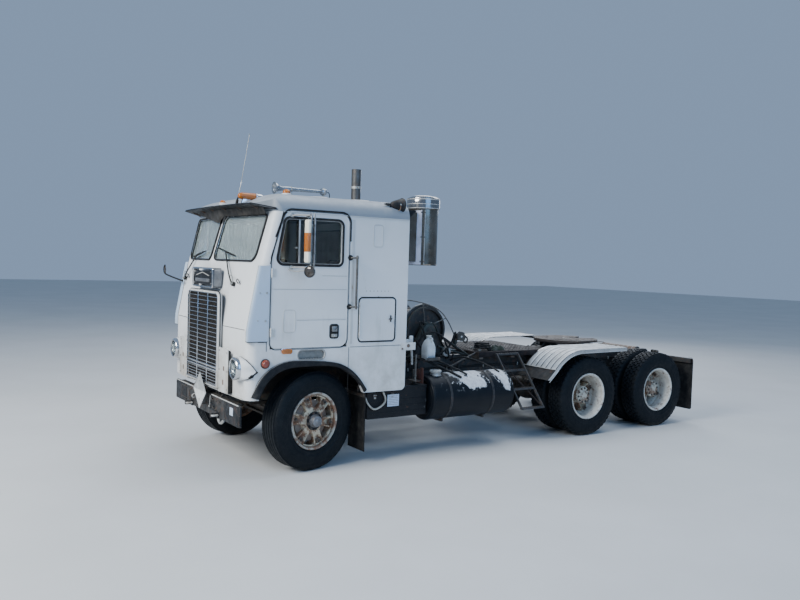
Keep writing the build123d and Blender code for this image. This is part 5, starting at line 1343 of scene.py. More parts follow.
    # luggage door: seal, handle, hinge barrel, faint edge
    p = Piece(f"luggage_trim_{side}", f"luggage_door_{side}", "rubber")
    p.tube([(X - s * 0.0005, y, z) for y, z in rounded(LUGGAGE, -0.010, 8)], 0.003, "white_paint", k=6, closed=True, flat=(0.006, 0.008))
    p.box(min(X, X + s * 0.012), max(X, X + s * 0.012), 0.910, 0.926, 1.565, 1.640, "cast_steel", 0.004)
    p.tube([(X + s * 0.012, 0.930, 1.602), (X + s * 0.026, 0.918, 1.602), (X + s * 0.028, 0.880, 1.600)], 0.006, "cast_steel", k=8, smooth=1)
    p.cyl((X, 0.918, 1.600), (X + s * 0.016, 0.918, 1.600), 0.014, "rail_steel", 18)
    for z in (1.43, 1.49, 1.55, 1.61, 1.67, 1.73, 1.76):
        p.cyl((s * 1.148, 0.520, z - 0.024), (s * 1.148, 0.520, z + 0.024), 0.0072, "grimy_white", 12)
    for i in range(6):
        p.rivet((X, 0.545, 1.45 + i * 0.062), out, "white_paint", 0.0042, 0.0018)
    p.box(min(X - s * 0.052, X - s * 0.038), max(X - s * 0.052, X - s * 0.038), 0.548, 0.940, 1.395, 1.795, "interior_plastic", 0.006)
    p.done()
    p = Piece(f"luggage_seal_{side}", "cab", "rubber")
    p.tube([(X + s * 0.0006, y, z) for y, z in rounded(LUGGAGE, 0.006, 8)], 0.004, "seal", k=8, closed=True, flat=(0.009, 0.013))
    p.ball((X + s * 0.004, 0.755, 1.838), 0.009, "seal", 8)
    p.done()

    # mirrors: rounded head on a loop of tube, small round one below, braces
    p = Piece(f"mirror_parts_{side}", f"door_{side}", "chrome")
    mx = s * 1.390
    # head shell, open glass side facing rearward
    hd = rounded(rect(mx - 0.042 if s > 0 else -1.432, mx + 0.045 if s > 0 else -1.345, 2.192, 2.618, 0.020), 0, 6)
    p.prism(hd, "y", -0.262, -0.226, "mirror_cream", 0.010, 3)
    hi = rounded(rect(mx - 0.042 if s > 0 else -1.432, mx + 0.045 if s > 0 else -1.345, 2.192, 2.618, 0.020), -0.006, 6)
    p.prism(hi, "y", -0.228, -0.2225, "seal", 0.001)
    hi = rounded(rect(mx - 0.042 if s > 0 else -1.432, mx + 0.045 if s > 0 else -1.345, 2.192, 2.618, 0.020), -0.011, 6)
    p.prism(hi, "y", -0.2235, -0.2215, "mirror_face", 0.0005)
    # amber reflector strip on the back of the head
    p.prism(rounded(rect(mx - 0.034 if s > 0 else -1.426, mx + 0.036 if s > 0 else -1.356, 2.300, 2.488, 0.008), 0, 4), "y", -0.266, -0.261, "amber", 0.002)
    if s > 0:
        p.box(mx + 0.0340, mx + 0.0485, -0.2680, -0.2320, 2.300, 2.488, "amber", 0.0040)
    # loop: from the door, out, down behind the head, and back
    lx = s * 1.392
    loop = [(X - s * 0.002, -0.120, 2.664), (s * 1.26, -0.150, 2.672), (lx - s * 0.02, -0.204, 2.676), (lx + s * 0.000, -0.205, 2.64), (lx, -0.205, 2.40),
            (lx, -0.205, 2.17), (lx - s * 0.02, -0.204, 2.132), (s * 1.26, -0.150, 2.134), (X - s * 0.002, -0.120, 2.140)]
    p.tube(loop, 0.0110, "mirror_arm", k=12, smooth=2)
    p.tube([(q[0] + s * 0.030 if abs(q[0]) > 1.30 else q[0], q[1] + 0.022, q[2]) for q in loop[2:7]], 0.0095, "mirror_arm", k=10, smooth=2)
    for z in (2.664, 2.140):
        p.tube([(X - s * 0.002, -0.300, z), (s * 1.25, -0.262, z + 0.004), (lx - s * 0.03, -0.206, z)], 0.0075, "dull_grey", k=10, smooth=1)
        for y in (-0.300, -0.120):
            p.lathe([(0, 0.024), (0.005, 0.024), (0.008, 0.018), (0.008, 0.0)], (X, y, z), out, "zinc", 16)
            p.bolt((X + s * 0.008, y, z + 0.016), out, "zinc", 0.005, 0.004, False)
    for z in (2.560, 2.250):
        p.box(min(lx - 0.016, lx + 0.016), max(lx - 0.016, lx + 0.016), -0.228, -0.192, z - 0.012, z + 0.012, "zinc", 0.004)
        p.bolt((lx, -0.192, z), (0, 1, 0), "zinc", 0.006, 0.005, False)
    # round mirror, bulging towards the rear
    c = Vector((lx + s * 0.012, -0.236, 2.104))
    d = Vector((-s * 0.55, 0.83, 0.0)).normalized()
    p.lathe([(0.0, 0.0), (0.0, 0.026), (0.004, 0.046), (0.014, 0.058), (0.026, 0.061)], c, d, "mirror_back", 36)
    p.lathe([(0.022, 0.0605), (0.030, 0.0625), (0.036, 0.0610), (0.036, 0.0560)], c, d, "mirror_arm", 36)
    p.lathe([(0.035, 0.0570), (0.0365, 0.03), (0.0375, 0.0)], c, d, "mirror_face", 28)
    p.tube([(lx, -0.210, 2.150), (lx, -0.205, 2.175)], 0.008, "zinc", k=10)
    # bent grimy wire stay below
    p.tube([(X + s * 0.002, -0.330, 2.118), (s * 1.20, -0.290, 2.098), (s * 1.30, -0.235, 2.110), (lx - s * 0.02, -0.206, 2.128)], 0.005, "dull_grey",
           k=8, smooth=2)
    p.done(replaces=[f"mirror_{side}"])

# ----------------------------------------------------------------------------
# wheels and tyres, drawn about their own axle: X outwards, centre at 0, 0, 0
# ----------------------------------------------------------------------------
STEER, KING = math.radians(11.5), 0.830


def at_wheel(side, y, steered=False):
    m = Matrix.Translation((0, y, TYRE_R))
    if side < 0:
        m = m @ Matrix.Scale(-1, 4, (1, 0, 0))
    if steered:
        k = Vector((KING * side, 0, 0))
        m = Matrix.Translation(k) @ Matrix.Rotation(STEER, 4, "Z") @ Matrix.Translation(-k) @ m
    return m


SIDE = [(0.084, 0.2868), (0.1075, 0.2868), (0.1078, 0.3055), (0.1130, 0.3105), (0.1200, 0.3135), (0.1255, 0.3190), (0.1290, 0.3290),
        (0.1318, 0.3300), (0.1330, 0.3340), (0.1322, 0.3375), (0.1345, 0.3500), (0.1368, 0.3660), (0.1382, 0.3675), (0.1392, 0.3700),
        (0.1385, 0.3730), (0.1392, 0.3900), (0.1398, 0.4080), (0.1392, 0.4270), (0.1376, 0.4400), (0.1388, 0.4412), (0.1380, 0.4440),
        (0.1350, 0.4520), (0.1320, 0.4640), (0.1285, 0.4760), (0.1245, 0.4870), (0.1200, 0.4960), (0.1150, 0.5020)]
INSIDE = [(0.084, 0.2875), (0.100, 0.300), (0.112, 0.330), (0.119, 0.405), (0.110, 0.455), (0.085, 0.490)]


def tyre(p, xc, style, n=84):
    base = 0.5105 if style == "drive" else 0.5130
    right = SIDE + [(0.1090, base - 0.0035), (0.100, base)]
    prof = [(-x, r) for x, r in right][::1]
    tread = [(x, base + 0.0004) for x in (-0.05, 0.05)]
    if style == "steer":
        tread = []
        R = TYRE_R - 0.0005
        for c, w in ((-0.0835, 0.0330), (-0.0415, 0.0340), (0.0, 0.0340), (0.0415, 0.0340), (0.0835, 0.0330)):
            tread += [(c - w / 2 - 0.0008, base), (c - w / 2, base + 0.001), (c - w / 2, R - 0.0015), (c - w / 2 + 0.0015, R), (c + w / 2 - 0.0015, R),
                      (c + w / 2, R - 0.0015), (c + w / 2, base + 0.001), (c + w / 2 + 0.0008, base)]
    outer = prof + tread + [(x, r) for x, r in right][::-1]
    inner = [(x, r) for x, r in INSIDE] + [(-x, r) for x, r in INSIDE][::-1]
    p.lathe([(xc + x, r) for x, r in outer + inner], (0, 0, 0), "x", "tyre", n, closed=True)
    if style == "drive":
        rows = [(-0.0875, 0.0400, 46, 0.20, 0.74), (-0.0440, 0.0340, 46, -0.25, 0.70), (0.0, 0.0380, 46, 0.25, 0.70), (0.0440, 0.0340, 46, -0.25, 0.70),
                (0.0875, 0.0400, 46, 0.20, 0.74)]
        for k, (c, w, cnt, skew, fill) in enumerate(rows):
            for i in range(cnt):
                a0 = 2 * math.pi * (i + 0.5 * (k % 2)) / cnt
                da = 2 * math.pi / cnt * fill
                quad = []
                for lvl, (r, grow) in enumerate(((base - 0.003, 1.06), (TYRE_R - 0.0006, 1.0))):
                    for sx, sa in ((-1, 0), (1, 0), (1, 1), (-1, 1)):
                        x = c + sx * w / 2 * grow
                        a = a0 + da * sa + skew * (2 * math.pi / cnt) * sx * 0.5 - da / 2
                        rr = r
                        if lvl and k in (0, 4) and sx == (-1 if k == 0 else 1):
                            rr = r - 0.0035
                        quad.append((xc + x, rr * math.cos(a), rr * math.sin(a)))
                p.fixed(quad, [(4, 5, 6, 7), (0, 1, 5, 4), (1, 2, 6, 5), (2, 3, 7, 6), (3, 0, 4, 7)], "tyre")
                if k in (0, 4):
                    # shoulder lug running down onto the side wall
                    s = -1 if k == 0 else 1
                    vs = []
                    for x, r in ((0.1070, TYRE_R - 0.0055), (0.1165, 0.5050), (0.1235, 0.4935), (0.1180, 0.4925), (0.1080, 0.5060)):
                        for sa in (0.08, 0.80):
                            a = a0 + da * sa + skew * (2 * math.pi / cnt) * s * 0.5 - da / 2
                            vs.append((xc + s * x, r * math.cos(a), r * math.sin(a)))
                    p.fixed(vs, [(0, 1, 3, 2), (2, 3, 5, 4), (0, 2, 8), (1, 3, 9), (2, 4, 6), (3, 5, 7), (2, 6, 8), (3, 7, 9)], "tyre")
    else:
        # cuts across the shoulder ribs
        for s in (1, -1):
            for i in range(64):
                a = 2 * math.pi * i / 64
                q = []
                for x, r in ((0.1010, TYRE_R - 0.004), (0.1190, 0.4985), (0.1215, 0.4990), (0.1020, TYRE_R - 0.0025)):
                    for d in (-0.014, 0.014):
                        q.append((xc + s * x, r * math.cos(a + d), r * math.sin(a + d)))
                p.fixed(q, [(0, 1, 3, 2), (2, 3, 5, 4), (4, 5, 7, 6), (6, 7, 1, 0), (0, 2, 4, 6), (1, 3, 5, 7)], "tyre")


def rim(p, xc, mat, lip=None):
    """Demountable rim with rolled flanges, bead seats and a ledge for the clamps."""
    prof = [(-0.1165, 0.2935), (-0.1190, 0.2990), (-0.1175, 0.3045), (-0.1120, 0.3065), (-0.1085, 0.3030), (-0.1080, 0.2866), (0.1080, 0.2866),
            (0.1085, 0.3030), (0.1120, 0.3065), (0.1175, 0.3045), (0.1190, 0.2990), (0.1165, 0.2935), (0.1130, 0.2850), (0.1050, 0.2790),
            (0.0860, 0.2775), (0.0700, 0.2745), (0.0620, 0.2715), (-0.0620, 0.2715), (-0.0860, 0.2775), (-0.1050, 0.2790), (-0.1130, 0.2850)]
    p.lathe([(xc + x, r) for x, r in prof], (0, 0, 0), "x", mat, 96, closed=True)
    if lip:
        p.lathe([(xc + x, r) for x, r in ((0.1050, 0.3000), (0.1125, 0.3072), (0.1182, 0.3050), (0.1198, 0.2990), (0.1170, 0.2928), (0.1135, 0.2850))],
                (0, 0, 0), "x", lip, 96)


def radial(r, a, x):
    return Vector((x, r * math.cos(a), r * math.sin(a)))


def cast_spoke(p, a, x0, x1, r0, r1, w0, w1, mat, hollow=0.03):
    """One cast spoke: two ridges with a hollow between them that deepens towards the rim."""
    nu, ws = 10, (-1.0, -1.0, -0.90, -0.72, -0.50, -0.30, 0.0, 0.30, 0.50, 0.72, 0.90, 1.0, 1.0)
    vs, nv = [], len(ws)
    for i in range(nu + 1):
        t = i / nu
        r = lerp(r0, r1, t)
        half = lerp(w0, w1, t) / 2 * (1.0 - 0.10 * math.sin(math.pi * t))
        for j, w in enumerate(ws):
            top = x1 - 0.010 * t
            if j in (0, nv - 1):
                x = x0
            else:
                edge = 1 - max(0.0, (abs(w) - 0.86) / 0.14) ** 2 * 0.35
                x = x0 + (top - x0) * edge
                k = max(0.0, 1 - (abs(w) / 0.62) ** 2.5) if abs(w) < 0.62 else 0.0
                x -= hollow * k * min(1.0, max(0.0, (t - 0.22) / 0.35))
            tang = Vector((0, -math.sin(a), math.cos(a)))
            vs.append(radial(r, a, x) + tang * (half * w))
    fs = []
    for i in range(nu):
        for j in range(nv - 1):
            fs.append((i * nv + j, (i + 1) * nv + j, (i + 1) * nv + j + 1, i * nv + j + 1))
        fs.append((i * nv + nv - 1, (i + 1) * nv + nv - 1, (i + 1) * nv, i * nv))
    fs.append(tuple(range(nv)))
    fs.append(tuple(nu * nv + j for j in range(nv))[::-1])
    p.fixed(vs, fs, mat)


def clamp(p, a, x, r, mat="rusty_steel", nut="cast_steel"):
    """Rim clamp: wedge, stud and nut."""
    tang = Vector((0, -math.sin(a), math.cos(a)))
    rad = Vector((0, math.cos(a), math.sin(a)))
    c = radial(r, a, x)
    vs = []
    for dx, dr, dt in ((-0.020, 0.034, 0.024), (0.006, 0.030, 0.022), (0.010, -0.014, 0.020), (-0.012, -0.020, 0.020)):
        for s in (-1, 1):
            vs.append(c + Vector((dx, 0, 0)) + rad * dr + tang * (dt * s))
    p.fixed(vs, [(0, 1, 3, 2), (2, 3, 5, 4), (4, 5, 7, 6), (6, 7, 1, 0), (0, 2, 4, 6), (1, 3, 5, 7)], mat)
    p.cyl(c + Vector((0.0, 0, 0)), c + Vector((0.034, 0, 0)), 0.0085, nut, 12)
    p.lathe([(0.004, 0.0), (0.004, 0.0165), (0.020, 0.0165), (0.023, 0.0145), (0.023, 0.0)], c, "x", nut, 6)


for side, nm in ((1, "left"), (-1, "right")):
    p = Piece(f"steer_tyre_{nm}", f"front_wheel_{nm}", "tyre")
    p.m = at_wheel(side, 0.0, True)
    tyre(p, 0.966, "steer")
    p.done(angle=38, replaces=[f"front_tyre_{nm}"])

    p = Piece(f"steer_wheel_{nm}", f"front_wheel_{nm}", "cream_wheel_paint")
    p.m = at_wheel(side, 0.0, True)
    rim(p, 0.966, "rim_rust", "rim_lip")
    # cream mounting ring inside the rim
    p.lathe([(1.030, 0.2712), (1.036, 0.2742), (1.048, 0.2745), (1.054, 0.2720), (1.054, 0.2600), (1.048, 0.2570), (1.030, 0.2580)], (0, 0, 0), "x",
            "cream_wheel_paint", 96, closed=True)
    for k in range(6):
        a = math.radians(50 + 60 * k)
        cast_spoke(p, a, 0.972, 1.058, 0.092, 0.268, 0.100, 0.138, "cream_wheel_paint", 0.040)
        clamp(p, a, 1.044, 0.236)
        # root fillet between spokes
        b = a + math.radians(30)
        p.lathe([(0.985, 0.10), (0.985, 0.150), (1.046, 0.138), (1.058, 0.10)], (0, 0, 0), "x", "cream_wheel_paint", 10, False, b - 0.36, b + 0.36)
    p.lathe([(0.945, 0.036), (0.945, 0.105), (0.960, 0.122), (1.000, 0.128), (1.048, 0.122), (1.062, 0.114), (1.0655, 0.102), (1.0655, 0.0)], (0, 0, 0), "x",
            "cream_wheel_paint", 48)
    # hub flange with its ring of bolts, and the grey cap
    p.lathe([(1.060, 0.098), (1.072, 0.098), (1.076, 0.094), (1.076, 0.060)], (0, 0, 0), "x", "black_paint", 40)
    for k in range(8):
        a = 2 * math.pi * (k + 0.3) / 8
        p.bolt(radial(0.0865, a, 1.0755), (1, 0, 0), "cast_steel", 0.0105, 0.012)
    p.lathe([(1.074, 0.072), (1.082, 0.071), (1.096, 0.064), (1.118, 0.060), (1.128, 0.056), (1.132, 0.048), (1.132, 0.030), (1.136, 0.026), (1.140, 0.020),
             (1.141, 0.0)], (0, 0, 0), "x", "hub_grey", 40)
    for k in range(6):
        a = 2 * math.pi * k / 6
        p.bolt(radial(0.066, a, 1.079), (1, 0, 0), "zinc", 0.005, 0.005, False)
    # brake drum behind, and the valve stem
    p.lathe([(0.938, 0.200), (0.938, 0.214), (0.946, 0.214), (0.946, 0.207), (0.990, 0.208), (0.990, 0.214), (1.006, 0.215), (1.014, 0.190), (1.016, 0.10),
             (1.004, 0.10), (1.000, 0.200)], (0, 0, 0), "x", "rusty_steel", 64, closed=True)
    a = math.radians(20)
    p.tube([radial(0.272, a, 1.050), radial(0.262, a, 1.072), radial(0.250, a, 1.078)], 0.004, "zinc", k=8)
    p.cyl(radial(0.250, a, 1.078), radial(0.240, a, 1.079), 0.0055, "seal", 10)
    p.done(replaces=[f"front_wheel_{nm}"])

for i, y in enumerate(AXLES):
    for side, nm in ((1, "left"), (-1, "right")):
        body = f"drive_wheels_{i + 1}_{nm}"
        p = Piece(f"drive_tyre_pair_{i + 1}_{nm}", body, "tyre")
        p.m = at_wheel(side, y) @ Matrix.Rotation(0.7 * i + 0.4, 4, "X")
        tyre(p, 1.045, "drive", 72)
        tyre(p, 0.715, "drive", 72)
        p.done(angle=38, replaces=[f"drive_tyres_{i + 1}_{nm}"])

        p = Piece(f"drive_wheel_pair_{i + 1}_{nm}", body, "white_wheel_paint")
        p.m = at_wheel(side, y)
        ph = 18 + 31 * i
        rim(p, 1.045, "white_wheel_paint", "white_wheel_paint")
        rim(p, 0.715, "white_wheel_paint")
        # spacer band between the two rims
        p.lathe([(0.790, 0.2712), (0.800, 0.2765), (0.960, 0.2765), (0.970, 0.2712), (0.960, 0.2668), (0.800, 0.2668)], (0, 0, 0), "x", "white_wheel_paint",
                72, closed=True)
        for k in range(5):
            a = math.radians(ph + 72 * k)
            cast_spoke(p, a, 0.835, 0.955, 0.095, 0.266, 0.115, 0.135, "cream_wheel_paint" if i == 0 else "drive_cream", 0.050)
            clamp(p, a, 0.968, 0.238)
        p.lathe([(0.790, 0.050), (0.790, 0.120), (0.812, 0.130), (0.930, 0.130), (0.960, 0.122), (0.985, 0.112), (1.028, 0.106), (1.040, 0.108),
                 (1.040, 0.118), (1.052, 0.118), (1.056, 0.112), (1.056, 0.100)], (0, 0, 0), "x", "drive_cream", 56)
        # axle flange, its studs and the domed middle
        p.lathe([(1.054, 0.112), (1.066, 0.110), (1.069, 0.104), (1.069, 0.070), (1.078, 0.062), (1.089, 0.046), (1.092, 0.030), (1.0925, 0.0)], (0, 0, 0), "x",
                "drive_cream", 48)
        for k in range(10):
            a = 2 * math.pi * (k + 0.2) / 10
            p.bolt(radial(0.093, a, 1.068), (1, 0, 0), "cast_steel", 0.0095, 0.014)
        p.lathe([(0.604, 0.205), (0.604, 0.224), (0.616, 0.224), (0.616, 0.216), (0.740, 0.218), (0.740, 0.226), (0.766, 0.228), (0.796, 0.180), (0.800, 0.112),
                 (0.785, 0.110), (0.765, 0.205)], (0, 0, 0), "x", "rusty_steel", 64, closed=True)
        a = math.radians(ph + 40)
        p.tube([radial(0.270, a, 1.100), radial(0.258, a, 1.085), radial(0.244, a, 1.095)], 0.004, "zinc", k=8)
        p.done(replaces=[f"drive_wheel_{i + 1}_{nm}"])

# ----------------------------------------------------------------------------
# chassis: bumper, placard, tanks, boxes
# ----------------------------------------------------------------------------
def mirror_x(s):
    return None if s > 0 else Matrix.Scale(-1, 4, (1, 0, 0))


def bar_between(p, a, b, r, mat, n=12):
    p.cyl(a, b, r, mat, n, bev=r * 0.2)


p = Piece("bumper_details", "chassis", "black_paint")
for s in (1, -1):
    p.m = mirror_x(s)
    # rounded tow loop around each hook plate, worn to bare metal
    p.tube([(0.384, -0.772, 0.540), (0.384, -0.828, 0.540), (0.392, -0.8380, 0.540), (0.415, -0.8430, 0.540), (0.438, -0.8380, 0.540),
            (0.446, -0.828, 0.540), (0.446, -0.772, 0.540)], 0.011, "worn_white", k=10, smooth=2)
    p.box(0.372, 0.458, -0.780, -0.769, 0.505, 0.575, "black_paint", 0.004)
    for x in (0.36, 0.47):
        for z in (0.585, 0.685):
            p.bolt((x, -0.770, z), (0, -1, 0), "cast_steel", 0.012, 0.009)
    # bent edge of the channel and a stiffener at its end
    p.box(1.006, 1.0125, -0.762, -0.744, 0.520, 0.720, "bumper_grey", 0.002)
    # outer panel of the face, a shade greyer, behind a dark slot
    p.box(0.618, 0.990, -0.7725, -0.7695, 0.514, 0.726, "bumper_grey", 0.003)
    p.box(0.604, 0.616, -0.7712, -0.7695, 0.514, 0.726, "seal", 0.001)
    for x in (0.645, 0.965):
        for z in (0.545, 0.700):
            p.bolt((x, -0.7725, z), (0, -1, 0), "cast_steel", 0.008, 0.006)
    # bright angle along the top edge
    p.box(0.215, 0.992, -0.7735, -0.766, 0.7312, 0.7345, "worn_white", 0.0012)
    p.box(0.215, 0.992, -0.7740, -0.7708, 0.7245, 0.7345, "worn_white", 0.0012)
p.m = None
# upright reflector, scuffed, on the left end
p.box(0.765, 0.850, -0.7755, -0.7720, 0.604, 0.684, "label_white", 0.001)
for z in (0.612, 0.676):
    p.rivet((0.8075, -0.7755, z), (0, -1, 0), "zinc", 0.004, 0.002)
# scraped hook that hangs under the end of the frame, behind the bumper
p.tube([(0.300, -0.700, 0.600), (0.300, -0.715, 0.520), (0.320, -0.722, 0.462), (0.380, -0.726, 0.438), (0.440, -0.722, 0.462), (0.462, -0.715, 0.510),
        (0.462, -0.705, 0.560)], 0.0165, "worn_white", k=12, smooth=2)
p.box(0.275, 0.325, -0.716, -0.690, 0.560, 0.640, "cast_steel", 0.005)
p.cyl((0.455, -0.705, 0.565), (0.500, -0.705, 0.575), 0.012, "cast_steel", 12)
# clips and a folded strap between the placard and the left end
for x, z in ((0.150, 0.700), (0.205, 0.660), (0.262, 0.690), (0.175, 0.600), (0.300, 0.610)):
    p.tube([(x, -0.772, z), (x + 0.012, -0.792, z + 0.008), (x + 0.026, -0.792, z - 0.010), (x + 0.030, -0.776, z - 0.016)], 0.0055, "cast_steel", k=8, smooth=1)
p.tube([(0.235, -0.790, 0.722), (0.240, -0.796, 0.660), (0.252, -0.800, 0.610), (0.232, -0.802, 0.592), (0.218, -0.798, 0.612)], 0.0050, "dull_grey", k=8, smooth=2)
p.box(0.120, 0.330, -0.7745, -0.7695, 0.560, 0.640, "bumper_grey", 0.003)
# small white hook hanging from the bumper on the right
p.tube([(-0.30, -0.774, 0.66), (-0.30, -0.800, 0.652), (-0.30, -0.812, 0.632), (-0.30, -0.800, 0.614), (-0.30, -0.784, 0.618)], 0.006, "worn_white", k=8, smooth=2)
# licence plate bracket without a plate, low on the right
p.box(-0.78, -0.50, -0.776, -0.7695, 0.560, 0.566, "cast_steel", 0.001)
p.box(-0.78, -0.50, -0.776, -0.7695, 0.690, 0.696, "cast_steel", 0.001)
for x in (-0.775, -0.505):
    p.box(x - 0.004, x + 0.004, -0.776, -0.7695, 0.560, 0.696, "cast_steel", 0.001)
p.done()

p = Piece("placard", "chassis", "placard_white")
PX, PZ, PH = 0.035, 0.755, 0.203
dia = [(PX, PZ - PH), (PX + PH, PZ), (PX, PZ + PH), (PX - PH, PZ)]
p.prism(dia, "y", -0.8425, -0.8395, "placard_white", 0.0008, 1)
q = 0.93
edge = [(PX, PZ - PH * q), (PX + PH * q, PZ), (PX, PZ + PH * q), (PX - PH * q, PZ)]
for a, b in zip(edge, edge[1:] + edge[:1]):
    p.tube([(a[0], -0.8427, a[1]), (b[0], -0.8427, b[1])], 0.0022, "placard_line", k=6, flat=(0.0006, 0.0022))
p.box(PX - 0.012, PX + 0.012, -0.8395, -0.8345, 0.600, 0.915, "cast_steel", 0.001)
p.box(PX - 0.012, PX + 0.012, -0.8360, -0.7695, 0.600, 0.606, "cast_steel", 0.001)
p.box(PX - 0.012, PX + 0.012, -0.7745, -0.7695, 0.600, 0.680, "cast_steel", 0.001)
for z in (PZ - 0.10, PZ + 0.10):
    p.bolt((PX, -0.8425, z), (0, -1, 0), "zinc", 0.006, 0.004)
p.done()

for s, nm in ((1, "left"), (-1, "right")):
    p = Piece(f"tank_details_{nm}", "chassis", "tank_paint")
    p.m = mirror_x(s)
    TX, TZ, TR = 0.875, 0.645, 0.272
    for y in (1.810, 2.445):
        p.lathe([(y - 0.017, TR + 0.0005), (y - 0.017, TR + 0.0038), (y - 0.014, TR + 0.0048), (y + 0.014, TR + 0.0048), (y + 0.017, TR + 0.0038),
                 (y + 0.017, TR + 0.0005)], (TX, 0, TZ), "y", "tank_strap", 64, closed=True)
        for z in (0.90,):
            p.bolt((0.619, y, 0.710), (1, 0, 0), "cast_steel", 0.010, 0.012)
            p.box(0.600, 0.640, y - 0.03, y + 0.03, 0.845, 0.870, "cast_steel", 0.003)
    for y in (1.583, 2.757):
        p.lathe([(y - 0.004, TR - 0.001), (y - 0.002, TR + 0.0015), (y + 0.002, TR + 0.0015), (y + 0.004, TR - 0.001)], (TX, 0, TZ), "y", "tank_paint", 64)
    for y, d in ((1.553, -1), (2.787, 1)):
        # pressed ring in each end and the weld bead
        p.lathe([(y, 0.232), (y + d * 0.003, 0.228), (y + d * 0.003, 0.218), (y, 0.214)], (TX, 0, TZ), "y", "tank_paint", 56)
        p.bolt((TX - 0.12, y, TZ - 0.16), (0, d, 0), "cast_steel", 0.012, 0.012)
    # filler neck: ridged collar with a vented cap and a chain tab
    fx, fy, fz = 0.930, 1.715, 0.919
    p.lathe([(fz - 0.02, 0.066), (fz + 0.000, 0.064), (fz + 0.003, 0.057), (fz + 0.008, 0.057), (fz + 0.010, 0.060), (fz + 0.014, 0.060), (fz + 0.016, 0.057),
             (fz + 0.020, 0.057)], (fx, fy, 0), "z", "bare_alloy", 40)
    p.lathe([(fz + 0.019, 0.055), (fz + 0.019, 0.066), (fz + 0.026, 0.0685), (fz + 0.040, 0.0685), (fz + 0.047, 0.064), (fz + 0.047, 0.050),
             (fz + 0.041, 0.046), (fz + 0.041, 0.012), (fz + 0.046, 0.010), (fz + 0.046, 0.0)], (fx, fy, 0), "z", "worn_white", 40)
    for k in range(20):
        a = 2 * math.pi * k / 20
        c, sn = math.cos(a), math.sin(a)
        p.cyl((fx + 0.0685 * c, fy + 0.0685 * sn, fz + 0.028), (fx + 0.0685 * c, fy + 0.0685 * sn, fz + 0.040), 0.0035, "worn_white", 6)
    p.box(fx - 0.046, fx + 0.046, fy - 0.006, fy + 0.006, fz + 0.040, fz + 0.050, "worn_white", 0.003)
    p.tube([(fx - 0.066, fy + 0.02, fz + 0.03), (fx - 0.085, fy + 0.05, fz + 0.012), (fx - 0.075, fy + 0.09, fz - 0.005), (fx - 0.07, fy + 0.12, fz - 0.028)],
           0.003, "zinc", k=6, smooth=2)
    # sender unit and fuel pick-up with its pipe
    p.lathe([(0.895, 0.045), (0.922, 0.045), (0.925, 0.042), (0.925, 0.0)], (0.80, 2.05, 0), "z", "tank_strap", 28)
    for k in range(5):
        a = 2 * math.pi * k / 5
        p.bolt((0.80 + 0.034 * math.cos(a), 2.05 + 0.034 * math.sin(a), 0.925), (0, 0, 1), "zinc", 0.004, 0.003, False)
    p.tube([(0.80, 2.05, 0.925), (0.80, 2.05, 0.945), (0.78, 2.055, 0.960), (0.70, 2.06, 0.962), (0.55, 2.07, 0.962), (0.445, 2.08, 0.955)], 0.008, "hose", k=8,
           smooth=3)
    p.cyl((TX, 2.05, TZ - TR - 0.012), (TX, 2.05, TZ - TR + 0.004), 0.014, "zinc", 6)
    if s > 0:
        # hoses that run over the front of the tank and down its side
        p.tube([(0.445, 1.50, 1.000), (0.56, 1.56, 1.085), (0.80, 1.633, 1.080), (0.862, 1.76, 1.015), (0.905, 1.86, 0.965), (0.990, 1.95, 0.915),
                (1.045, 2.02, 0.872)], 0.015, "hose", k=10, smooth=3)
        p.tube([(0.445, 1.66, 1.000), (0.60, 1.74, 1.065), (0.80, 1.86, 1.050), (0.870, 1.97, 0.990), (0.930, 2.06, 0.946), (1.000, 2.14, 0.898)],
               0.012, "hose", k=10, smooth=3)
        p.tube([(0.445, 2.30, 1.000), (0.56, 2.36, 1.060), (0.70, 2.46, 1.035), (0.82, 2.56, 0.985), (0.92, 2.62, 0.938), (0.985, 2.66, 0.902)],
               0.011, "hose", k=10, smooth=3)
        # maroon plate and a pale pipe in front of the tank
        p.box(1.020, 1.085, 1.425, 1.433, 0.840, 1.020, "maroon", 0.002)
        p.box(0.955, 1.030, 1.423, 1.427, 0.840, 1.000, "maroon", 0.002)
        p.tube([(1.045, 1.345, 0.870), (1.045, 1.345, 1.175)], 0.011, "rail_steel", k=10)
        p.torus((1.045, 1.345, 0.93), 0.013, 0.004, "z", "rail_steel", 16, 8)
        p.box(0.90, 1.050, 1.335, 1.440, 0.862, 0.874, "cast_steel", 0.003)
        p.box(0.90, 0.925, 1.400, 1.436, 0.812, 0.985, "cast_steel", 0.003)
    p.done()

    p = Piece(f"battery_box_details_{nm}", "chassis", "black_paint")
    p.m = mirror_x(s)
    if s > 0:
        p.tube([(1.000, 0.655, 0.840), (1.040, 0.662, 0.780), (1.050, 0.700, 0.668), (1.052, 0.770, 0.592), (1.052, 0.830, 0.584), (1.052, 0.922, 0.632),
                (1.052, 0.950, 0.690), (1.045, 0.915, 0.770), (1.000, 0.905, 0.830)], 0.0105, "pale_pipe", k=12, smooth=2)
        for q in ((1.000, 0.655, 0.838), (1.000, 0.905, 0.828)):
            p.box(0.930, 1.012, q[1] - 0.012, q[1] + 0.012, q[2] - 0.006, q[2] + 0.012, "cast_steel", 0.003)
        p.box(0.930, 0.942, 0.640, 0.920, 0.780, 0.850, "cast_steel", 0.003)
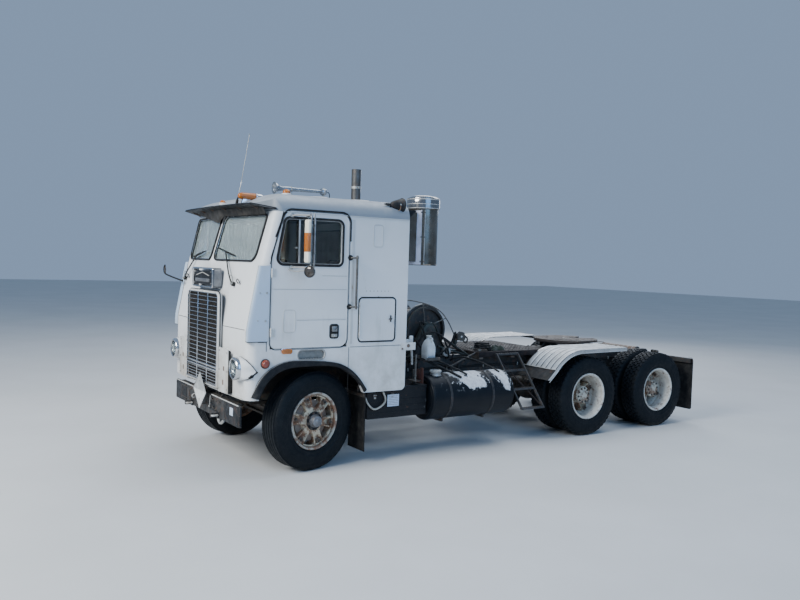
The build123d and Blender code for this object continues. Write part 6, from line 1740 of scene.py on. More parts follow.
        # weathered pale label with faint rules
        p.box(1.0262, 1.0274, 0.985, 1.140, 0.598, 0.732, "label_white", 0.0004, 1)
        for i in range(6):
            p.box(1.0273, 1.0277, 1.000, 1.125, 0.616 + i * 0.019, 0.6195 + i * 0.019, "placard_line", 0.0, 1)
    p.box(0.594, 1.026, 0.714, 1.146, 0.752, 0.778, "black_paint", 0.004)
    p.box(0.594, 1.026, 1.144, 1.530, 0.792, 0.8185, "black_paint", 0.004)
    for y in (0.82, 1.05):
        p.box(1.018, 1.024, y - 0.018, y + 0.018, 0.690, 0.768, "cast_steel", 0.002)
        p.cyl((1.026, y - 0.022, 0.735), (1.026, y + 0.022, 0.735), 0.005, "zinc", 8)
        p.box(1.018, 1.030, y - 0.012, y + 0.012, 0.700, 0.716, "zinc", 0.002)
    # step plate on the lid
    p.box(0.80, 1.022, 0.76, 1.125, 0.7775, 0.7815, "cast_steel", 0.001)
    for i in range(9):
        for j in range(13):
            x, y = 0.815 + i * 0.0240, 0.775 + j * 0.0270
            d = 0.006 if (i + j) % 2 else -0.006
            p.fixed([(x - 0.007, y - d, 0.7813), (x + 0.007, y + d, 0.7813), (x, y, 0.7835), (x + 0.002 - 0.007, y - d + 0.003, 0.7813),
                     (x + 0.002 + 0.007, y + d + 0.003, 0.7813)], [(0, 1, 2), (3, 4, 2), (0, 3, 2), (1, 4, 2)], "cast_steel")
    # pressed ribs on the outer side
    for z in (0.53, 0.60, 0.67):
        p.box(1.0185, 1.0225, 0.75, 1.500, z - 0.007, z + 0.007, "black_paint", 0.0018)
    for y in (0.82, 1.19):
        for x in (0.46, 0.54):
            p.bolt((x, y, 0.775), (0, 0, 1), "cast_steel", 0.010, 0.008)
    p.done()

# ----------------------------------------------------------------------------
# frame rails: bolt rows, brackets, hoses, air tanks, brakes
# ----------------------------------------------------------------------------
p = Piece("frame_details", "chassis", "frame_steel")
for s in (1, -1):
    p.m = mirror_x(s)
    for y0 in (1.70, 2.77, 3.47, 4.70, 5.82):
        for dy in (0.02, 0.08):
            for z in (0.80, 0.875, 0.95):
                p.bolt((0.432, y0 + dy, z), (1, 0, 0), "cast_steel", 0.010, 0.009)
    for y in (0.60, 0.69, -0.62, -0.54):
        for z in (0.78, 0.95):
            p.bolt((0.432, y, z), (1, 0, 0), "cast_steel", 0.011, 0.010)
    # hinge bracket on the front end and spring hanger plates
    for y in (-0.645, 0.645):
        p.box(0.4325, 0.4400, y - 0.065, y + 0.065, 0.745, 0.900, "frame_steel", 0.003)
        for dy in (-0.04, 0.04):
            for z in (0.79, 0.86):
                p.bolt((0.440, y + dy, z), (1, 0, 0), "cast_steel", 0.010, 0.009)
    # saddle plates of the rear suspension
    for dy in (-0.07, 0.07):
        for z in (0.77, 0.84, 0.91):
            p.bolt((0.432, 4.793 + dy, z), (1, 0, 0), "cast_steel", 0.013, 0.011)
    # clips with two brake pipes along the web
    for k, z in enumerate((0.915, 0.895)):
        pts = [(0.4385, 0.95 + 0.42 * i, z + 0.002 * math.sin(i * 1.7 + k)) for i in range(12)]
        p.tube(pts, 0.0055, "hose", k=8, smooth=1)
    for i in range(8):
        y = 1.05 + i * 0.60
        p.box(0.4325, 0.4460, y - 0.008, y + 0.008, 0.885, 0.925, "zinc", 0.001)
p.m = None
# air tanks between and beside the rails
for x, y0, y1, z in ((0.20, 2.92, 3.42, 0.86), (-0.20, 2.92, 3.42, 0.86)):
    p.lathe([(y0, 0.0), (y0 + 0.006, 0.05), (y0 + 0.03, 0.098), (y0 + 0.055, 0.112), (y0 + 0.060, 0.1145), (y0 + 0.066, 0.112), (y1 - 0.066, 0.112),
             (y1 - 0.060, 0.1145), (y1 - 0.055, 0.112), (y1 - 0.03, 0.098), (y1 - 0.006, 0.05), (y1, 0.0)], (x, 0, z), "y", "air_tank", 36)
    for y in (y0 + 0.13, y1 - 0.13):
        p.lathe([(y - 0.014, 0.1125), (y - 0.014, 0.1155), (y + 0.014, 0.1155), (y + 0.014, 0.1125)], (x, 0, z), "y", "cast_steel", 36, closed=True)
        p.box(x - 0.02, x + 0.02, y - 0.014, y + 0.014, z + 0.110, 1.002, "cast_steel", 0.002)
        p.box(min(x, math.copysign(0.35, x)), max(x, math.copysign(0.35, x)), y - 0.016, y + 0.016, 0.990, 1.002, "cast_steel", 0.002)
    p.cyl((x, (y0 + y1) / 2, z - 0.124), (x, (y0 + y1) / 2, z - 0.108), 0.009, "zinc", 8)
    p.tube([(x, y1 - 0.01, z + 0.02), (x, y1 + 0.05, z + 0.02), (x * 1.3, y1 + 0.12, z + 0.05), (math.copysign(0.330, x), y1 + 0.16, z + 0.06)], 0.008, "hose",
           k=8, smooth=3)
# cables and a hose bundle along the left rail into the deck
for k, (z, x) in enumerate(((0.93, 0.33), (0.905, 0.325), (0.955, 0.335))):
    p.tube([(x, 1.0, z - 0.02), (x, 1.6, z), (x - 0.005, 2.4, z - 0.012), (x, 3.2, z), (x - 0.004, 4.2, z - 0.010), (x, 5.2, z), (x, 6.0, z - 0.02)],
           0.008, "hose", k=8, smooth=2)
p.done()

p = Piece("brakes_and_springs", "chassis", "cast_steel")
for s in (1, -1):
    p.m = mirror_x(s)
    # U bolts and clips of the front spring; its leaves are not drawn
    for k, (half, z) in enumerate(((0.52, 0.640), (0.43, 0.628), (0.34, 0.616), (0.25, 0.605))):
        pass
    for y in (-0.075, 0.075):
        for x in (0.382, 0.478):
            p.cyl((x, y, 0.470), (x, y, 0.668), 0.009, "cast_steel", 10)
            p.cyl((x, y, 0.478), (x, y, 0.496), 0.016, "cast_steel", 6)
        p.tube([(0.382, y, 0.660), (0.386, y, 0.672), (0.43, y, 0.6765), (0.474, y, 0.672), (0.478, y, 0.660)], 0.009, "cast_steel", k=10, smooth=1)
    p.box(0.370, 0.490, -0.10, 0.10, 0.4965, 0.5045, "cast_steel", 0.003)
    for y in (-0.30, 0.30):
        p.box(0.384, 0.476, y - 0.014, y + 0.014, 0.612, 0.684, "cast_steel", 0.003)
    for y, z in ((-0.645, 0.712), (0.645, 0.712)):
        p.cyl((0.384, y, z), (0.476, y, z), 0.016, "cast_steel", 14)
        p.cyl((0.380, y, z), (0.386, y, z), 0.026, "cast_steel", 6)
        p.cyl((0.474, y, z), (0.480, y, z), 0.026, "cast_steel", 6)
    # shock absorber of the front axle
    p.cyl((0.520, 0.10, 0.520), (0.500, 0.40, 0.760), 0.024, "cast_steel", 18)
    p.cyl((0.509, 0.27, 0.655), (0.495, 0.47, 0.816), 0.031, "black_paint", 18)
    p.box(0.434, 0.520, 0.445, 0.495, 0.795, 0.840, "frame_steel", 0.004)
    # brake chambers of the drive axles, standing off the housing
    for i, y in enumerate(AXLES):
        d = 1 if i else -1
        c = Vector((0.360, y + d * 0.235, 0.560))
        p.lathe([(0.0, 0.0), (0.0, 0.055), (0.030, 0.080), (0.058, 0.084), (0.062, 0.090), (0.070, 0.090), (0.074, 0.084), (0.130, 0.084), (0.134, 0.088),
                 (0.142, 0.088), (0.146, 0.082), (0.190, 0.070), (0.200, 0.030), (0.200, 0.0)], (c.x - 0.20, c.y, c.z), "x", "cast_steel", 28)
        p.cyl(c, c + Vector((0.06, 0, 0)), 0.009, "zinc", 10)
        p.box(c.x - 0.02, c.x + 0.01, min(c.y, y), max(c.y, y), 0.545, 0.575, "cast_steel", 0.004)
        p.tube([(c.x - 0.12, c.y, c.z + 0.084), (c.x - 0.12, c.y, 0.70), (c.x - 0.02, c.y + d * 0.02, 0.80), (0.345, c.y + d * 0.02, 0.86)], 0.010, "hose",
               k=8, smooth=3)
        # anchor plate bolts and axle clamp caps on the walking beam
        p.lathe([(0.4640, 0.064), (0.4640, 0.088), (0.4680, 0.090)], (0, y, TYRE_R), "x", "cast_steel", 36)
        p.lathe([(0.5445, 0.090), (0.5520, 0.088), (0.5560, 0.064)], (0, y, TYRE_R), "x", "cast_steel", 36)
        for k in range(8):
            a = 2 * math.pi * k / 8
            p.bolt((0.5960, y + 0.155 * math.cos(a), TYRE_R + 0.155 * math.sin(a)), (1, 0, 0), "cast_steel", 0.009, 0.006, False)
    # centre bush of the walking beam
    p.cyl((0.455, 4.793, 0.525), (0.560, 4.793, 0.525), 0.062, "cast_steel", 32, bev=0.006)
    p.cyl((0.558, 4.793, 0.525), (0.572, 4.793, 0.525), 0.030, "cast_steel", 6)
    # front brake chamber on the front axle's side of the king pin
    p.lathe([(0.0, 0.0), (0.0, 0.050), (0.024, 0.072), (0.048, 0.076), (0.052, 0.082), (0.060, 0.082), (0.064, 0.076), (0.100, 0.064), (0.108, 0.0)],
            (0.560, -0.125, 0.555), "x", "cast_steel", 26)
    p.box(0.600, 0.625, -0.125, -0.04, 0.540, 0.572, "cast_steel", 0.004)
p.m = None
# torque rods and rear covers of the drive axles
for i, y in enumerate(AXLES):
    d = 1 if i else -1
    p.lathe([(0.0, 0.210), (0.012, 0.206), (0.030, 0.168), (0.048, 0.110), (0.056, 0.0)] if i else [(0.0, 0.210), (-0.012, 0.206), (-0.022, 0.205)],
            (0, y + (0.060 if i else -0.060), TYRE_R), "y", "cast_steel", 44)
    for k in range(12):
        a = 2 * math.pi * (k + 0.5) / 12
        yy = y + d * 0.105
        rr = 0.186
        p.bolt((rr * math.cos(a), yy, TYRE_R + rr * math.sin(a)), (0, d, 0), "cast_steel", 0.008, 0.008, False)
    p.cyl((0.0, y, TYRE_R + 0.205), (0.0, y, TYRE_R + 0.235), 0.032, "cast_steel", 24, bev=0.004)
    p.cyl((0.0, y, TYRE_R + 0.235), (0.0, 4.793 + (0.13 if i else -0.13), 0.905), 0.021, "cast_steel", 16)
p.cyl((0, 4.66, 0.905), (0, 4.93, 0.905), 0.034, "cast_steel", 20, bev=0.004)
# yokes of the prop shafts
for a, b in (((0, 1.600, 0.743), (0, 1.690, 0.737)), ((0, 3.690, 0.596), (0, 3.755, 0.592))):
    a, b = Vector(a), Vector(b)
    p.cyl(a, b, 0.062, "cast_steel", 24, bev=0.006)
    m = (a + b) / 2
    p.cyl(m + Vector((-0.078, 0, 0)), m + Vector((0.078, 0, 0)), 0.022, "cast_steel", 16)
    p.cyl(m + Vector((0, 0, -0.078)), m + Vector((0, 0, 0.078)), 0.022, "cast_steel", 16)
p.done()

# ----------------------------------------------------------------------------
# winch: drum with its rope, brake band, side plates, sheave, hook block
# ----------------------------------------------------------------------------
WY, WZ = WINCH_Y, WINCH_Z
p = Piece("winch_rope", "winch_drum", "rope")
rows, base, d = 25, 0.215, 0.0225
prof = []
for layer in range(1):
    for i in range(rows):
        x = -0.2875 + 0.575 * (i + 0.5) / rows
        for k in range(5):
            a = math.pi * k / 4
            prof.append((x - 0.0112 * math.cos(a), base + 0.012 + 0.0112 * math.sin(a)))
p.lathe([(-0.2985, base + 0.003)] + prof + [(0.2985, base + 0.003)], (0, WY, WZ), "x", "rope", 56)
# two and a half wraps of the next layer, ending in a clip on the flange
turns, pts = 9.5, []
for i in range(int(turns * 28) + 1):
    a = 2 * math.pi * i / 28
    x = -0.285 + 0.0235 * i / 28
    r = base + 0.0335
    pts.append((x, WY + r * math.cos(a), WZ + r * math.sin(a)))
p.tube(pts, 0.0108, "rope", k=7)
e = Vector(pts[-1])
p.ball(e, 0.0155, "rope", 10)
p.done(angle=60)

p = Piece("winch_drum_details", "winch_drum", "winch_green")
for s in (1, -1):
    p.m = mirror_x(s)
    # rolled rim of the flange, worn bright
    p.lathe([(0.300, 0.316), (0.2985, 0.3225), (0.303, 0.3268), (0.319, 0.3268), (0.3235, 0.3225), (0.322, 0.316)], (0, WY, WZ), "x", "worn_rim", 96)
    # ring and ribs on the outer face of the flange
    p.lathe([(0.3222, 0.236), (0.3275, 0.236), (0.3285, 0.2345), (0.3285, 0.2285), (0.3275, 0.227), (0.3222, 0.227)], (0, WY, WZ), "x", "worn_rim", 80)
    for k in range(8):
        a = 2 * math.pi * k / 8
        t = Vector((0, -math.sin(a), math.cos(a)))
        r0, r1 = radial(0.060, a, 0.3215), radial(0.226, a, 0.3215)
        vs = []
        for c, hgt in ((r0, 0.018), (r1, 0.0045)):
            for sg in (-1, 1):
                vs += [c + t * (0.006 * sg), c + t * (0.006 * sg) + Vector((hgt, 0, 0))]
        vs = [v + Vector((0, WY, WZ)) for v in vs]
        p.fixed(vs, [(0, 1, 5, 4), (2, 3, 7, 6), (1, 3, 7, 5), (0, 2, 3, 1), (4, 6, 7, 5)], "winch_green")
        b = a + math.pi / 8
        c = radial(0.278, b, 0.3222)
        p.bolt(c + Vector((0, WY, WZ)), (1, 0, 0), "cast_steel", 0.010, 0.006, False)
    p.lathe([(0.330, 0.044), (0.336, 0.060), (0.352, 0.060), (0.356, 0.056), (0.356, 0.044)], (0, WY, WZ), "x", "cast_steel", 36)
    p.lathe([(0.4500, 0.040), (0.4545, 0.036), (0.4545, 0.0)], (0, WY, WZ), "x", "cast_steel", 28)
    p.bolt((0.4545, WY, WZ), (1, 0, 0), "cast_steel", 0.016, 0.012)
    # scored track of the brake drum
p.m = None
for x in (0.352, 0.366, 0.378):
    p.lathe([(x - 0.002, 0.2850), (x, 0.2862), (x + 0.002, 0.2850)], (0, WY, WZ), "x", "worn_rim", 80)
p.done()

p = Piece("winch_frame_details", "chassis", "winch_green")
for s in (1, -1):
    p.m = mirror_x(s)
    # bearing housing: cap, bolts, grease nipple
    p.lathe([(0.4300, 0.112), (0.4370, 0.112), (0.4400, 0.108), (0.4400, 0.094), (0.4520, 0.088), (0.4535, 0.080), (0.4535, 0.045)], (0, WY, WZ), "x",
            "winch_green", 48)
    for k in range(6):
        a = 2 * math.pi * (k + 0.5) / 6
        p.bolt((0.4400, WY + 0.101 * math.cos(a), WZ + 0.101 * math.sin(a)), (1, 0, 0), "cast_steel", 0.0085, 0.008)
    p.cyl((0.446, WY + 0.02, WZ + 0.084), (0.446, WY + 0.03, WZ + 0.104), 0.004, "zinc", 8)
    # flange around the side plate's edge, ribs and foot bolts
    edge = [(WY - 0.300, 1.056), (WY - 0.095, WZ + 0.060), (WY - 0.060, WZ + 0.095), (WY + 0.060, WZ + 0.095), (WY + 0.095, WZ + 0.060), (WY + 0.300, 1.056)]
    for (y0, z0), (y1, z1) in zip(edge, edge[1:]):
        t = Vector((0, y1 - y0, z1 - z0)).normalized()
        nn = Vector((0, t.z, -t.y)) * -1
        a, b = Vector((0, y0, z0)), Vector((0, y1, z1))
        vs = []
        for q in (a, b):
            for x in (0.4050, 0.4560):
                vs += [q + Vector((x, 0, 0)) - nn * 0.007, q + Vector((x, 0, 0)) + nn * 0.001]
        p.fixed(vs, [(0, 2, 3, 1), (4, 5, 7, 6), (0, 1, 5, 4), (2, 6, 7, 3), (1, 3, 7, 5), (0, 4, 6, 2)], "winch_green")
    for y in (WY - 0.25, WY - 0.10, WY + 0.10, WY + 0.25):
        p.bolt((0.3580 if abs(y - WY) > 5 else 0.385, y, 1.0600), (0, 0, 1), "cast_steel", 0.012, 0.010)
    for y in (1.44, 1.62, 2.30, 2.50):
        p.bolt((0.385, y, 1.0600), (0, 0, 1), "cast_steel", 0.012, 0.010)
        # U bolts that hold the skid on the rail
        p.cyl((0.4335, y + 0.05, 0.97), (0.4335, y + 0.05, 1.075), 0.008, "cast_steel", 10)
        p.cyl((0.4335, y + 0.05, 1.058), (0.4335, y + 0.05, 1.070), 0.014, "cast_steel", 6)
        p.cyl((0.3450, y + 0.05, 1.010), (0.3450, y + 0.05, 1.075), 0.008, "cast_steel", 10)
    for dy in (-0.12, 0.12):
        vs = [(0.4302, WY + dy - 0.006, 1.060), (0.4302, WY + dy + 0.006, 1.060), (0.4302, WY + dy * 0.5 + 0.006, 1.262), (0.4302, WY + dy * 0.5 - 0.006, 1.262),
              (0.4540, WY + dy - 0.006, 1.060), (0.4540, WY + dy + 0.006, 1.060), (0.4350, WY + dy * 0.5 + 0.006, 1.262),
              (0.4350, WY + dy * 0.5 - 0.006, 1.262)]
        p.fixed(vs, [(4, 5, 6, 7), (0, 4, 7, 3), (1, 2, 6, 5), (2, 3, 7, 6), (0, 1, 5, 4)], "winch_green")
    p.box(0.345, 0.4565, WY - 0.32, WY + 0.32, 1.0600, 1.0680, "winch_green", 0.003)
p.m = None
# left side: struts, rope sheave low down, and the hook block hung on the brace
bar_between(p, (0.448, 2.092, 1.184), (0.448, 2.533, 1.060), 0.013, "winch_green")
bar_between(p, (0.462, 2.300, 1.215), (0.462, 2.640, 1.012), 0.011, "winch_green")
c = Vector((0.470, 2.207, 1.115))
p.lathe([(-0.016, 0.030), (-0.016, 0.062), (-0.008, 0.062), (-0.006, 0.050), (0.006, 0.050), (0.008, 0.062), (0.016, 0.062), (0.016, 0.030)], c, "x", "worn_rim", 36)
p.cyl(c + Vector((-0.040, 0, 0)), c + Vector((0.024, 0, 0)), 0.016, "cast_steel", 18)
p.cyl(c + Vector((0.022, 0, 0)), c + Vector((0.034, 0, 0)), 0.022, "cast_steel", 6)
p.box(0.4560, 0.4620, 2.150, 2.264, 1.062, 1.165, "winch_green", 0.003)
for y, z, dy in ((2.43, 1.300, 0.0),):
    # snatch block: two cheeks with a sheave between, and its hook
    for x in (0.452, 0.486):
        pts = [(y - 0.055, z - 0.045), (y + 0.050, z - 0.062), (y + 0.072, z - 0.010), (y + 0.050, z + 0.050), (y - 0.010, z + 0.066), (y - 0.060, z + 0.030)]
        p.prism(pts, "x", x, x + 0.006, "cast_steel", 0.002, 1)
    p.lathe([(-0.012, 0.0), (-0.012, 0.050), (-0.004, 0.050), (0.0, 0.042), (0.004, 0.050), (0.012, 0.050), (0.012, 0.0)], (0.472, y, z), "x", "worn_rim", 30)
    p.cyl((0.446, y, z), (0.498, y, z), 0.013, "worn_white", 14)
    p.tube([(0.472, y + 0.060, z + 0.010), (0.472, y + 0.095, z - 0.004), (0.472, y + 0.118, z - 0.040), (0.472, y + 0.100, z - 0.078),
            (0.472, y + 0.066, z - 0.078), (0.472, y + 0.054, z - 0.056)], 0.010, "cast_steel", k=10, smooth=3)
    p.box(0.4300, 0.4530, y - 0.075, y - 0.035, z - 0.10, z + 0.02, "winch_green", 0.004)
    p.box(0.4060, 0.4320, y - 0.075, y - 0.035, z - 0.14, z + 0.02, "winch_green", 0.004)
    bar_between(p, (0.418, y - 0.055, z - 0.12), (0.418, y - 0.055, 1.160), 0.016, "winch_green")
# thin guard hoop over the front of the drum, and hydraulic hoses looped beside the side plate
hoop = [(0.430, 1.530, 1.050), (0.432, 1.530, 1.560), (0.445, 1.548, 1.735), (0.455, 1.610, 1.769), (0.455, 1.715, 1.754), (0.455, 1.836, 1.731), (0.455, 1.944, 1.704), (0.455, 2.039, 1.668), (0.455, 2.135, 1.609), (0.455, 2.201, 1.540), (0.455, 2.268, 1.450), (0.455, 2.303, 1.385), (0.446, 2.368, 1.292)]
p.tube(hoop, 0.0075, "rail_steel", k=8, smooth=2)
for q, e in ((hoop[5], (0.424, 1.900, 1.455)), (hoop[9], (0.424, 1.985, 1.450))):
    p.tube([q, e], 0.006, "rail_steel", k=8)
for pts, r in (([(0.445, 1.660, 1.030), (0.490, 1.665, 1.060), (0.515, 1.683, 1.133), (0.515, 1.766, 1.303), (0.515, 1.914, 1.386), (0.515, 2.086, 1.345), (0.515, 2.186, 1.203), (0.490, 2.245, 1.045), (0.445, 2.250, 1.030)], 0.0120),
               ([(0.428, 1.900, 1.440), (0.480, 1.820, 1.500), (0.530, 1.718, 1.503), (0.530, 1.812, 1.402), (0.530, 1.848, 1.253), (0.530, 1.960, 1.124), (0.500, 2.120, 1.060), (0.445, 2.130, 1.030)], 0.0105),
               ([(0.450, 2.368, 1.270), (0.500, 2.330, 1.350), (0.545, 2.282, 1.368), (0.545, 2.240, 1.242), (0.545, 2.150, 1.144), (0.500, 1.990, 1.050), (0.445, 1.980, 1.030)], 0.0120),
               ([(0.432, 1.480, 1.040), (0.445, 1.485, 1.150), (0.520, 1.530, 1.320), (0.560, 1.614, 1.348), (0.560, 1.723, 1.223), (0.560, 1.817, 1.108), (0.500, 2.020, 1.036), (0.445, 2.040, 1.030)], 0.0090)):
    p.tube(pts, r, "rubber", k=10, smooth=3)
    for q in (pts[0], pts[-1]):
        p.ball(q, r * 1.5, "cast_steel", 10)
# brake band: lining, strap, lever and its rod
p.lathe([(0.3470, 0.2875), (0.3470, 0.2930), (0.3830, 0.2930), (0.3830, 0.2875)], (0, WY, WZ), "x", "winch_green", 72, closed=True, a0=math.radians(-60),
        a1=math.radians(235))
for a in (math.radians(-60), math.radians(235)):
    c = radial(0.292, a, 0.365) + Vector((0, WY, WZ))
    p.box(c.x - 0.016, c.x + 0.016, c.y - 0.012, c.y + 0.012, c.z - 0.020, c.z + 0.012, "cast_steel", 0.003)
ca, cb = radial(0.300, math.radians(-60), 0.365) + Vector((0, WY, WZ)), radial(0.300, math.radians(235), 0.365) + Vector((0, WY, WZ))
p.cyl(ca, Vector((0.365, WY - 0.05, 1.10)), 0.010, "cast_steel", 10)
p.cyl(cb, Vector((0.365, WY - 0.05, 1.10)), 0.010, "cast_steel", 10)
p.box(0.352, 0.378, WY - 0.09, WY - 0.01, 1.068, 1.112, "winch_green", 0.004)
# control levers beside the right leg
for k, x in enumerate((-0.470, -0.505)):
    p.cyl((x, WY + 0.22, 1.06), (x, WY + 0.30 + 0.03 * k, 1.42), 0.008, "cast_steel", 10)
    p.ball((x, WY + 0.30 + 0.03 * k, 1.430), 0.020, "dial", 14)
p.box(-0.530, -0.428, WY + 0.19, WY + 0.25, 1.055, 1.078, "winch_green", 0.004)
p.done()

p = Piece("winch_drive_details", "chassis", "winch_green")
for k in range(12):
    a = 2 * math.pi * (k + 0.5) / 12
    y, z = WY + 0.194 * math.cos(a), WZ + 0.194 * math.sin(a)
    if z > WZ - 0.12:
        p.bolt((-0.560, y, z), (-1, 0, 0), "cast_steel", 0.008, 0.007, False)
p.lathe([(-0.560, 0.170), (-0.5645, 0.168), (-0.5645, 0.150), (-0.560, 0.148)], (0, WY, WZ), "x", "winch_green", 64)
p.lathe([(-0.548, 0.2100), (-0.548, 0.2160), (-0.538, 0.2160), (-0.538, 0.2100)], (0, WY, WZ), "x", "winch_green", 72)
p.lathe([(-0.600, 0.060), (-0.606, 0.056), (-0.606, 0.0)], (0, WY - 0.040, WZ - 0.060), "x", "cast_steel", 32)
for k in range(6):
    a = 2 * math.pi * k / 6
    p.bolt((-0.600, WY - 0.040 + 0.068 * math.cos(a), WZ - 0.060 + 0.068 * math.sin(a)), (-1, 0, 0), "cast_steel", 0.006, 0.005, False)
for z in (1.06, 1.16, 1.26, 1.34):
    for y in (WY - 0.137, WY + 0.137):
        p.bolt((-0.545, y, z), (-1, 0, 0), "cast_steel", 0.0075, 0.006, False)
p.cyl((-0.508, WY + 0.02, WZ + 0.205), (-0.508, WY + 0.02, WZ + 0.232), 0.014, "zinc", 6)
p.cyl((-0.545, WY, 1.075), (-0.556, WY, 1.075), 0.013, "zinc", 6)
p.done()

# ----------------------------------------------------------------------------
# behind the cab: jug, exhaust, air cleaner
# ----------------------------------------------------------------------------
p = Piece("water_jug", "chassis", "jug_plastic")
jx, jy, jz = 0.785, 1.705, 1.075
sec = [(0.000, 0.068, 0.056, 0.020), (0.010, 0.074, 0.062, 0.028), (0.090, 0.076, 0.064, 0.030), (0.150, 0.076, 0.064, 0.032), (0.190, 0.072, 0.060, 0.036),
       (0.218, 0.056, 0.048, 0.040), (0.238, 0.036, 0.034, 0.034), (0.246, 0.026, 0.026, 0.029), (0.266, 0.025, 0.025, 0.027)]
vs, fs, n = [], [], 40
for h, a, b, r in sec:
    for k in range(n):
        t = 2 * math.pi * k / n
        c, s = math.cos(t), math.sin(t)
        e = 0.42 if h < 0.19 else 0.8
        vs.append((jx + a * math.copysign(abs(c) ** e, c), jy + b * math.copysign(abs(s) ** e, s), jz + h))
for i in range(len(sec) - 1):
    for k in range(n):
        fs.append((i * n + k, i * n + (k + 1) % n, (i + 1) * n + (k + 1) % n, (i + 1) * n + k))
fs.append(tuple(range(n))[::-1])
fs.append(tuple((len(sec) - 1) * n + k for k in range(n)))
p.fixed(vs, fs, "jug_plastic")
p.lathe([(jz + 0.260, 0.030), (jz + 0.284, 0.030), (jz + 0.288, 0.026), (jz + 0.288, 0.0)], (jx, jy, 0), "z", "jug_cap", 24)
p.tube([(jx + 0.058, jy, jz + 0.208), (jx + 0.078, jy, jz + 0.242), (jx + 0.062, jy, jz + 0.262), (jx + 0.022, jy, jz + 0.252)], 0.009, "jug_plastic", k=10, smooth=3)
# shelf that carries the jug, bolted to the rail
p.box(0.660, 0.905, 1.610, 1.800, 1.067, 1.075, "cast_steel", 0.002)
p.box(0.660, 0.668, 1.610, 1.800, 1.067, 1.110, "cast_steel", 0.002)
p.box(0.897, 0.905, 1.610, 1.800, 1.067, 1.110, "cast_steel", 0.002)
for y in (1.625, 1.785):
    p.box(0.434, 0.670, y - 0.012, y + 0.012, 1.048, 1.068, "cast_steel", 0.003)
    p.box(0.4325, 0.4420, y - 0.020, y + 0.020, 0.940, 1.068, "cast_steel", 0.003)
    p.bolt((0.442, y, 0.970), (1, 0, 0), "cast_steel", 0.009, 0.008)
p.done()

p = Piece("exhaust_details", "chassis", "bare_alloy")
EX, EY = -0.700, 1.500
# perforated guard around the muffler's outboard half
for i in range(11):
    a = math.radians(95 + 17 * i)
    c, s = math.cos(a), math.sin(a)
    q0 = Vector((EX + 0.1330 * c, EY + 0.1330 * s, 1.470))
    q1 = Vector((EX + 0.1330 * c, EY + 0.1330 * s, 2.330))
    t = Vector((-s, c, 0)) * 0.010
    o = Vector((c, s, 0)) * 0.0022
    vs = [q0 - t, q0 + t, q1 + t, q1 - t]
    vs = vs + [v + o for v in vs]
    p.fixed(vs, [(0, 1, 2, 3), (7, 6, 5, 4), (0, 4, 5, 1), (1, 5, 6, 2), (2, 6, 7, 3), (3, 7, 4, 0)], "bare_alloy")
for z in (1.475, 1.690, 1.905, 2.120, 2.325):
    p.lathe([(z - 0.010, 0.1315), (z - 0.010, 0.1345), (z + 0.010, 0.1345), (z + 0.010, 0.1315)], (EX, EY, 0), "z", "bare_alloy", 40, closed=True,
            a0=math.radians(88), a1=math.radians(272))
# band clamps
for z, r in ((1.400, 0.0650), (2.455, 0.0650), (1.250, 0.0650), (3.20, 0.0640)):
    p.lathe([(z - 0.016, r), (z - 0.016, r + 0.004), (z + 0.016, r + 0.004), (z + 0.016, r)], (EX, EY, 0), "z", "zinc", 40, closed=True)
    p.box(EX + r, EX + r + 0.022, EY - 0.012, EY + 0.012, z - 0.014, z + 0.014, "zinc", 0.002)
    p.cyl((EX + r + 0.012, EY - 0.024, z), (EX + r + 0.012, EY + 0.024, z), 0.005, "zinc", 8)
for z in (1.56, 2.25):
    p.lathe([(z - 0.020, 0.1182), (z - 0.020, 0.1215), (z + 0.020, 0.1215), (z + 0.020, 0.1182)], (EX, EY, 0), "z", "zinc", 56, closed=True)
p.lathe([(1.410, 0.116), (1.418, 0.1195), (1.426, 0.116)], (EX, EY, 0), "z", "bare_alloy", 56)
p.lathe([(2.374, 0.116), (2.382, 0.1195), (2.390, 0.116)], (EX, EY, 0), "z", "bare_alloy", 56)
# elbow under the muffler, flexible section and the pipe to the engine
pts = [(EX, EY, 1.190), (EX, EY, 1.150), (-0.680, 1.430, 1.100), (-0.610, 1.300, 1.085), (-0.450, 1.240, 1.085), (-0.310, 1.215, 1.060), (-0.262, 1.150, 0.985),
       (-0.260, 1.050, 0.950), (-0.260, 0.825, 0.945)]
p.tube(pts, 0.050, "rusty_steel", k=18, smooth=3)
for i in range(10):
    t = i / 9
    p.torus((-0.260, 1.03 - 0.13 * t, 0.950), 0.050, 0.0055, "y", "rusty_steel", 28, 8)
# bolts and a plate on the post
for z in (1.10, 1.40, 1.90):
    p.bolt((-0.520, EY - 0.170, z), (1, 0, 0), "cast_steel", 0.009, 0.008)
p.box(-0.566, -0.514, EY - 0.196, EY - 0.144, 2.296, 2.303, "cast_steel", 0.002)
for z in (1.56, 2.25):
    p.bolt((-0.556, EY - 0.140, z - 0.020), (0, 0, -1), "cast_steel", 0.008, 0.008)
p.done()

p = Piece("air_cleaner_details", "cab", "white_plastic")
AX, AY, AR = 0.930, 1.460, 0.175
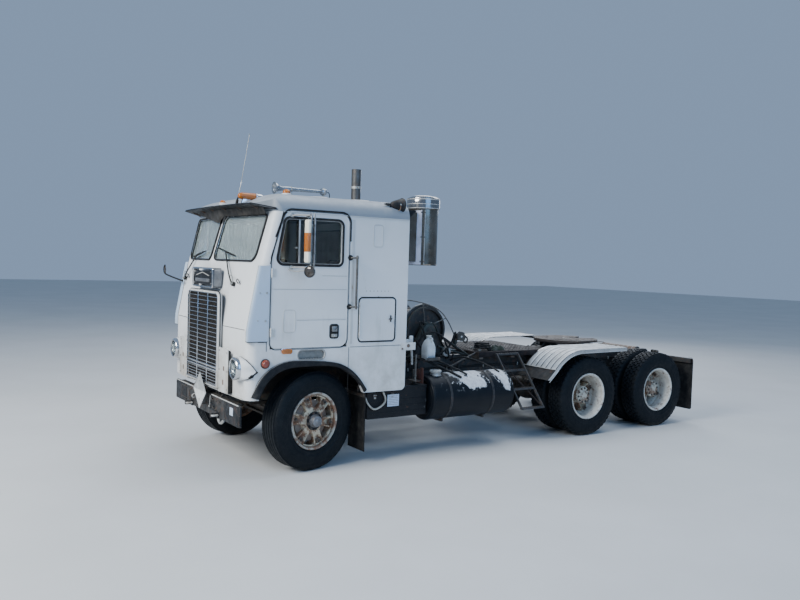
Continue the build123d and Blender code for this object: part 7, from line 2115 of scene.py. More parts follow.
# swaged rings of the body, polished cap with two bright rings
for z in (2.205, 2.840):
    p.lathe([(z - 0.006, AR - 0.001), (z, AR + 0.0040), (z + 0.006, AR - 0.001)], (AX, AY, 0), "z", "cleaner_steel", 64)
p.lathe([(2.846, 0.1870), (2.846, 0.1900), (2.905, 0.1908), (2.952, 0.1904), (2.958, 0.188)], (AX, AY, 0), "z", "cap_chrome", 72)
for z, r in ((2.952, 0.1925), (2.898, 0.1915), (2.850, 0.1915)):
    p.lathe([(z - 0.005, r - 0.002), (z - 0.003, r), (z + 0.003, r), (z + 0.005, r - 0.002)], (AX, AY, 0), "z", "bare_alloy", 72, closed=True)
p.lathe([(2.958, 0.188), (2.966, 0.186), (2.985, 0.150), (2.996, 0.090), (2.999, 0.0)], (AX, AY, 0), "z", "cap_chrome", 64)
p.bolt((AX, AY, 2.998), (0, 0, 1), "zinc", 0.010, 0.008)
p.lathe([(2.1995, 0.0), (2.1975, 0.120), (2.1985, 0.170), (2.2025, 0.1750)], (AX, AY, 0), "z", "cleaner_steel", 64)
# pale shield round the front, its folded edge, and the lock seam beside it
p.lathe([(2.206, AR + 0.001), (2.206, AR + 0.006), (2.820, AR + 0.006), (2.820, AR + 0.001)], (AX, AY, 0), "z", "lilac_white", 40, closed=True,
        a0=math.radians(-128), a1=math.radians(-40))
for deg in (-40, -27):
    a = math.radians(deg)
    ca, sa = math.cos(a), math.sin(a)
    p.tube([(AX + (AR + 0.005) * ca, AY + (AR + 0.005) * sa, 2.208), (AX + (AR + 0.005) * ca, AY + (AR + 0.005) * sa, 2.826)], 0.006,
           "lilac_white" if deg < -30 else "bare_alloy", k=8, flat=(0.010, 0.008))
    for z in (2.24, 2.52, 2.80):
        p.bolt((AX + (AR + 0.008) * ca, AY + (AR + 0.008) * sa, z), (ca, sa, 0), "cast_steel", 0.008, 0.006, False)
# rubber duct to the wall with two clamps, and a black stay at the top corner
p.lathe([(1.1345, 0.0600), (1.150, 0.0600), (1.156, 0.0570), (1.270, 0.0570), (1.276, 0.0600), (1.300, 0.0600)], (AX - 0.020, 0, 2.740), "y", "hose", 40)
for y in (1.160, 1.262):
    p.lathe([(y - 0.007, 0.0585), (y - 0.007, 0.0612), (y + 0.007, 0.0612), (y + 0.007, 0.0585)], (AX - 0.020, 0, 2.740), "y", "zinc", 40, closed=True)
p.prism([(1.1343, 2.690), (1.1343, 2.815), (1.275, 2.815), (1.150, 2.690)], "x", 1.060, 1.066, "black_paint", 0.001)
p.prism([(1.1343, 2.800), (1.1343, 2.815), (1.275, 2.815), (1.275, 2.800)], "x", 1.000, 1.062, "black_paint", 0.001)
# mounting straps' flanges on the wall
for x in (AX - 0.110, AX + 0.080):
    for z in (2.27, 2.77):
        p.box(x - 0.032, x + 0.032, 1.1343, 1.1390, z - 0.040, z + 0.040, "bare_alloy", 0.002)
        for dz in (-0.025, 0.025):
            p.bolt((x + 0.024, 1.1390, z + dz), (0, 1, 0), "zinc", 0.005, 0.004, False)
            p.bolt((x - 0.024, 1.1390, z + dz), (0, 1, 0), "zinc", 0.005, 0.004, False)
p.done()

# ----------------------------------------------------------------------------
# deck, ladder, fenders, fifth wheel, tail
# ----------------------------------------------------------------------------
p = Piece("deck_details", "chassis", "deck_rust")
p.box(-0.598, 0.598, 2.642, 3.858, 1.0995, 1.1025, "deck_rust", 0.001)
for i in range(41):
    for j in range(41):
        x, y = -0.575 + i * 0.02875, 2.665 + j * 0.0293
        d = 0.0085 if (i + j) % 2 else -0.0085
        if (i * 7 + j * 13) % 11 == 0:
            continue
        p.fixed([(x - 0.0085, y - d, 1.1024), (x + 0.0085, y + d, 1.1024), (x + 0.0030, y - 0.0030 * (1 if d > 0 else -1), 1.1042)], [(0, 1, 2), (1, 0, 2)][:1],
                "deck_rust")
for y in (2.690, 3.230, 3.810):
    for x in (-0.50, -0.25, 0.25, 0.50):
        p.bolt((x, y, 1.1025), (0, 0, 1), "cast_steel", 0.009, 0.005)
# folded edge along each side
for s in (1, -1):
    p.m = mirror_x(s)
    p.box(0.5995, 0.6035, 2.640, 3.860, 1.040, 1.1025, "deck_rust", 0.0012)
    p.box(0.560, 0.6035, 2.640, 3.860, 1.036, 1.041, "deck_rust", 0.0012)
p.m = None
# chain left on the deck
CH0 = Vector((0.16, 2.80, 1.112))
path = [(0.50, 2.72), (0.44, 2.80), (0.34, 2.84), (0.24, 2.80), (0.16, 2.86), (0.20, 2.97), (0.32, 3.02), (0.42, 3.00), (0.47, 3.08), (0.40, 3.18), (0.28, 3.20)]
links = []
for (x0, y0), (x1, y1) in zip(path, path[1:]):
    L = math.hypot(x1 - x0, y1 - y0)
    m = max(1, round(L / 0.034))
    for i in range(m):
        t = (i + 0.5) / m
        links.append((x0 + (x1 - x0) * t, y0 + (y1 - y0) * t, math.atan2(y1 - y0, x1 - x0)))
for k, (x, y, a) in enumerate(links):
    ca, sa = math.cos(a), math.sin(a)
    pts = []
    for i in range(12):
        t = 2 * math.pi * i / 12
        u, w = 0.021 * math.cos(t) * (1.15 if abs(math.cos(t)) > 0.5 else 1), 0.011 * math.sin(t)
        if k % 2:
            pts.append((x + u * ca - w * sa, y + u * sa + w * ca, 1.1085))
        else:
            pts.append((x + u * ca, y + u * sa, 1.1150 + w * 0.75))
    p.tube(pts, 0.0042, "worn_rim", k=6, closed=True)
# brace from the deck's front edge down to the rail, a black hose and a folded green cloth on the deck
p.tube([(0.520, 2.645, 1.085), (0.520, 2.250, 0.930)], 0.013, "cast_steel", k=10)
p.box(0.436, 0.535, 2.225, 2.275, 0.918, 0.938, "cast_steel", 0.003)
hp = []
for i in range(46):
    a = i * 0.42
    r = 0.105 + 0.010 * math.sin(i * 1.7)
    hp.append((0.40 + r * math.cos(a) * 1.1, 2.86 + r * math.sin(a), 1.1165 + 0.0019 * i + 0.004 * math.sin(i * 2.3)))
p.tube(hp, 0.0125, "hose", k=8, smooth=2)
vs, nu, nv = [], 22, 16
for i in range(nu + 1):
    for j in range(nv + 1):
        u, v = i / nu, j / nv
        x, y = 0.455 + 0.120 * (u - 0.5) + 0.012 * math.sin(9 * v), 3.045 + 0.230 * (v - 0.5) + 0.010 * math.sin(11 * u)
        e = min(1.0, 4.5 * min(u, 1 - u), 4.5 * min(v, 1 - v))
        h = 0.046 + 0.012 * math.sin(14 * u + 3 * v) + 0.009 * math.sin(17 * v - 5 * u) + 0.005 * math.sin(31 * u + 23 * v)
        vs.append((x, y, 1.1032 + max(0.0, h * e ** 0.6)))
fs = [(i * (nv + 1) + j, i * (nv + 1) + j + 1, (i + 1) * (nv + 1) + j + 1, (i + 1) * (nv + 1) + j) for i in range(nu) for j in range(nv)]
p.fixed(vs, fs, "deck_cloth")
p.done(angle=40)

p = Piece("ladder_details", "chassis", "deck_rust")
LT, LB = (0.631, 1.085), (1.172, 0.440)
for t in (0.0, 0.30, 0.63, 0.965):
    x, z = LT[0] + (LB[0] - LT[0]) * t, LT[1] + (LB[1] - LT[1]) * t
    for i in range(9):
        y = 2.920 + i * 0.039
        p.box(x - 0.019, x + 0.027, y - 0.006, y + 0.006, z - 0.0045, z - 0.0010, "deck_rust", 0.001)
    for y in (2.8875, 3.2625):
        dy = -1 if y < 3 else 1
        p.bolt((x + 0.004, y, z - 0.016), (0, dy, 0), "cast_steel", 0.006, 0.005, False)
for y in (2.895, 3.255):
    p.bolt((0.6400, y, 1.0625), (1, 0, 0), "cast_steel", 0.008, 0.006)
# diagonal brace behind the treads
p.tube([(0.650, 2.905, 1.030), (1.130, 3.245, 0.470)], 0.0075, "deck_rust", k=10)
p.done()


def fender_path(n=26):
    """Outer line of the fender in the plane across x, from the front edge to the rear edge."""
    pts = [(3.290, 0.785), (3.325, 0.8175), (3.360, 0.850), (3.395, 0.8825)]
    (x1, y1), (x2, y2), (x3, y3) = (3.430, 0.915), (3.620, 1.072), (3.930, 1.148)
    d = 2 * (x1 * (y2 - y3) + x2 * (y3 - y1) + x3 * (y1 - y2))
    ux = ((x1 * x1 + y1 * y1) * (y2 - y3) + (x2 * x2 + y2 * y2) * (y3 - y1) + (x3 * x3 + y3 * y3) * (y1 - y2)) / d
    uy = ((x1 * x1 + y1 * y1) * (x3 - x2) + (x2 * x2 + y2 * y2) * (x1 - x3) + (x3 * x3 + y3 * y3) * (x2 - x1)) / d
    R = math.hypot(x1 - ux, y1 - uy)
    a0, a1 = math.atan2(y1 - uy, x1 - ux), math.atan2(y3 - uy, x3 - ux)
    if a0 < 0:
        a0 += 2 * math.pi
    for i in range(n + 1):
        a = a0 + (a1 - a0) * i / n
        pts.append((ux + R * math.cos(a), uy + R * math.sin(a)))
    pts += [(3.930 + 0.830 * t, 1.148 + 0.004 * t) for t in (0.15, 0.35, 0.6, 0.8, 1.0)]
    return pts


for s, nm in ((1, "left"), (-1, "right")):
    p = Piece(f"fender_details_{nm}", "chassis", "fender_alloy")
    p.m = mirror_x(s)
    path = fender_path()
    nrm = []
    for i, q in enumerate(path):
        a, b = path[max(0, i - 1)], path[min(len(path) - 1, i + 1)]
        t = Vector((b[0] - a[0], b[1] - a[1])).normalized()
        nrm.append((-t.y, t.x))
    # pressed ribs, one narrow dark groove between each pair
    lo, hi = 4, len(path) - 1
    for k in range(6):
        x0 = 0.6425 + k * 0.0930
        prof = ((0.000, 0.0), (0.004, 0.0044), (0.014, 0.0068), (0.038, 0.0080), (0.062, 0.0068), (0.072, 0.0044), (0.076, 0.0))
        vs, m = [], len(prof)
        for i in range(lo, hi + 1):
            f = 1.0
            if i < lo + 3:
                f = (i - lo) / 3
            for dx, h in prof:
                vs.append((x0 + dx, path[i][0] + nrm[i][0] * (h * f + 0.0002), path[i][1] + nrm[i][1] * (h * f + 0.0002)))
        fs = [((i) * m + j, (i) * m + j + 1, (i + 1) * m + j + 1, (i + 1) * m + j) for i in range(hi - lo) for j in range(m - 1)]
        p.fixed(vs, fs, "fender_alloy")
    # a flat darker strip lies in each groove
    for k in range(7):
        x0 = 0.6265 + k * 0.0930
        vs = []
        for i in range(lo, hi + 1):
            for dx in (0.0004, 0.0155):
                vs.append((x0 + dx, path[i][0] + nrm[i][0] * 0.0006, path[i][1] + nrm[i][1] * 0.0006))
        fs = [(2 * i, 2 * i + 1, 2 * i + 3, 2 * i + 2) for i in range(hi - lo)]
        p.fixed(vs, fs, "groove_dark")
    # black painted apron on the front end, with the folded lip above it
    vs, m = [], 5
    for i in range(0, 5):
        for j in range(m):
            vs.append((0.6132 + 0.5856 * j / (m - 1), path[i][0] + nrm[i][0] * 0.0012, path[i][1] + nrm[i][1] * 0.0012))
    fs = [(i * m + j, i * m + j + 1, (i + 1) * m + j + 1, (i + 1) * m + j) for i in range(4) for j in range(m - 1)]
    p.fixed(vs, fs, "apron_black")
    y, z = path[4]
    p.box(0.6135, 1.1985, y - 0.020, y + 0.010, z - 0.003, z + 0.0015, "worn_white", 0.001)
    # rolled outer edge and rear edge
    rolled = [(1.2010, q[0] - nn[0] * 0.039, q[1] - nn[1] * 0.039) for q, nn in zip(path, nrm)]
    p.tube(rolled, 0.0045, "fender_alloy", k=8)
    p.tube([(0.6135, 4.7595, 1.1490), (1.1990, 4.7595, 1.1490)], 0.0045, "fender_alloy", k=8)
    p.tube([(0.6135, 3.2915, 0.7870), (1.1990, 3.2915, 0.7870)], 0.0045, "apron_black", k=8)
    # bolts through to the stays and clamp pads
    for x in (0.70, 0.90, 1.10):
        p.bolt((x, 4.745, 1.1570), (0, 0, 1), "zinc", 0.007, 0.004)
        p.bolt((x, 3.625, 1.078), (0, -0.6, 0.8), "zinc", 0.007, 0.004)
        p.box(x - 0.02, x + 0.02, 4.73, 4.76, 1.132, 1.1455, "cast_steel", 0.002)
    p.done(angle=40)

p = Piece("fifth_wheel_details", "fifth_wheel_plate", "deck_rust")
FY = 4.793
for a0, a1 in ((math.radians(100), math.radians(260)),):
    for r in (0.300, 0.380):
        for sx in (1, -1):
            pts = []
            for i in range(21):
                a = math.radians(10 + 70 * i / 20)
                x, y = r * math.sin(a) * sx, FY - r * math.cos(a)
                pts.append((x, y, 1.1703))
            p.tube(pts, 0.004, "grease", k=8, flat=(0.0012, 0.006))
# hardened jaw around the king pin, pivot pin ends, pull handle
p.lathe([(1.1698, 0.032), (1.1712, 0.034), (1.1712, 0.050), (1.1698, 0.052)], (0, FY + 0.010, 0), "z", "worn_rim", 48, a0=math.radians(115), a1=math.radians(425))
for s in (1, -1):
    p.m = mirror_x(s)
    p.cyl((0.382, FY, 1.089), (0.392, FY, 1.089), 0.027, "cast_steel", 6)
    p.box(0.28, 0.38, FY + 0.20, FY + 0.42, 1.1350, 1.1410, "cast_steel", 0.002)
    # skirt along the round edge, under the plate
    pts = []
    for i in range(19):
        a = math.radians(-66 + 132 * i / 18)
        pts.append((0.462 * math.sin(a), FY - 0.462 * math.cos(a), 1.1310))
    if s > 0:
        p.tube(pts, 0.009, "deck_rust", k=8)
p.m = None
p.tube([(0.10, FY + 0.05, 1.1270), (0.30, FY + 0.14, 1.1230), (0.425, FY + 0.15, 1.1200), (0.470, FY + 0.13, 1.1200)], 0.008, "cast_steel", k=10, smooth=2)
p.torus((0.498, FY + 0.13, 1.1200), 0.026, 0.007, "z", "cast_steel", 24, 8)
for x, y in ((-0.36, FY - 0.18), (0.36, FY - 0.18), (-0.30, FY + 0.28), (0.30, FY + 0.28), (0.0, FY - 0.36)):
    p.lathe([(1.1700, 0.013), (1.1705, 0.011), (1.1705, 0.0)], (x, y, 0), "z", "cast_steel", 16)
p.done()

p = Piece("fifth_wheel_base_details", "chassis", "deck_rust")
for s in (1, -1):
    p.m = mirror_x(s)
    for y in (-0.38, -0.22, 0.22, 0.38):
        p.bolt((0.392, FY + y, 1.0240), (0, 0, 1), "cast_steel", 0.012, 0.010)
    for dy in (-0.09, 0.09):
        vs = [(0.3485, FY + dy - 0.006, 1.024), (0.3485, FY + dy + 0.006, 1.024), (0.3485, FY + dy * 0.4 + 0.006, 1.078), (0.3485, FY + dy * 0.4 - 0.006, 1.078),
              (0.395, FY + dy - 0.006, 1.024), (0.395, FY + dy + 0.006, 1.024)]
        p.fixed(vs, [(0, 4, 3), (1, 2, 5), (4, 5, 2, 3), (0, 1, 5, 4)], "deck_rust")
    p.box(0.300, 0.356, FY - 0.155, FY + 0.155, 1.0240, 1.0300, "deck_rust", 0.002)
p.m = None
p.done()

p = Piece("tail_details", "chassis", "black_paint")
for x in (0.255, 0.375, -0.255, -0.375):
    p.lathe([(6.2430, 0.0490), (6.2510, 0.0490), (6.2530, 0.0470), (6.2530, 0.0410)], (x, 0, 0.912), "y", "seal", 36)
    p.lathe([(6.2450, 0.0420), (6.2500, 0.0405), (6.2530, 0.0300), (6.2540, 0.0)], (x, 0, 0.912), "y", "red", 36)
    for r in (0.012, 0.021, 0.030):
        p.lathe([(6.2520, r + 0.003), (6.2547, r), (6.2525, r - 0.003)], (x, 0, 0.912), "y", "red", 32)
for s in (1, -1):
    p.m = mirror_x(s)
    for x in (0.64, 0.80, 0.96, 1.12, 1.19):
        p.bolt((x, 6.217, 0.905), (0, 1, 0), "cast_steel", 0.009, 0.008)
    p.box(0.62, 1.205, 6.2165, 6.2215, 0.888, 0.922, "cast_steel", 0.002)
    for x in (1.16,):
        p.box(x - 0.03, x + 0.03, 6.2050, 6.2090, 0.955, 0.958, "cast_steel", 0.001)
    # a reflector and bolts at each corner
    p.lathe([(6.2045, 0.034), (6.2085, 0.032), (6.2100, 0.0)], (0.515, 0, 0.912), "y", "red_orange", 28)
    for z in (0.80, 0.85, 0.95, 0.98):
        p.bolt((0.412, 6.1465, z), (0, 1, 0), "cast_steel", 0.010, 0.009)
    # recovery eyes
    p.tube([(0.300, 6.146, 0.800), (0.300, 6.200, 0.800), (0.300, 6.225, 0.780), (0.300, 6.225, 0.755), (0.300, 6.200, 0.735), (0.300, 6.146, 0.775)], 0.013,
           "cast_steel", k=10, smooth=2)
p.m = None
# blank plate in its holder, with a lamp over it
p.box(-0.152, 0.152, 6.2252, 6.2275, 0.806, 0.954, "worn_white", 0.0008)
for x in (-0.115, 0.115):
    p.rivet((x, 6.2275, 0.943), (0, 1, 0), "zinc", 0.005, 0.003)
p.box(-0.040, 0.040, 6.2250, 6.2480, 0.957, 0.975, "black_paint", 0.004)
p.box(-0.030, 0.030, 6.2280, 6.2450, 0.9535, 0.9580, "lamp_clear", 0.001)
# glad hands and sockets on the bar's left
for k, (x, m) in enumerate(((0.56, "red"), (0.62, "zinc"))):
    p.lathe([(6.146, 0.024), (6.120, 0.024), (6.110, 0.030), (6.095, 0.030), (6.090, 0.022)], (x, 0, 0.985), "y", "cast_steel", 24)
    p.torus((x, 6.092, 0.985), 0.016, 0.006, "y", "hose", 20, 8)
    p.box(x - 0.02, x + 0.02, 6.120, 6.150, 0.940, 0.985, "cast_steel", 0.003)
p.done()

p = Piece("tail_roller_details", "tail_roller", "cast_steel")
for x in (-0.340, 0.340):
    d = 1 if x > 0 else -1
    p.lathe([(x - d * 0.012, 0.0698), (x - d * 0.012, 0.0725), (x, 0.0725), (x + d * 0.002, 0.069), (x + d * 0.004, 0.030), (x + d * 0.006, 0.026),
             (x + d * 0.006, 0.015)], (0, 6.020, 0.965), "x", "cast_steel", 48)
for i in range(7):
    x = -0.27 + 0.09 * i
    p.lathe([(x - 0.006, 0.0700), (x, 0.0711), (x + 0.006, 0.0700)], (0, 6.020, 0.965), "x", "worn_rim", 40)
p.done()

for s, nm in ((1, "left"), (-1, "right")):
    p = Piece(f"mudflap_details_{nm}", "chassis", "rubber")
    p.m = mirror_x(s)
    # moulded ribs and border, front and rear flaps
    for x0, x1, z0, z1, y in ((0.60, 1.21, 0.19, 0.90, 6.217), (0.76, 1.11, 0.14, 0.75, 0.650)):
        for i in range(7):
            z = z0 + 0.06 + (z1 - z0 - 0.2) * i / 6
            p.box(x0 + 0.04, x1 - 0.04, y - 0.0005, y + 0.0025, z - 0.004, z + 0.004, "rubber", 0.001)
        p.box(x0 + 0.012, x0 + 0.022, y - 0.0005, y + 0.0025, z0 + 0.03, z1 - 0.04, "rubber", 0.001)
        p.box(x1 - 0.022, x1 - 0.012, y - 0.0005, y + 0.0025, z0 + 0.03, z1 - 0.04, "rubber", 0.001)
    p.box(0.764, 1.106, 0.6495, 0.6560, 0.735, 0.772, "cast_steel", 0.002)
    p.box(0.764, 1.106, 0.6340, 0.6405, 0.735, 0.772, "cast_steel", 0.002)
    for x in (0.80, 0.93, 1.07):
        p.bolt((x, 0.6560, 0.753), (0, 1, 0), "zinc", 0.008, 0.006)
    p.box(0.434, 0.770, 0.6300, 0.6340, 0.742, 0.766, "cast_steel", 0.001)
    p.done()

# ----------------------------------------------------------------------------
# roof fittings
# ----------------------------------------------------------------------------
def roof_z(x, y):
    """Height of the roof skin, near enough for small fittings."""
    z = 2.938 - 0.052 * min(1.0, abs(x) / 0.965) ** 2
    if y < -0.06:
        u = (-0.06 - y) / 0.54
        z = min(z, 2.938 + 0.0125 * u - 0.2105 * u * u)
    return z


p = Piece("roof_details", "cab", "chrome")
for x, y0, y1, r0, r1 in ((0.400, -0.174, 0.483, 0.066, 0.021),):
    L = y1 - y0
    out = [(0.000, r0 - 0.004), (0.001, r0), (0.008, r0 - 0.001), (0.016, r0 * 0.88), (0.034, r0 * 0.66), (0.060, r0 * 0.48), (0.100, r0 * 0.36),
           (0.160, r1 * 1.35), (0.260, r1 * 1.12), (L - 0.080, r1 * 0.86)]
    inn = [(0.150, r1 * 0.9), (0.100, r0 * 0.28), (0.060, r0 * 0.40), (0.034, r0 * 0.58), (0.016, r0 * 0.80), (0.004, r0 - 0.005)]
    p.lathe([(y0 + a, r) for a, r in [(0.150, 0.0)] + inn + out], (x, 0, 3.000), "y", "horn_steel", 40)
    p.lathe([(y1 - 0.082, r1 * 0.86), (y1 - 0.080, r1 * 1.6), (y1 - 0.068, r1 * 1.9), (y1 - 0.030, r1 * 1.9), (y1 - 0.018, r1 * 1.6), (y1 - 0.016, r1 * 0.8),
             (y1, r1 * 0.7), (y1, 0.0)], (x, 0, 3.000), "y", "horn_steel", 32)
    for yc in (y0 + 0.205, y1 - 0.048):
        zz = roof_z(x, yc)
        r = r1 * 1.3 if yc < y1 - 0.1 else r1 * 1.95
        p.torus((x, yc, 3.000), r + 0.001, 0.004, "y", "zinc", 28, 8)
        p.box(x - 0.010, x + 0.010, yc - 0.012, yc + 0.012, zz - 0.004, 3.000 - r, "zinc", 0.003)
        p.box(x - 0.024, x + 0.024, yc - 0.017, yc + 0.017, zz - 0.006, zz + 0.004, "zinc", 0.002)
        for dx in (-0.017, 0.017):
            p.bolt((x + dx, yc, zz + 0.004), (0, 0, 1), "zinc", 0.004, 0.003, False)
    p.tube([(x, y1 - 0.002, 3.000), (x, y1 + 0.018, 2.998), (x + 0.004, y1 + 0.030, 2.980), (x + 0.004, y1 + 0.032, 2.932)], 0.005, "hose", k=8, smooth=2)
# torpedo clearance lamps: amber nose, chrome tail, foot
for x in (0.400,):
    zc = 2.884
    p.lathe([(-0.590, 0.0), (-0.588, 0.012), (-0.580, 0.024), (-0.565, 0.032), (-0.545, 0.0365), (-0.520, 0.0375), (-0.395, 0.0375), (-0.385, 0.0365)],
            (x, 0, zc), "y", "amber", 32)
    for k in range(7):
        y = -0.540 + k * 0.022
        p.lathe([(y - 0.004, 0.0374), (y, 0.0386), (y + 0.004, 0.0374)], (x, 0, zc), "y", "amber", 28)
    p.lathe([(-0.392, 0.0380), (-0.388, 0.0405), (-0.378, 0.0405), (-0.372, 0.0385), (-0.330, 0.0330), (-0.285, 0.0200), (-0.250, 0.0085), (-0.243, 0.0)],
            (x, 0, zc), "y", "chrome", 32)
    z0 = roof_z(x, -0.50)
    p.prism([(-0.555, z0 - 0.012), (-0.445, z0 + 0.020), (-0.450, zc - 0.030), (-0.535, zc - 0.030)], "x", x - 0.016, x + 0.016, "chrome", 0.004)
# amber dome on a white base
for x in (0.750,):
    zb = roof_z(x, -0.186)
    p.lathe([(zb - 0.012, 0.054), (zb + 0.004, 0.054), (zb + 0.008, 0.050), (zb + 0.010, 0.044), (zb + 0.010, 0.0)], (x, -0.186, 0), "z", "white_plastic", 40)
    h = 2.964 - (zb + 0.010)
    p.lathe([(zb + 0.010, 0.0425), (zb + 0.010 + h * 0.35, 0.0405), (zb + 0.010 + h * 0.70, 0.032), (zb + 0.010 + h * 0.92, 0.018), (2.9645, 0.0)],
            (x, -0.186, 0), "z", "amber", 36)
    for k in range(8):
        a = 2 * math.pi * k / 8
        c, s = math.cos(a), math.sin(a)
        p.tube([(x + 0.0430 * c, -0.186 + 0.0430 * s, zb + 0.012), (x + 0.0410 * c, -0.186 + 0.0410 * s, zb + 0.010 + h * 0.35),
                (x + 0.0324 * c, -0.186 + 0.0324 * s, zb + 0.010 + h * 0.70)], 0.0016, "amber", k=6)
# small amber lamp on a white base, on the far half of the front edge
zc = roof_z(-0.450, -0.435)
p.lathe([(zc - 0.016, 0.044), (zc + 0.006, 0.044), (zc + 0.010, 0.040), (zc + 0.010, 0.0)], (-0.450, -0.435, 0), "z", "white_plastic", 36)
p.lathe([(zc + 0.008, 0.0325), (zc + 0.026, 0.0310), (2.8855, 0.0200), (2.8885, 0.0)], (-0.450, -0.435, 0), "z", "amber", 32)
for k in range(6):
    a = 2 * math.pi * k / 6
    p.tube([(-0.450 + 0.0325 * math.cos(a), -0.435 + 0.0325 * math.sin(a), zc + 0.010), (-0.450 + 0.0315 * math.cos(a), -0.435 + 0.0315 * math.sin(a), zc + 0.026)],
           0.0018, "amber", k=6)
# work lamp at the rear corner: black cone, bezel, lens, rusty foot and yoke
wx, wz = 1.100, 2.858
prof = [(0.900, 0.0), (0.901, 0.012), (0.905, 0.020), (0.914, 0.028), (0.924, 0.035), (0.950, 0.045), (0.994, 0.059), (1.032, 0.0715), (1.043, 0.0750), (1.044, 0.0785),
        (1.048, 0.0800), (1.055, 0.0800), (1.059, 0.0785), (1.060, 0.0720)]
p.lathe(prof, (wx, 0, wz), "y", "apron_black", 48)
p.lathe([(1.053, 0.0725), (1.057, 0.0660), (1.0605, 0.0380), (1.0615, 0.0)], (wx, 0, wz), "y", "lamp_clear", 40)
for r in (0.018, 0.034, 0.050, 0.062):
    p.lathe([(1.0585, r - 0.002), (1.0620, r), (1.0575, r + 0.002)], (wx, 0, wz), "y", "lamp_clear", 36)
p.tube([(wx - 0.068, 0.993, wz), (wx - 0.068, 0.993, wz - 0.038), (wx - 0.050, 0.993, wz - 0.062), (wx, 0.993, wz - 0.066), (wx + 0.050, 0.993, wz - 0.062),
        (wx + 0.068, 0.993, wz - 0.038), (wx + 0.068, 0.993, wz)], 0.006, "rusty_steel", k=8, smooth=2, flat=(0.010, 0.003))
for sx in (-1, 1):
    p.bolt((wx + 0.070 * sx, 0.993, wz), (sx, 0, 0), "zinc", 0.007, 0.005)
p.box(wx - 0.030, wx + 0.006, 0.928, 1.012, 2.700, 2.800, "grimy_white", 0.006)
p.box(wx - 0.022, wx - 0.004, 0.955, 0.990, 2.796, 2.846, "apron_black", 0.004)
p.lathe([(0.902, 0.012), (0.880, 0.016), (0.850, 0.014), (0.822, 0.005), (0.818, 0.0)], (wx - 0.004, 0, wz), "y", "apron_black", 24)
p.tube([(wx, 0.905, wz - 0.016), (wx, 0.885, wz - 0.050), (wx - 0.01, 0.880, wz - 0.090), (wx - 0.03, 0.885, 2.745)], 0.005, "hose", k=8, smooth=2)
# antenna: clamp foot, insulator, coil and whip
p.cyl((0.2625, -0.548, 2.795), (0.2660, -0.540, 2.850), 0.0155, "seal", 20, bev=0.002)
p.cyl((0.2655, -0.541, 2.846), (0.2685, -0.532, 2.886), 0.0105, "seal", 18, bev=0.002, r2=0.007)
p.cyl((0.2685, -0.532, 2.884), (0.2760, -0.504, 3.040), 0.0042, "zinc", 10)
p.cyl((0.2760, -0.504, 3.038), (0.3000, -0.430, 3.568), 0.0026, "pale_pipe", 10)
p.ball((0.3000, -0.430, 3.5635), 0.0044, "seal", 8)
p.box(0.228, 0.300, -0.582, -0.505, 2.778, 2.798, "zinc", 0.004)
# roof seams: two beads across the roof, each with a row of rivets
for y in (0.20, 0.72):
    pts = [(x, y, roof_z(x, y) + 0.0006) for x in [-0.94 + 1.88 * i / 16 for i in range(17)]]
    p.tube(pts, 0.0045, "white_paint", k=8, flat=(0.0016, 0.009))
    for i in range(24):
        x = -0.92 + 1.84 * i / 23
        p.rivet((x, y + 0.016, roof_z(x, y) + 0.0002), (0, 0, 1), "white_paint", 0.0042, 0.002)
# roof vent with its hinged lid
p.box(-0.26, 0.14, 0.790, 1.010, 2.934, 2.948, "white_paint", 0.006)
p.box(-0.245, 0.125, 0.805, 0.995, 2.946, 2.958, "white_paint", 0.006)
for x in (-0.20, 0.08):
    p.cyl((x - 0.025, 0.800, 2.951), (x + 0.025, 0.800, 2.951), 0.0065, "zinc", 10)
p.done(replaces=["roof_fittings"])

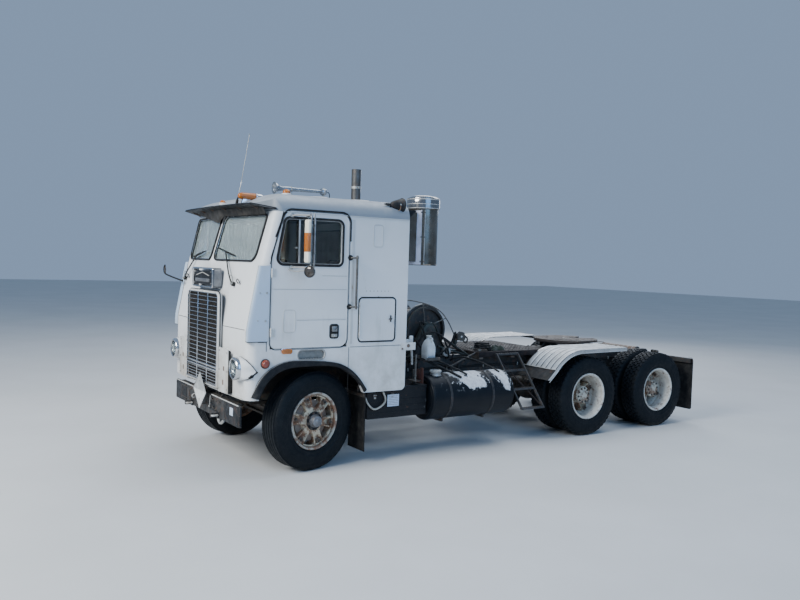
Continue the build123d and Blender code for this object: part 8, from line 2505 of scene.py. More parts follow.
# ----------------------------------------------------------------------------
# cab inside
# ----------------------------------------------------------------------------
def pad_mesh(p, w, l, h, place, mat, seams=(), crown=0.02, seed=1, tufts=(), sag=0.0):
    """A stuffed pad: w by l by h, crowned top and bottom, drawn in at its seams. place maps (u, v, t) to a point."""
    nu, nv = 34, 34
    rng = random.Random(seed)
    ph = [rng.uniform(0, 6.28) for _ in range(8)]

    def height(a, b, top):
        ea, eb = 1 - abs(a) ** 5, 1 - abs(b) ** 5
        k = max(0.0, ea * eb) ** 0.42
        y = 0.5 * h * k
        y += crown * k * math.cos(a * 1.4) * math.cos(b * 1.4)
        y -= sag * k * math.exp(-(a * a + b * b) * 3) if top else 0
        if top:
            for ax, at in seams:
                d = abs((a if ax == "u" else b) - at) * (w if ax == "u" else l) / 2
                y -= 0.014 * math.exp(-(d / 0.010) ** 2) + 0.006 * math.exp(-(d / 0.035) ** 2)
            for ta, tb in tufts:
                d = math.hypot((a - ta) * w / 2, (b - tb) * l / 2)
                y -= 0.020 * math.exp(-(d / 0.030) ** 2)
            y += 0.0022 * math.sin(a * 9 + ph[0]) * math.sin(b * 7 + ph[1]) + 0.0014 * math.sin(a * 21 + ph[2] + 3 * b) * math.sin(b * 17 + ph[3])
        return y
    vs, fs = [], []
    for top in (1, 0):
        for i in range(nu + 1):
            a = -1 + 2 * i / nu
            a = math.copysign(abs(a) ** 0.8, a)
            for j in range(nv + 1):
                b = -1 + 2 * j / nv
                b = math.copysign(abs(b) ** 0.8, b)
                ra = a * (1 - 0.035 * max(0.0, abs(b) - 0.7) / 0.3 * abs(a) ** 6)
                rb = b * (1 - 0.035 * max(0.0, abs(a) - 0.7) / 0.3 * abs(b) ** 6)
                t = height(a, b, top == 1) if max(abs(a), abs(b)) < 0.9999 else 0.0
                vs.append(place(ra * w / 2, rb * l / 2, t if top else -t))
    m = (nu + 1) * (nv + 1)
    for i in range(nu):
        for j in range(nv):
            q = [i * (nv + 1) + j, (i + 1) * (nv + 1) + j, (i + 1) * (nv + 1) + j + 1, i * (nv + 1) + j + 1]
            fs.append(tuple(q))
            fs.append(tuple(m + k for k in q[::-1]))
    # one skin: join the two halves along the edge
    same = {}
    for i in range(nu + 1):
        for j in range(nv + 1):
            if i in (0, nu) or j in (0, nv):
                same[m + i * (nv + 1) + j] = i * (nv + 1) + j
    fs = [tuple(same.get(k, k) for k in f) for f in fs]
    used = sorted({k for f in fs for k in f})
    idx = {k: n_ for n_, k in enumerate(used)}
    p.fixed([vs[k] for k in used], [tuple(idx[k] for k in f) for f in fs], mat)


for s, nm in ((1, "left"), (-1, "right")):
    p = Piece(f"seat_pedestal_{nm}", "cab", "frame_steel")
    p.m = mirror_x(s)
    p.box(0.580, 0.880, -0.04, 0.32, 1.1805, 1.205, "frame_steel", 0.004)
    # bellows between the foot and the pan
    prof = []
    for i in range(7):
        z = 1.205 + 0.030 * i
        prof += [(z, 1.0), (z + 0.015, 1.10)]
    for i in range(len(prof) - 1):
        (z0, k0), (z1, k1) = prof[i], prof[i + 1]
        vs = []
        for z, k in ((z0, k0), (z1, k1)):
            for a, b in ((-1, -1), (1, -1), (1, 1), (-1, 1)):
                vs.append((0.730 + a * 0.128 * k, 0.140 + b * 0.150 * k, z))
        p.fixed(vs, [(0, 1, 5, 4), (1, 2, 6, 5), (2, 3, 7, 6), (3, 0, 4, 7)], "hose")
    p.box(0.560, 0.900, -0.06, 0.34, 1.412, 1.440, "frame_steel", 0.005)
    for x in (0.585, 0.865):
        p.box(x - 0.014, x + 0.014, -0.10, 0.36, 1.440, 1.462, "frame_steel", 0.003)
    p.box(0.520, 0.940, -0.11, 0.37, 1.462, 1.486, "black_paint", 0.006)
    # recliner plates and adjusting levers
    for x in (0.508, 0.952):
        p.prism([(0.24, 1.462), (0.37, 1.462), (0.40, 1.60), (0.37, 1.70), (0.34, 1.70), (0.33, 1.58), (0.24, 1.50)], "x", x - 0.004, x + 0.004, "frame_steel", 0.001)
        p.cyl((x - 0.008, 0.355, 1.595), (x + 0.008, 0.355, 1.595), 0.018, "cast_steel", 18)
    p.cyl((0.960, 0.10, 1.452), (0.968, -0.08, 1.452), 0.006, "zinc", 10)
    p.ball((0.968, -0.085, 1.452), 0.012, "dial", 12)
    # belt buckle stalk
    p.tube([(0.500, 0.30, 1.47), (0.492, 0.28, 1.56), (0.490, 0.27, 1.62)], 0.006, "hose", k=8, smooth=2)
    p.box(0.478, 0.502, 0.255, 0.285, 1.610, 1.665, "interior_plastic", 0.005)
    p.done(replaces=["seats"] if s > 0 else ())

    p = Piece(f"seat_cushion_{nm}", "cab", "seat_vinyl")
    p.m = mirror_x(s)
    pad_mesh(p, 0.450, 0.515, 0.098, lambda u, v, t: (0.730 + u, 0.130 + v, 1.5455 + t + 0.012 * (v < 0) * (v / 0.26) ** 2), "seat_vinyl",
             seams=(("u", -0.46), ("u", 0.46), ("v", -0.52)), crown=0.010, seed=11 + s, sag=0.014)
    o = p.done(angle=80)
    p = Piece(f"seat_cushion_piping_{nm}", "cab", "seat_vinyl")
    p.m = mirror_x(s)
    pts = []
    for k in range(48):
        a = 2 * math.pi * (k + 0.5) / 48
        u, v = sup(a, 0.2235, 0.2560, 9)
        pts.append((0.730 + u, 0.130 + v, 1.5455 + 0.012 * (v < 0) * (v / 0.26) ** 2))
    p.tube(pts, 0.0042, "seal", k=8, closed=True)
    p.done()

    def back_place(u, v, t, s_=s):
        c = Vector((0.730, 0.405, 1.905))
        al = Vector((0, 0.099, 0.995))
        nn = Vector((0, -0.995, 0.099))
        return tuple(c + Vector((u, 0, 0)) + al * v + nn * t)
    p = Piece(f"seat_back_{nm}", "cab", "seat_vinyl")
    p.m = mirror_x(s)
    pad_mesh(p, 0.420, 0.640, 0.082, back_place, "seat_vinyl", seams=(("u", -0.50), ("u", 0.50), ("v", -0.42), ("v", 0.0), ("v", 0.42)), crown=0.007, seed=21 + s,
             sag=0.008)
    o = p.done(angle=80)
    p = Piece(f"seat_back_piping_{nm}", "cab", "seat_vinyl")
    p.m = mirror_x(s)
    pts = []
    for k in range(56):
        a = 2 * math.pi * (k + 0.5) / 56
        u, v = sup(a, 0.2085, 0.3185, 8)
        pts.append(back_place(u, v, 0.0))
    p.tube(pts, 0.0042, "seal", k=8, closed=True)
    p.done()

# mattress on the bunk, with piping along both edges and buttoned top
p = Piece("bunk_mattress", "cab", "cloth")
tufts = [(a, b) for a in (-0.78, -0.47, -0.16, 0.16, 0.47, 0.78) for b in (-0.5, 0.0, 0.5)]
pad_mesh(p, 2.140, 0.570, 0.112, lambda u, v, t: (u, 0.7825 + v, 1.9340 + t), "cloth", crown=0.006, seed=31, tufts=tufts)
o = p.done(angle=80, replaces=["mattress"])
p = Piece("mattress_piping", "cab", "cloth")
pts = []
for k in range(96):
    a = 2 * math.pi * (k + 0.5) / 96
    u, v = sup(a, 1.064, 0.2830, 14)
    pts.append((u, 0.7825 + v, 1.9340))
p.tube(pts, 0.0045, "seat_vinyl", k=8, closed=True)
for a, b in tufts:
    p.ball((a * 1.07, 0.7825 + b * 0.285, 1.9340 + 0.0425), 0.0075, "seat_vinyl", 10, (1, 1, 0.5))
p.done()

# dashboard: instrument panel, dials, switches, vents, glove box, wheel details
p = Piece("dashboard_details", "cab", "interior_plastic")
fn = Vector((0, 0.9545, 0.2983))       # out of the slanted face towards the driver
fu = Vector((0, -0.2983, 0.9545))      # up along it
fo = Vector((0, -0.330, 1.900))


def on_dash(x, u, out=0.0):
    return fo + Vector((x, 0, 0)) + fu * u + fn * out


def dash_disc(x, u, r, mat, a, b, n=32):
    p.cyl(on_dash(x, u, a), on_dash(x, u, b), r, mat, n, bev=0.001)


vs = [on_dash(x, u, d) for d in (0.001, 0.006) for x, u in ((0.400, 0.012), (1.000, 0.012), (1.000, 0.155), (0.400, 0.155))]
p.fixed(vs, [(4, 5, 6, 7), (0, 1, 5, 4), (1, 2, 6, 5), (2, 3, 7, 6), (3, 0, 4, 7)], "bare_alloy")
for x, u, r in ((0.600, 0.082, 0.052), (0.760, 0.082, 0.052), (0.470, 0.115, 0.026), (0.470, 0.050, 0.026), (0.530, 0.050, 0.022), (0.865, 0.115, 0.026),
                (0.865, 0.050, 0.026), (0.930, 0.115, 0.026), (0.930, 0.050, 0.026)):
    a = []
    for k in range(28):
        t = 2 * math.pi * k / 28
        a.append(tuple(on_dash(x + (r + 0.001) * math.cos(t), u + (r + 0.001) * math.sin(t), 0.009)))
    p.tube(a, 0.0035, "chrome", k=8, closed=True)
    dash_disc(x, u, r, "dial", 0.0055, 0.0075)
    cnt = 11 if r > 0.04 else 5
    for k in range(cnt):
        t = math.radians(225 - 270 * k / (cnt - 1))
        q0 = on_dash(x + r * 0.72 * math.cos(t), u + r * 0.72 * math.sin(t), 0.0078)
        q1 = on_dash(x + r * 0.90 * math.cos(t), u + r * 0.90 * math.sin(t), 0.0078)
        p.cyl(q0, q1, 0.0011, "dial_mark", 6)
    t = math.radians(205 + 14 * (r > 0.04))
    p.cyl(on_dash(x, u, 0.0085), on_dash(x + r * 0.70 * math.cos(t), u + r * 0.70 * math.sin(t), 0.0085), 0.0012, "red_orange", 6)
    dash_disc(x, u, 0.005, "dial", 0.0070, 0.0100, 12)
for k in range(7):
    x = 0.30 - 0.050 * k
    dash_disc(x, 0.045, 0.009, "chrome", 0.0, 0.006, 16)
    p.cyl(on_dash(x, 0.045, 0.004), on_dash(x, 0.038 if k % 3 else 0.052, 0.026), 0.0032, "chrome", 10)
for x in (0.20, -0.10, -0.85):
    vs = [on_dash(x + a, u, 0.0015) for a, u in ((-0.07, 0.085), (0.07, 0.085), (0.07, 0.135), (-0.07, 0.135))]
    p.tube([tuple(v) for v in vs], 0.0035, "interior_plastic", k=8, closed=True)
    for i in range(5):
        u = 0.090 + 0.010 * i
        p.cyl(on_dash(x - 0.066, u, 0.002), on_dash(x + 0.066, u, 0.002), 0.0022, "interior_plastic", 6)
# glove box lid with its catch, on the right
vs = [on_dash(a, u, 0.001) for a, u in ((-0.70, 0.015), (-0.30, 0.015), (-0.30, 0.110), (-0.70, 0.110))]
p.tube([tuple(v) for v in vs], 0.0025, "seal", k=6, closed=True)
dash_disc(-0.50, 0.090, 0.010, "chrome", 0.0, 0.008, 16)
# steering wheel: grip lumps on the rim, horn button and column collar
wc, wn = Vector((0.700, -0.185, 1.955)), Vector((0, 0.5501, 0.8351))
wu = Vector((0, -0.8351, 0.5501))
p.cyl(wc + wn * 0.010, wc + wn * 0.024, 0.036, "dial", 28, bev=0.004)
p.cyl(wc + wn * 0.020, wc + wn * 0.028, 0.020, "chrome", 20, bev=0.002)
for k in range(36):
    t = 2 * math.pi * k / 36
    q = wc + Vector((1, 0, 0)) * (0.235 * math.cos(t)) + wu * (0.235 * math.sin(t))
    d = Vector((1, 0, 0)) * (-math.sin(t)) + wu * math.cos(t)
    p.cyl(q - d * 0.0075, q + d * 0.0075, 0.0158, "dial", 12, bev=0.003)
cd = Vector((0, -0.5642, -0.8257))
p.cyl(wc + cd * 0.05, wc + cd * 0.13, 0.036, "interior_plastic", 24, bev=0.004)
p.cyl(wc + cd * 0.100, wc + cd * 0.100 + Vector((-0.115, 0.0, 0.012)), 0.005, "chrome", 10)
p.ball(wc + cd * 0.100 + Vector((-0.118, 0.0, 0.012)), 0.010, "dial", 12)
p.done()

# floor: pedals, gear lever, mat, tunnel cover, handbrake
p = Piece("floor_controls", "cab", "interior_plastic")
for x, w, z in ((0.560, 0.036, 1.330), (0.680, 0.036, 1.330), (0.800, 0.030, 1.280)):
    tall = x > 0.75
    p.prism([(-0.500, z - (0.085 if tall else 0.035)), (-0.440, z - (0.105 if tall else 0.050)), (-0.455, z + (0.06 if tall else 0.03)),
             (-0.515, z + (0.075 if tall else 0.045))], "x", x - w, x + w, "rubber", 0.004)
    p.tube([(x, -0.505, z), (x, -0.545, z - 0.02), (x, -0.575, z - 0.09), (x, -0.580, 1.182)], 0.009, "cast_steel", k=10, smooth=2)
p.box(0.500, 1.060, -0.430, 0.440, 1.1803, 1.1870, "rubber", 0.003)
p.box(-1.060, -0.500, -0.430, 0.440, 1.1803, 1.1870, "rubber", 0.003)
for i in range(20):
    for x0, x1 in ((0.52, 1.04), (-1.04, -0.52)):
        y = -0.40 + i * 0.042
        p.box(x0, x1, y - 0.004, y + 0.004, 1.1865, 1.1885, "rubber", 0.001, 1)
# tunnel cover: rolled edge, latches, gear lever with its boot
p.box(-0.440, 0.440, -0.640, 0.460, 1.6323, 1.6400, "rubber", 0.003)
for y in (-0.50, 0.30):
    for x in (-0.470, 0.470):
        p.box(x - 0.004, x + 0.004, y - 0.030, y + 0.030, 1.560, 1.628, "zinc", 0.002)
prof = []
for i in range(6):
    prof += [(1.640 + 0.016 * i, 0.060 - 0.007 * i), (1.648 + 0.016 * i, 0.064 - 0.008 * i)]
p.lathe(prof + [(1.740, 0.012)], (0.330, 0.030, 0), "z", "seal", 28)
p.tube([(0.330, 0.030, 1.70), (0.345, 0.010, 1.82), (0.372, -0.035, 1.935)], 0.008, "chrome", k=10, smooth=2)
p.ball((0.374, -0.038, 1.950), 0.026, "dial", 18)
p.box(-0.060, 0.130, 0.050, 0.250, 1.640, 1.700, "interior_plastic", 0.010)
for x in (-0.02, 0.09):
    p.lathe([(1.700, 0.030), (1.712, 0.028), (1.716, 0.020), (1.716, 0.0)], (x, 0.15, 0), "z", "red" if x > 0 else "dial_mark", 20)
p.done()

# door linings: pad, armrest, crank and pull; they swing with the doors
for s, nm in ((1, "left"), (-1, "right")):
    p = Piece(f"door_lining_{nm}", f"door_{nm}", "interior_plastic")
    p.m = mirror_x(s)
    p.box(1.0930, 1.0985, -0.220, 0.330, 1.380, 2.120, "interior_plastic", 0.003)
    p.box(1.0700, 1.0950, -0.060, 0.260, 1.800, 1.850, "seat_vinyl", 0.012, 3)
    p.box(1.0870, 1.0935, -0.160, 0.300, 1.440, 1.560, "interior_plastic", 0.005)
    for z in (1.62, 1.72, 1.92, 2.02):
        p.box(1.0915, 1.0940, -0.190, 0.310, z - 0.003, z + 0.003, "seal", 0.001)
    p.cyl((1.0950, 0.060, 1.680), (1.0700, 0.060, 1.680), 0.016, "chrome", 18, bev=0.003)
    p.cyl((1.0740, 0.060, 1.680), (1.0700, 0.145, 1.640), 0.006, "chrome", 10)
    p.cyl((1.0740, 0.145, 1.640), (1.0500, 0.145, 1.640), 0.010, "dial", 14, bev=0.003)
    p.box(1.0830, 1.0940, 0.200, 0.290, 1.950, 1.978, "chrome", 0.004)
    p.done()

# headlining and the sleeper's back panel
p = Piece("headlining", "cab", "cloth")
nx, ny = 44, 44
vs, fs = [], []
for i in range(nx + 1):
    for j in range(ny + 1):
        x, y = -0.90 + 1.80 * i / nx, -0.30 + 1.33 * j / ny
        z = 2.8840 - 0.052 * (x / 0.90) ** 2
        qx, qy = (x / 0.225) % 1.0, (y / 0.225) % 1.0
        z -= 0.010 * (math.sin(math.pi * qx) * math.sin(math.pi * qy)) ** 0.5
        if y < -0.06:
            z -= 0.052 * ((-0.06 - y) / 0.54) + 0.146 * ((-0.06 - y) / 0.54) ** 2
        vs.append((x, y, z))
for i in range(nx):
    for j in range(ny):
        a = i * (ny + 1) + j
        fs.append((a, a + 1, a + ny + 2, a + ny + 1))
p.fixed(vs, fs, "headlining")
p.done(angle=50)
p = Piece("sleeper_panel", "cab", "cloth")
for x0, x1 in ((-1.00, -0.36), (0.36, 1.00)):
    vs, fs, n = [], [], 26
    for i in range(n + 1):
        for j in range(n + 1):
            x, z = x0 + (x1 - x0) * i / n, 2.06 + 0.54 * j / n
            q = (math.sin(math.pi * ((i * 4 / n) % 1.0)) * math.sin(math.pi * ((j * 4 / n) % 1.0))) ** 0.5
            vs.append((x, 1.0870 - 0.010 * q, z))
    for i in range(n):
        for j in range(n):
            a = i * (n + 1) + j
            fs.append((a, a + n + 1, a + n + 2, a + 1))
    p.fixed(vs, fs, "headlining")
    for z in (2.055, 2.605):
        p.box(x0 - 0.004, x1 + 0.004, 1.0760, 1.0885, z - 0.006, z + 0.006, "interior_plastic", 0.003)
p.done(angle=50)

# pleated curtain inside the right-hand door window, on its rail
rail = Piece("curtain_rail", "door_right", "chrome")
rail.cyl((-1.066, -0.400, 2.655), (-1.066, 0.290, 2.655), 0.005, "chrome", 12)
for y in (-0.395, 0.285):
    rail.box(-1.0985, -1.0600, y - 0.010, y + 0.010, 2.646, 2.664, "zinc", 0.003)
rail.done()
p = Piece("door_curtain", "door_right", "cloth")
nu, nv, pleats = 220, 12, 15
vs, fs = [], []
y0, y1, z0, z1 = -0.380, 0.270, 2.150, 2.645


def fold(u, v):
    a = 2 * math.pi * pleats * u
    amp = 0.0060 + 0.0035 * v
    return (-1.066 + amp * math.sin(a) + 0.002 * math.sin(2.3 * a * 0.31 + 1.0), y0 + (y1 - y0) * u, z1 - (z1 - z0) * v)


for side, off in ((0, -0.0005), (1, 0.0005)):
    for i in range(nu + 1):
        for j in range(nv + 1):
            x, y, z = fold(i / nu, j / nv)
            vs.append((x + off, y, z))
m = (nu + 1) * (nv + 1)
for i in range(nu):
    for j in range(nv):
        a = i * (nv + 1) + j
        fs.append((a, a + 1, a + nv + 2, a + nv + 1))
        fs.append((m + a, m + a + nv + 1, m + a + nv + 2, m + a + 1))
for i in range(nu):
    a, b = i * (nv + 1), i * (nv + 1) + nv
    fs.append((a, a + nv + 1, m + a + nv + 1, m + a))
    fs.append((b, m + b, m + b + nv + 1, b + nv + 1))
for j in range(nv):
    a, b = j, nu * (nv + 1) + j
    fs.append((a, m + a, m + a + 1, a + 1))
    fs.append((b, b + 1, m + b + 1, m + b))
p.fixed(vs, fs, "curtain_teal")
o = p.done(angle=80)

# black arm that reaches forward from the far front corner and ends in a small round mirror
p = Piece("corner_arm", "cab", "black_paint")
p.lathe([(0.0, 0.022), (0.006, 0.022), (0.012, 0.014), (0.012, 0.0)], (-1.000, -0.712, 1.921), (-0.3, -0.95, 0.0), "seal", 20)
p.tube([(-1.000, -0.715, 1.921), (-1.060, -0.745, 1.935), (-1.200, -0.785, 1.962), (-1.330, -0.822, 1.990), (-1.362, -0.832, 2.012), (-1.368, -0.836, 2.050),
        (-1.362, -0.834, 2.085), (-1.345, -0.828, 2.104)], 0.0095, "seal", k=10, smooth=2)
p.lathe([(0.0, 0.0), (0.0, 0.020), (0.005, 0.034), (0.014, 0.040), (0.020, 0.040), (0.022, 0.036), (0.023, 0.0)], (-1.352, -0.838, 2.048), (0.35, 0.93, 0.0), "mirror_back", 28)
p.done()

# ----------------------------------------------------------------------------
# engine, radiator, gearbox and shafts, seen from below and with the cab tilted
# ----------------------------------------------------------------------------
p = Piece("engine_parts", "chassis", "cast_steel")
EP = "engine_paint"
p.prism([(-0.19, 0.700), (0.19, 0.700), (0.235, 0.780), (0.235, 1.010), (0.195, 1.085), (0.195, 1.240), (-0.195, 1.240), (-0.195, 1.085), (-0.235, 1.010), (-0.235, 0.780)],
        "y", -0.300, 0.745, EP, 0.006)
# crankcase ribs, core plugs and side covers
for s in (1, -1):
    for i in range(7):
        y = -0.270 + i * 0.165
        p.box(min(s * 0.228, s * 0.243), max(s * 0.228, s * 0.243), y - 0.009, y + 0.009, 0.780, 1.010, EP, 0.003)
    for i in range(6):
        y = -0.188 + i * 0.165
        p.lathe([(0.0, 0.034), (0.004, 0.034), (0.007, 0.029), (0.003, 0.026), (0.003, 0.0)], (s * 0.195, y, 1.165), (s, 0, 0), EP, 24)
        if s > 0:
            p.prism([(y - 0.062, 0.820), (y - 0.052, 0.810), (y + 0.052, 0.810), (y + 0.062, 0.820), (y + 0.062, 0.970), (y + 0.052, 0.980), (y - 0.052, 0.980), (y - 0.062, 0.970)],
                    "x", 0.234, 0.243, EP, 0.003)
            for dy, dz in ((-0.05, 0.825), (0.05, 0.825), (-0.05, 0.965), (0.05, 0.965)):
                p.bolt((0.243, y + dy, dz), (1, 0, 0), "cast_steel", 0.006, 0.005, False)
# three heads and their ribbed covers
for k in range(3):
    y0, y1 = -0.290 + k * 0.345, 0.045 + k * 0.345
    p.box(-0.165, 0.165, y0, y1, 1.239, 1.338, EP, 0.008, 3)
    p.box(-0.140, 0.140, y0 + 0.010, y1 - 0.010, 1.337, 1.356, EP, 0.005)
    p.prism([(-0.130, 1.355), (0.130, 1.355), (0.128, 1.420), (0.108, 1.452), (-0.108, 1.452), (-0.128, 1.420)], "y", y0 + 0.018, y1 - 0.018, "engine_cover", 0.014, 3)
    for i in range(5):
        y = y0 + 0.055 + i * 0.056
        p.box(-0.096, 0.096, y - 0.006, y + 0.006, 1.4515, 1.4565, "engine_cover", 0.002)
    for x in (-0.134, 0.134):
        for i in range(4):
            p.bolt((x, y0 + 0.030 + i * 0.092, 1.356), (0, 0, 1), "cast_steel", 0.007, 0.008)
    for i in range(4):
        for x in (-0.150, 0.150):
            p.bolt((x, y0 + 0.020 + i * 0.099, 1.338), (0, 0, 1), "cast_steel", 0.008, 0.012)
# oil filler cap and breather
p.lathe([(1.450, 0.030), (1.474, 0.030), (1.476, 0.036), (1.490, 0.036), (1.494, 0.030), (1.494, 0.0)], (0.02, 0.55, 0), "z", "black_paint", 28)
p.tube([(-0.04, 0.20, 1.452), (-0.04, 0.20, 1.485), (-0.10, 0.20, 1.495), (-0.20, 0.22, 1.440), (-0.255, 0.24, 1.20), (-0.262, 0.24, 0.72)], 0.014, "hose", k=10, smooth=2)
# sump, flange and drain
p.prism([(-0.175, 0.640), (-0.145, 0.606), (0.145, 0.606), (0.175, 0.640), (0.195, 0.690), (-0.195, 0.690)], "y", -0.240, 0.700, EP, 0.010, 3)
p.box(-0.212, 0.212, -0.268, 0.722, 0.688, 0.702, EP, 0.003)
for s in (1, -1):
    for i in range(13):
        p.bolt((s * 0.204, -0.24 + i * 0.078, 0.702), (0, 0, 1), "cast_steel", 0.006, 0.005, False)
p.bolt((0.05, 0.56, 0.606), (0, 0, -1), "cast_steel", 0.014, 0.010)
for i in range(6):
    p.box(-0.150, 0.150, -0.16 + i * 0.15, -0.148 + i * 0.15, 0.6035, 0.6085, EP, 0.002)
# timing case, damper, pulleys, belts, fan
p.prism([(-0.235, 0.720), (-0.150, 0.680), (0.150, 0.680), (0.235, 0.720), (0.250, 0.900), (0.215, 1.080), (0.120, 1.240), (-0.120, 1.240), (-0.215, 1.080), (-0.250, 0.900)],
        "y", -0.352, -0.298, EP, 0.010, 3)
for a in range(14):
    t = 2 * math.pi * a / 14
    p.bolt((0.205 * math.cos(t), -0.352, 0.940 + 0.225 * math.sin(t)), (0, -1, 0), "cast_steel", 0.008, 0.006)
for (x, z, r, y) in ((0.0, 0.790, 0.115, -0.352), (0.0, 1.115, 0.085, -0.352), (0.245, 1.060, 0.045, -0.352)):
    p.lathe([(y, 0.018), (y - 0.010, 0.030), (y - 0.012, r * 0.92), (y - 0.018, r), (y - 0.024, r * 0.90), (y - 0.030, r), (y - 0.036, r * 0.90), (y - 0.042, r), (y - 0.046, r * 0.93),
             (y - 0.046, r * 0.60), (y - 0.040, r * 0.55), (y - 0.040, 0.0)], (x, 0, z), "y", "cast_steel", 44)
    for k in range(5):
        t = 2 * math.pi * k / 5
        p.bolt((x + r * 0.35 * math.cos(t), y - 0.040, z + r * 0.35 * math.sin(t)), (0, -1, 0), "zinc", 0.006, 0.004, False)


def belt(c0, r0, c1, r1, y, r=0.006):
    (x0, z0), (x1, z1) = c0, c1
    d = math.hypot(x1 - x0, z1 - z0)
    th = math.atan2(z1 - z0, x1 - x0)
    b = math.acos((r0 - r1) / d)
    pts = []
    for i in range(15):
        a = th + b + (2 * math.pi - 2 * b) * i / 14
        pts.append((x0 + r0 * math.cos(a), y, z0 + r0 * math.sin(a)))
    for i in range(15):
        a = th - b + 2 * b * i / 14
        pts.append((x1 + r1 * math.cos(a), y, z1 + r1 * math.sin(a)))
    p.tube(pts, r, "rubber", k=6, closed=True, flat=(0.008, 0.009))


belt((0.0, 0.790), 0.112, (0.0, 1.115), 0.082, -0.376)
belt((0.0, 0.790), 0.112, (0.245, 1.060), 0.042, -0.388)
p.lathe([(-0.395, 0.036), (-0.430, 0.040), (-0.440, 0.062), (-0.452, 0.062), (-0.456, 0.030), (-0.468, 0.026), (-0.470, 0.0)], (0, 0, 1.115), "y", "cast_steel", 32)
for k in range(6):
    a = 2 * math.pi * k / 6 + 0.2
    ca, sa = math.cos(a), math.sin(a)
    vs = []
    for i in range(9):
        r = 0.045 + (0.305 - 0.045) * i / 8
        w = 0.030 + 0.042 * min(1.0, i / 4)
        tw = 0.020 + 0.004 * (1 - i / 8)
        for side in (-1, 0, 1):
            t = side * w * 0.5
            y = -0.446 + side * tw + (0.006 if side == 0 else 0.0)
            vs.append((r * ca - t * 2 * sa, y, 1.115 + r * sa + t * 2 * ca))
    fs = [(i * 3 + j, i * 3 + j + 1, (i + 1) * 3 + j + 1, (i + 1) * 3 + j) for i in range(8) for j in range(2)]
    b = bmesh.new()
    bv = [b.verts.new(q) for q in vs]
    for f in fs:
        b.faces.new([bv[i] for i in f])
    b.normal_update()
    bmesh.ops.solidify(b, geom=list(b.faces), thickness=0.003)
    bmesh.ops.recalc_face_normals(b, faces=list(b.faces))
    p.bm(b, "fan_red")
    for r in (0.070, 0.100):
        p.rivet((r * ca, -0.452, 1.115 + r * sa), (0, -1, 0), "zinc", 0.006, 0.004)
# alternator with vents and a bracket
p.lathe([(-0.340, 0.030), (-0.335, 0.060), (-0.325, 0.068), (-0.300, 0.070), (-0.298, 0.066), (-0.220, 0.066), (-0.218, 0.070), (-0.195, 0.070), (-0.185, 0.060), (-0.182, 0.0)],
        (0.262, 0, 1.060), "y", "bare_alloy", 36)
for k in range(16):
    a = 2 * math.pi * k / 16
    p.box(0.262 + 0.058 * math.cos(a) - 0.004, 0.262 + 0.058 * math.cos(a) + 0.004, -0.3385, -0.3340, 1.060 + 0.058 * math.sin(a) - 0.010, 1.060 + 0.058 * math.sin(a) + 0.010, "seal", 0.0, 1)
p.tube([(0.262, -0.26, 1.130), (0.20, -0.26, 1.160), (0.14, -0.29, 1.130)], 0.010, "cast_steel", k=8, flat=(0.006, 0.022))
# water outlet, top hose, bottom hose with clamps
p.lathe([(1.338, 0.050), (1.344, 0.050), (1.350, 0.034), (1.385, 0.034), (1.390, 0.0)], (0.06, -0.255, 0), "z", EP, 24)
p.tube([(0.06, -0.270, 1.385), (0.07, -0.330, 1.420), (0.12, -0.430, 1.455), (0.16, -0.500, 1.480), (0.16, -0.560, 1.482)], 0.026, "hose", k=14, smooth=3)
p.tube([(-0.16, -0.330, 0.900), (-0.22, -0.400, 0.890), (-0.26, -0.470, 0.860), (-0.26, -0.560, 0.852)], 0.030, "hose", k=14, smooth=3)
for q, d, r in (((0.085, -0.345, 1.428), (0.2, -0.9, 0.35), 0.028), ((0.16, -0.520, 1.481), (0, 1, 0), 0.028), ((-0.26, -0.510, 0.856), (0, 1, 0), 0.032)):
    p.lathe([(-0.007, r - 0.002), (-0.007, r + 0.001), (0.007, r + 0.001), (0.007, r - 0.002)], q, d, "zinc", 28, closed=True)
# exhaust manifold on the right, turbocharger and down pipe
p.tube([(-0.262, -0.230, 1.285), (-0.268, 0.05, 1.290), (-0.268, 0.40, 1.290), (-0.262, 0.700, 1.285)], 0.036, "manifold_rust", k=16, smooth=2)
for i in range(6):
    y = -0.205 + i * 0.173
    p.tube([(-0.160, y, 1.285), (-0.205, y, 1.290), (-0.250, y, 1.288)], 0.026, "manifold_rust", k=12, smooth=1)
    p.box(-0.176, -0.164, y - 0.042, y + 0.042, 1.250, 1.322, "manifold_rust", 0.004)
    for dy in (-0.032, 0.032):
        p.bolt((-0.176, y + dy, 1.286), (-1, 0, 0), "cast_steel", 0.007, 0.008)
p.box(-0.330, -0.262, 0.270, 0.350, 1.318, 1.352, "manifold_rust", 0.005)
p.lathe([(0.210, 0.040), (0.216, 0.062), (0.240, 0.076), (0.285, 0.080), (0.320, 0.070), (0.345, 0.052), (0.350, 0.040), (0.385, 0.038), (0.392, 0.056), (0.400, 0.084), (0.420, 0.092),
         (0.455, 0.088), (0.470, 0.062), (0.480, 0.052)], (-0.296, 0, 1.420), "y", "manifold_rust", 40)
p.torus((-0.296, 0.435, 1.420), 0.074, 0.026, "y", "bare_alloy", 40, 14)
p.torus((-0.296, 0.262, 1.420), 0.062, 0.028, "y", "manifold_rust", 40, 14)
p.tube([(-0.296, 0.470, 1.420), (-0.296, 0.540, 1.422), (-0.270, 0.620, 1.430), (-0.200, 0.700, 1.450), (-0.100, 0.760, 1.470)], 0.046, "hose", k=16, smooth=3)
p.tube([(-0.100, 0.760, 1.470), (0.04, 0.800, 1.478), (0.18, 0.790, 1.450), (0.250, 0.740, 1.380)], 0.046, "bare_alloy", k=16, smooth=2)
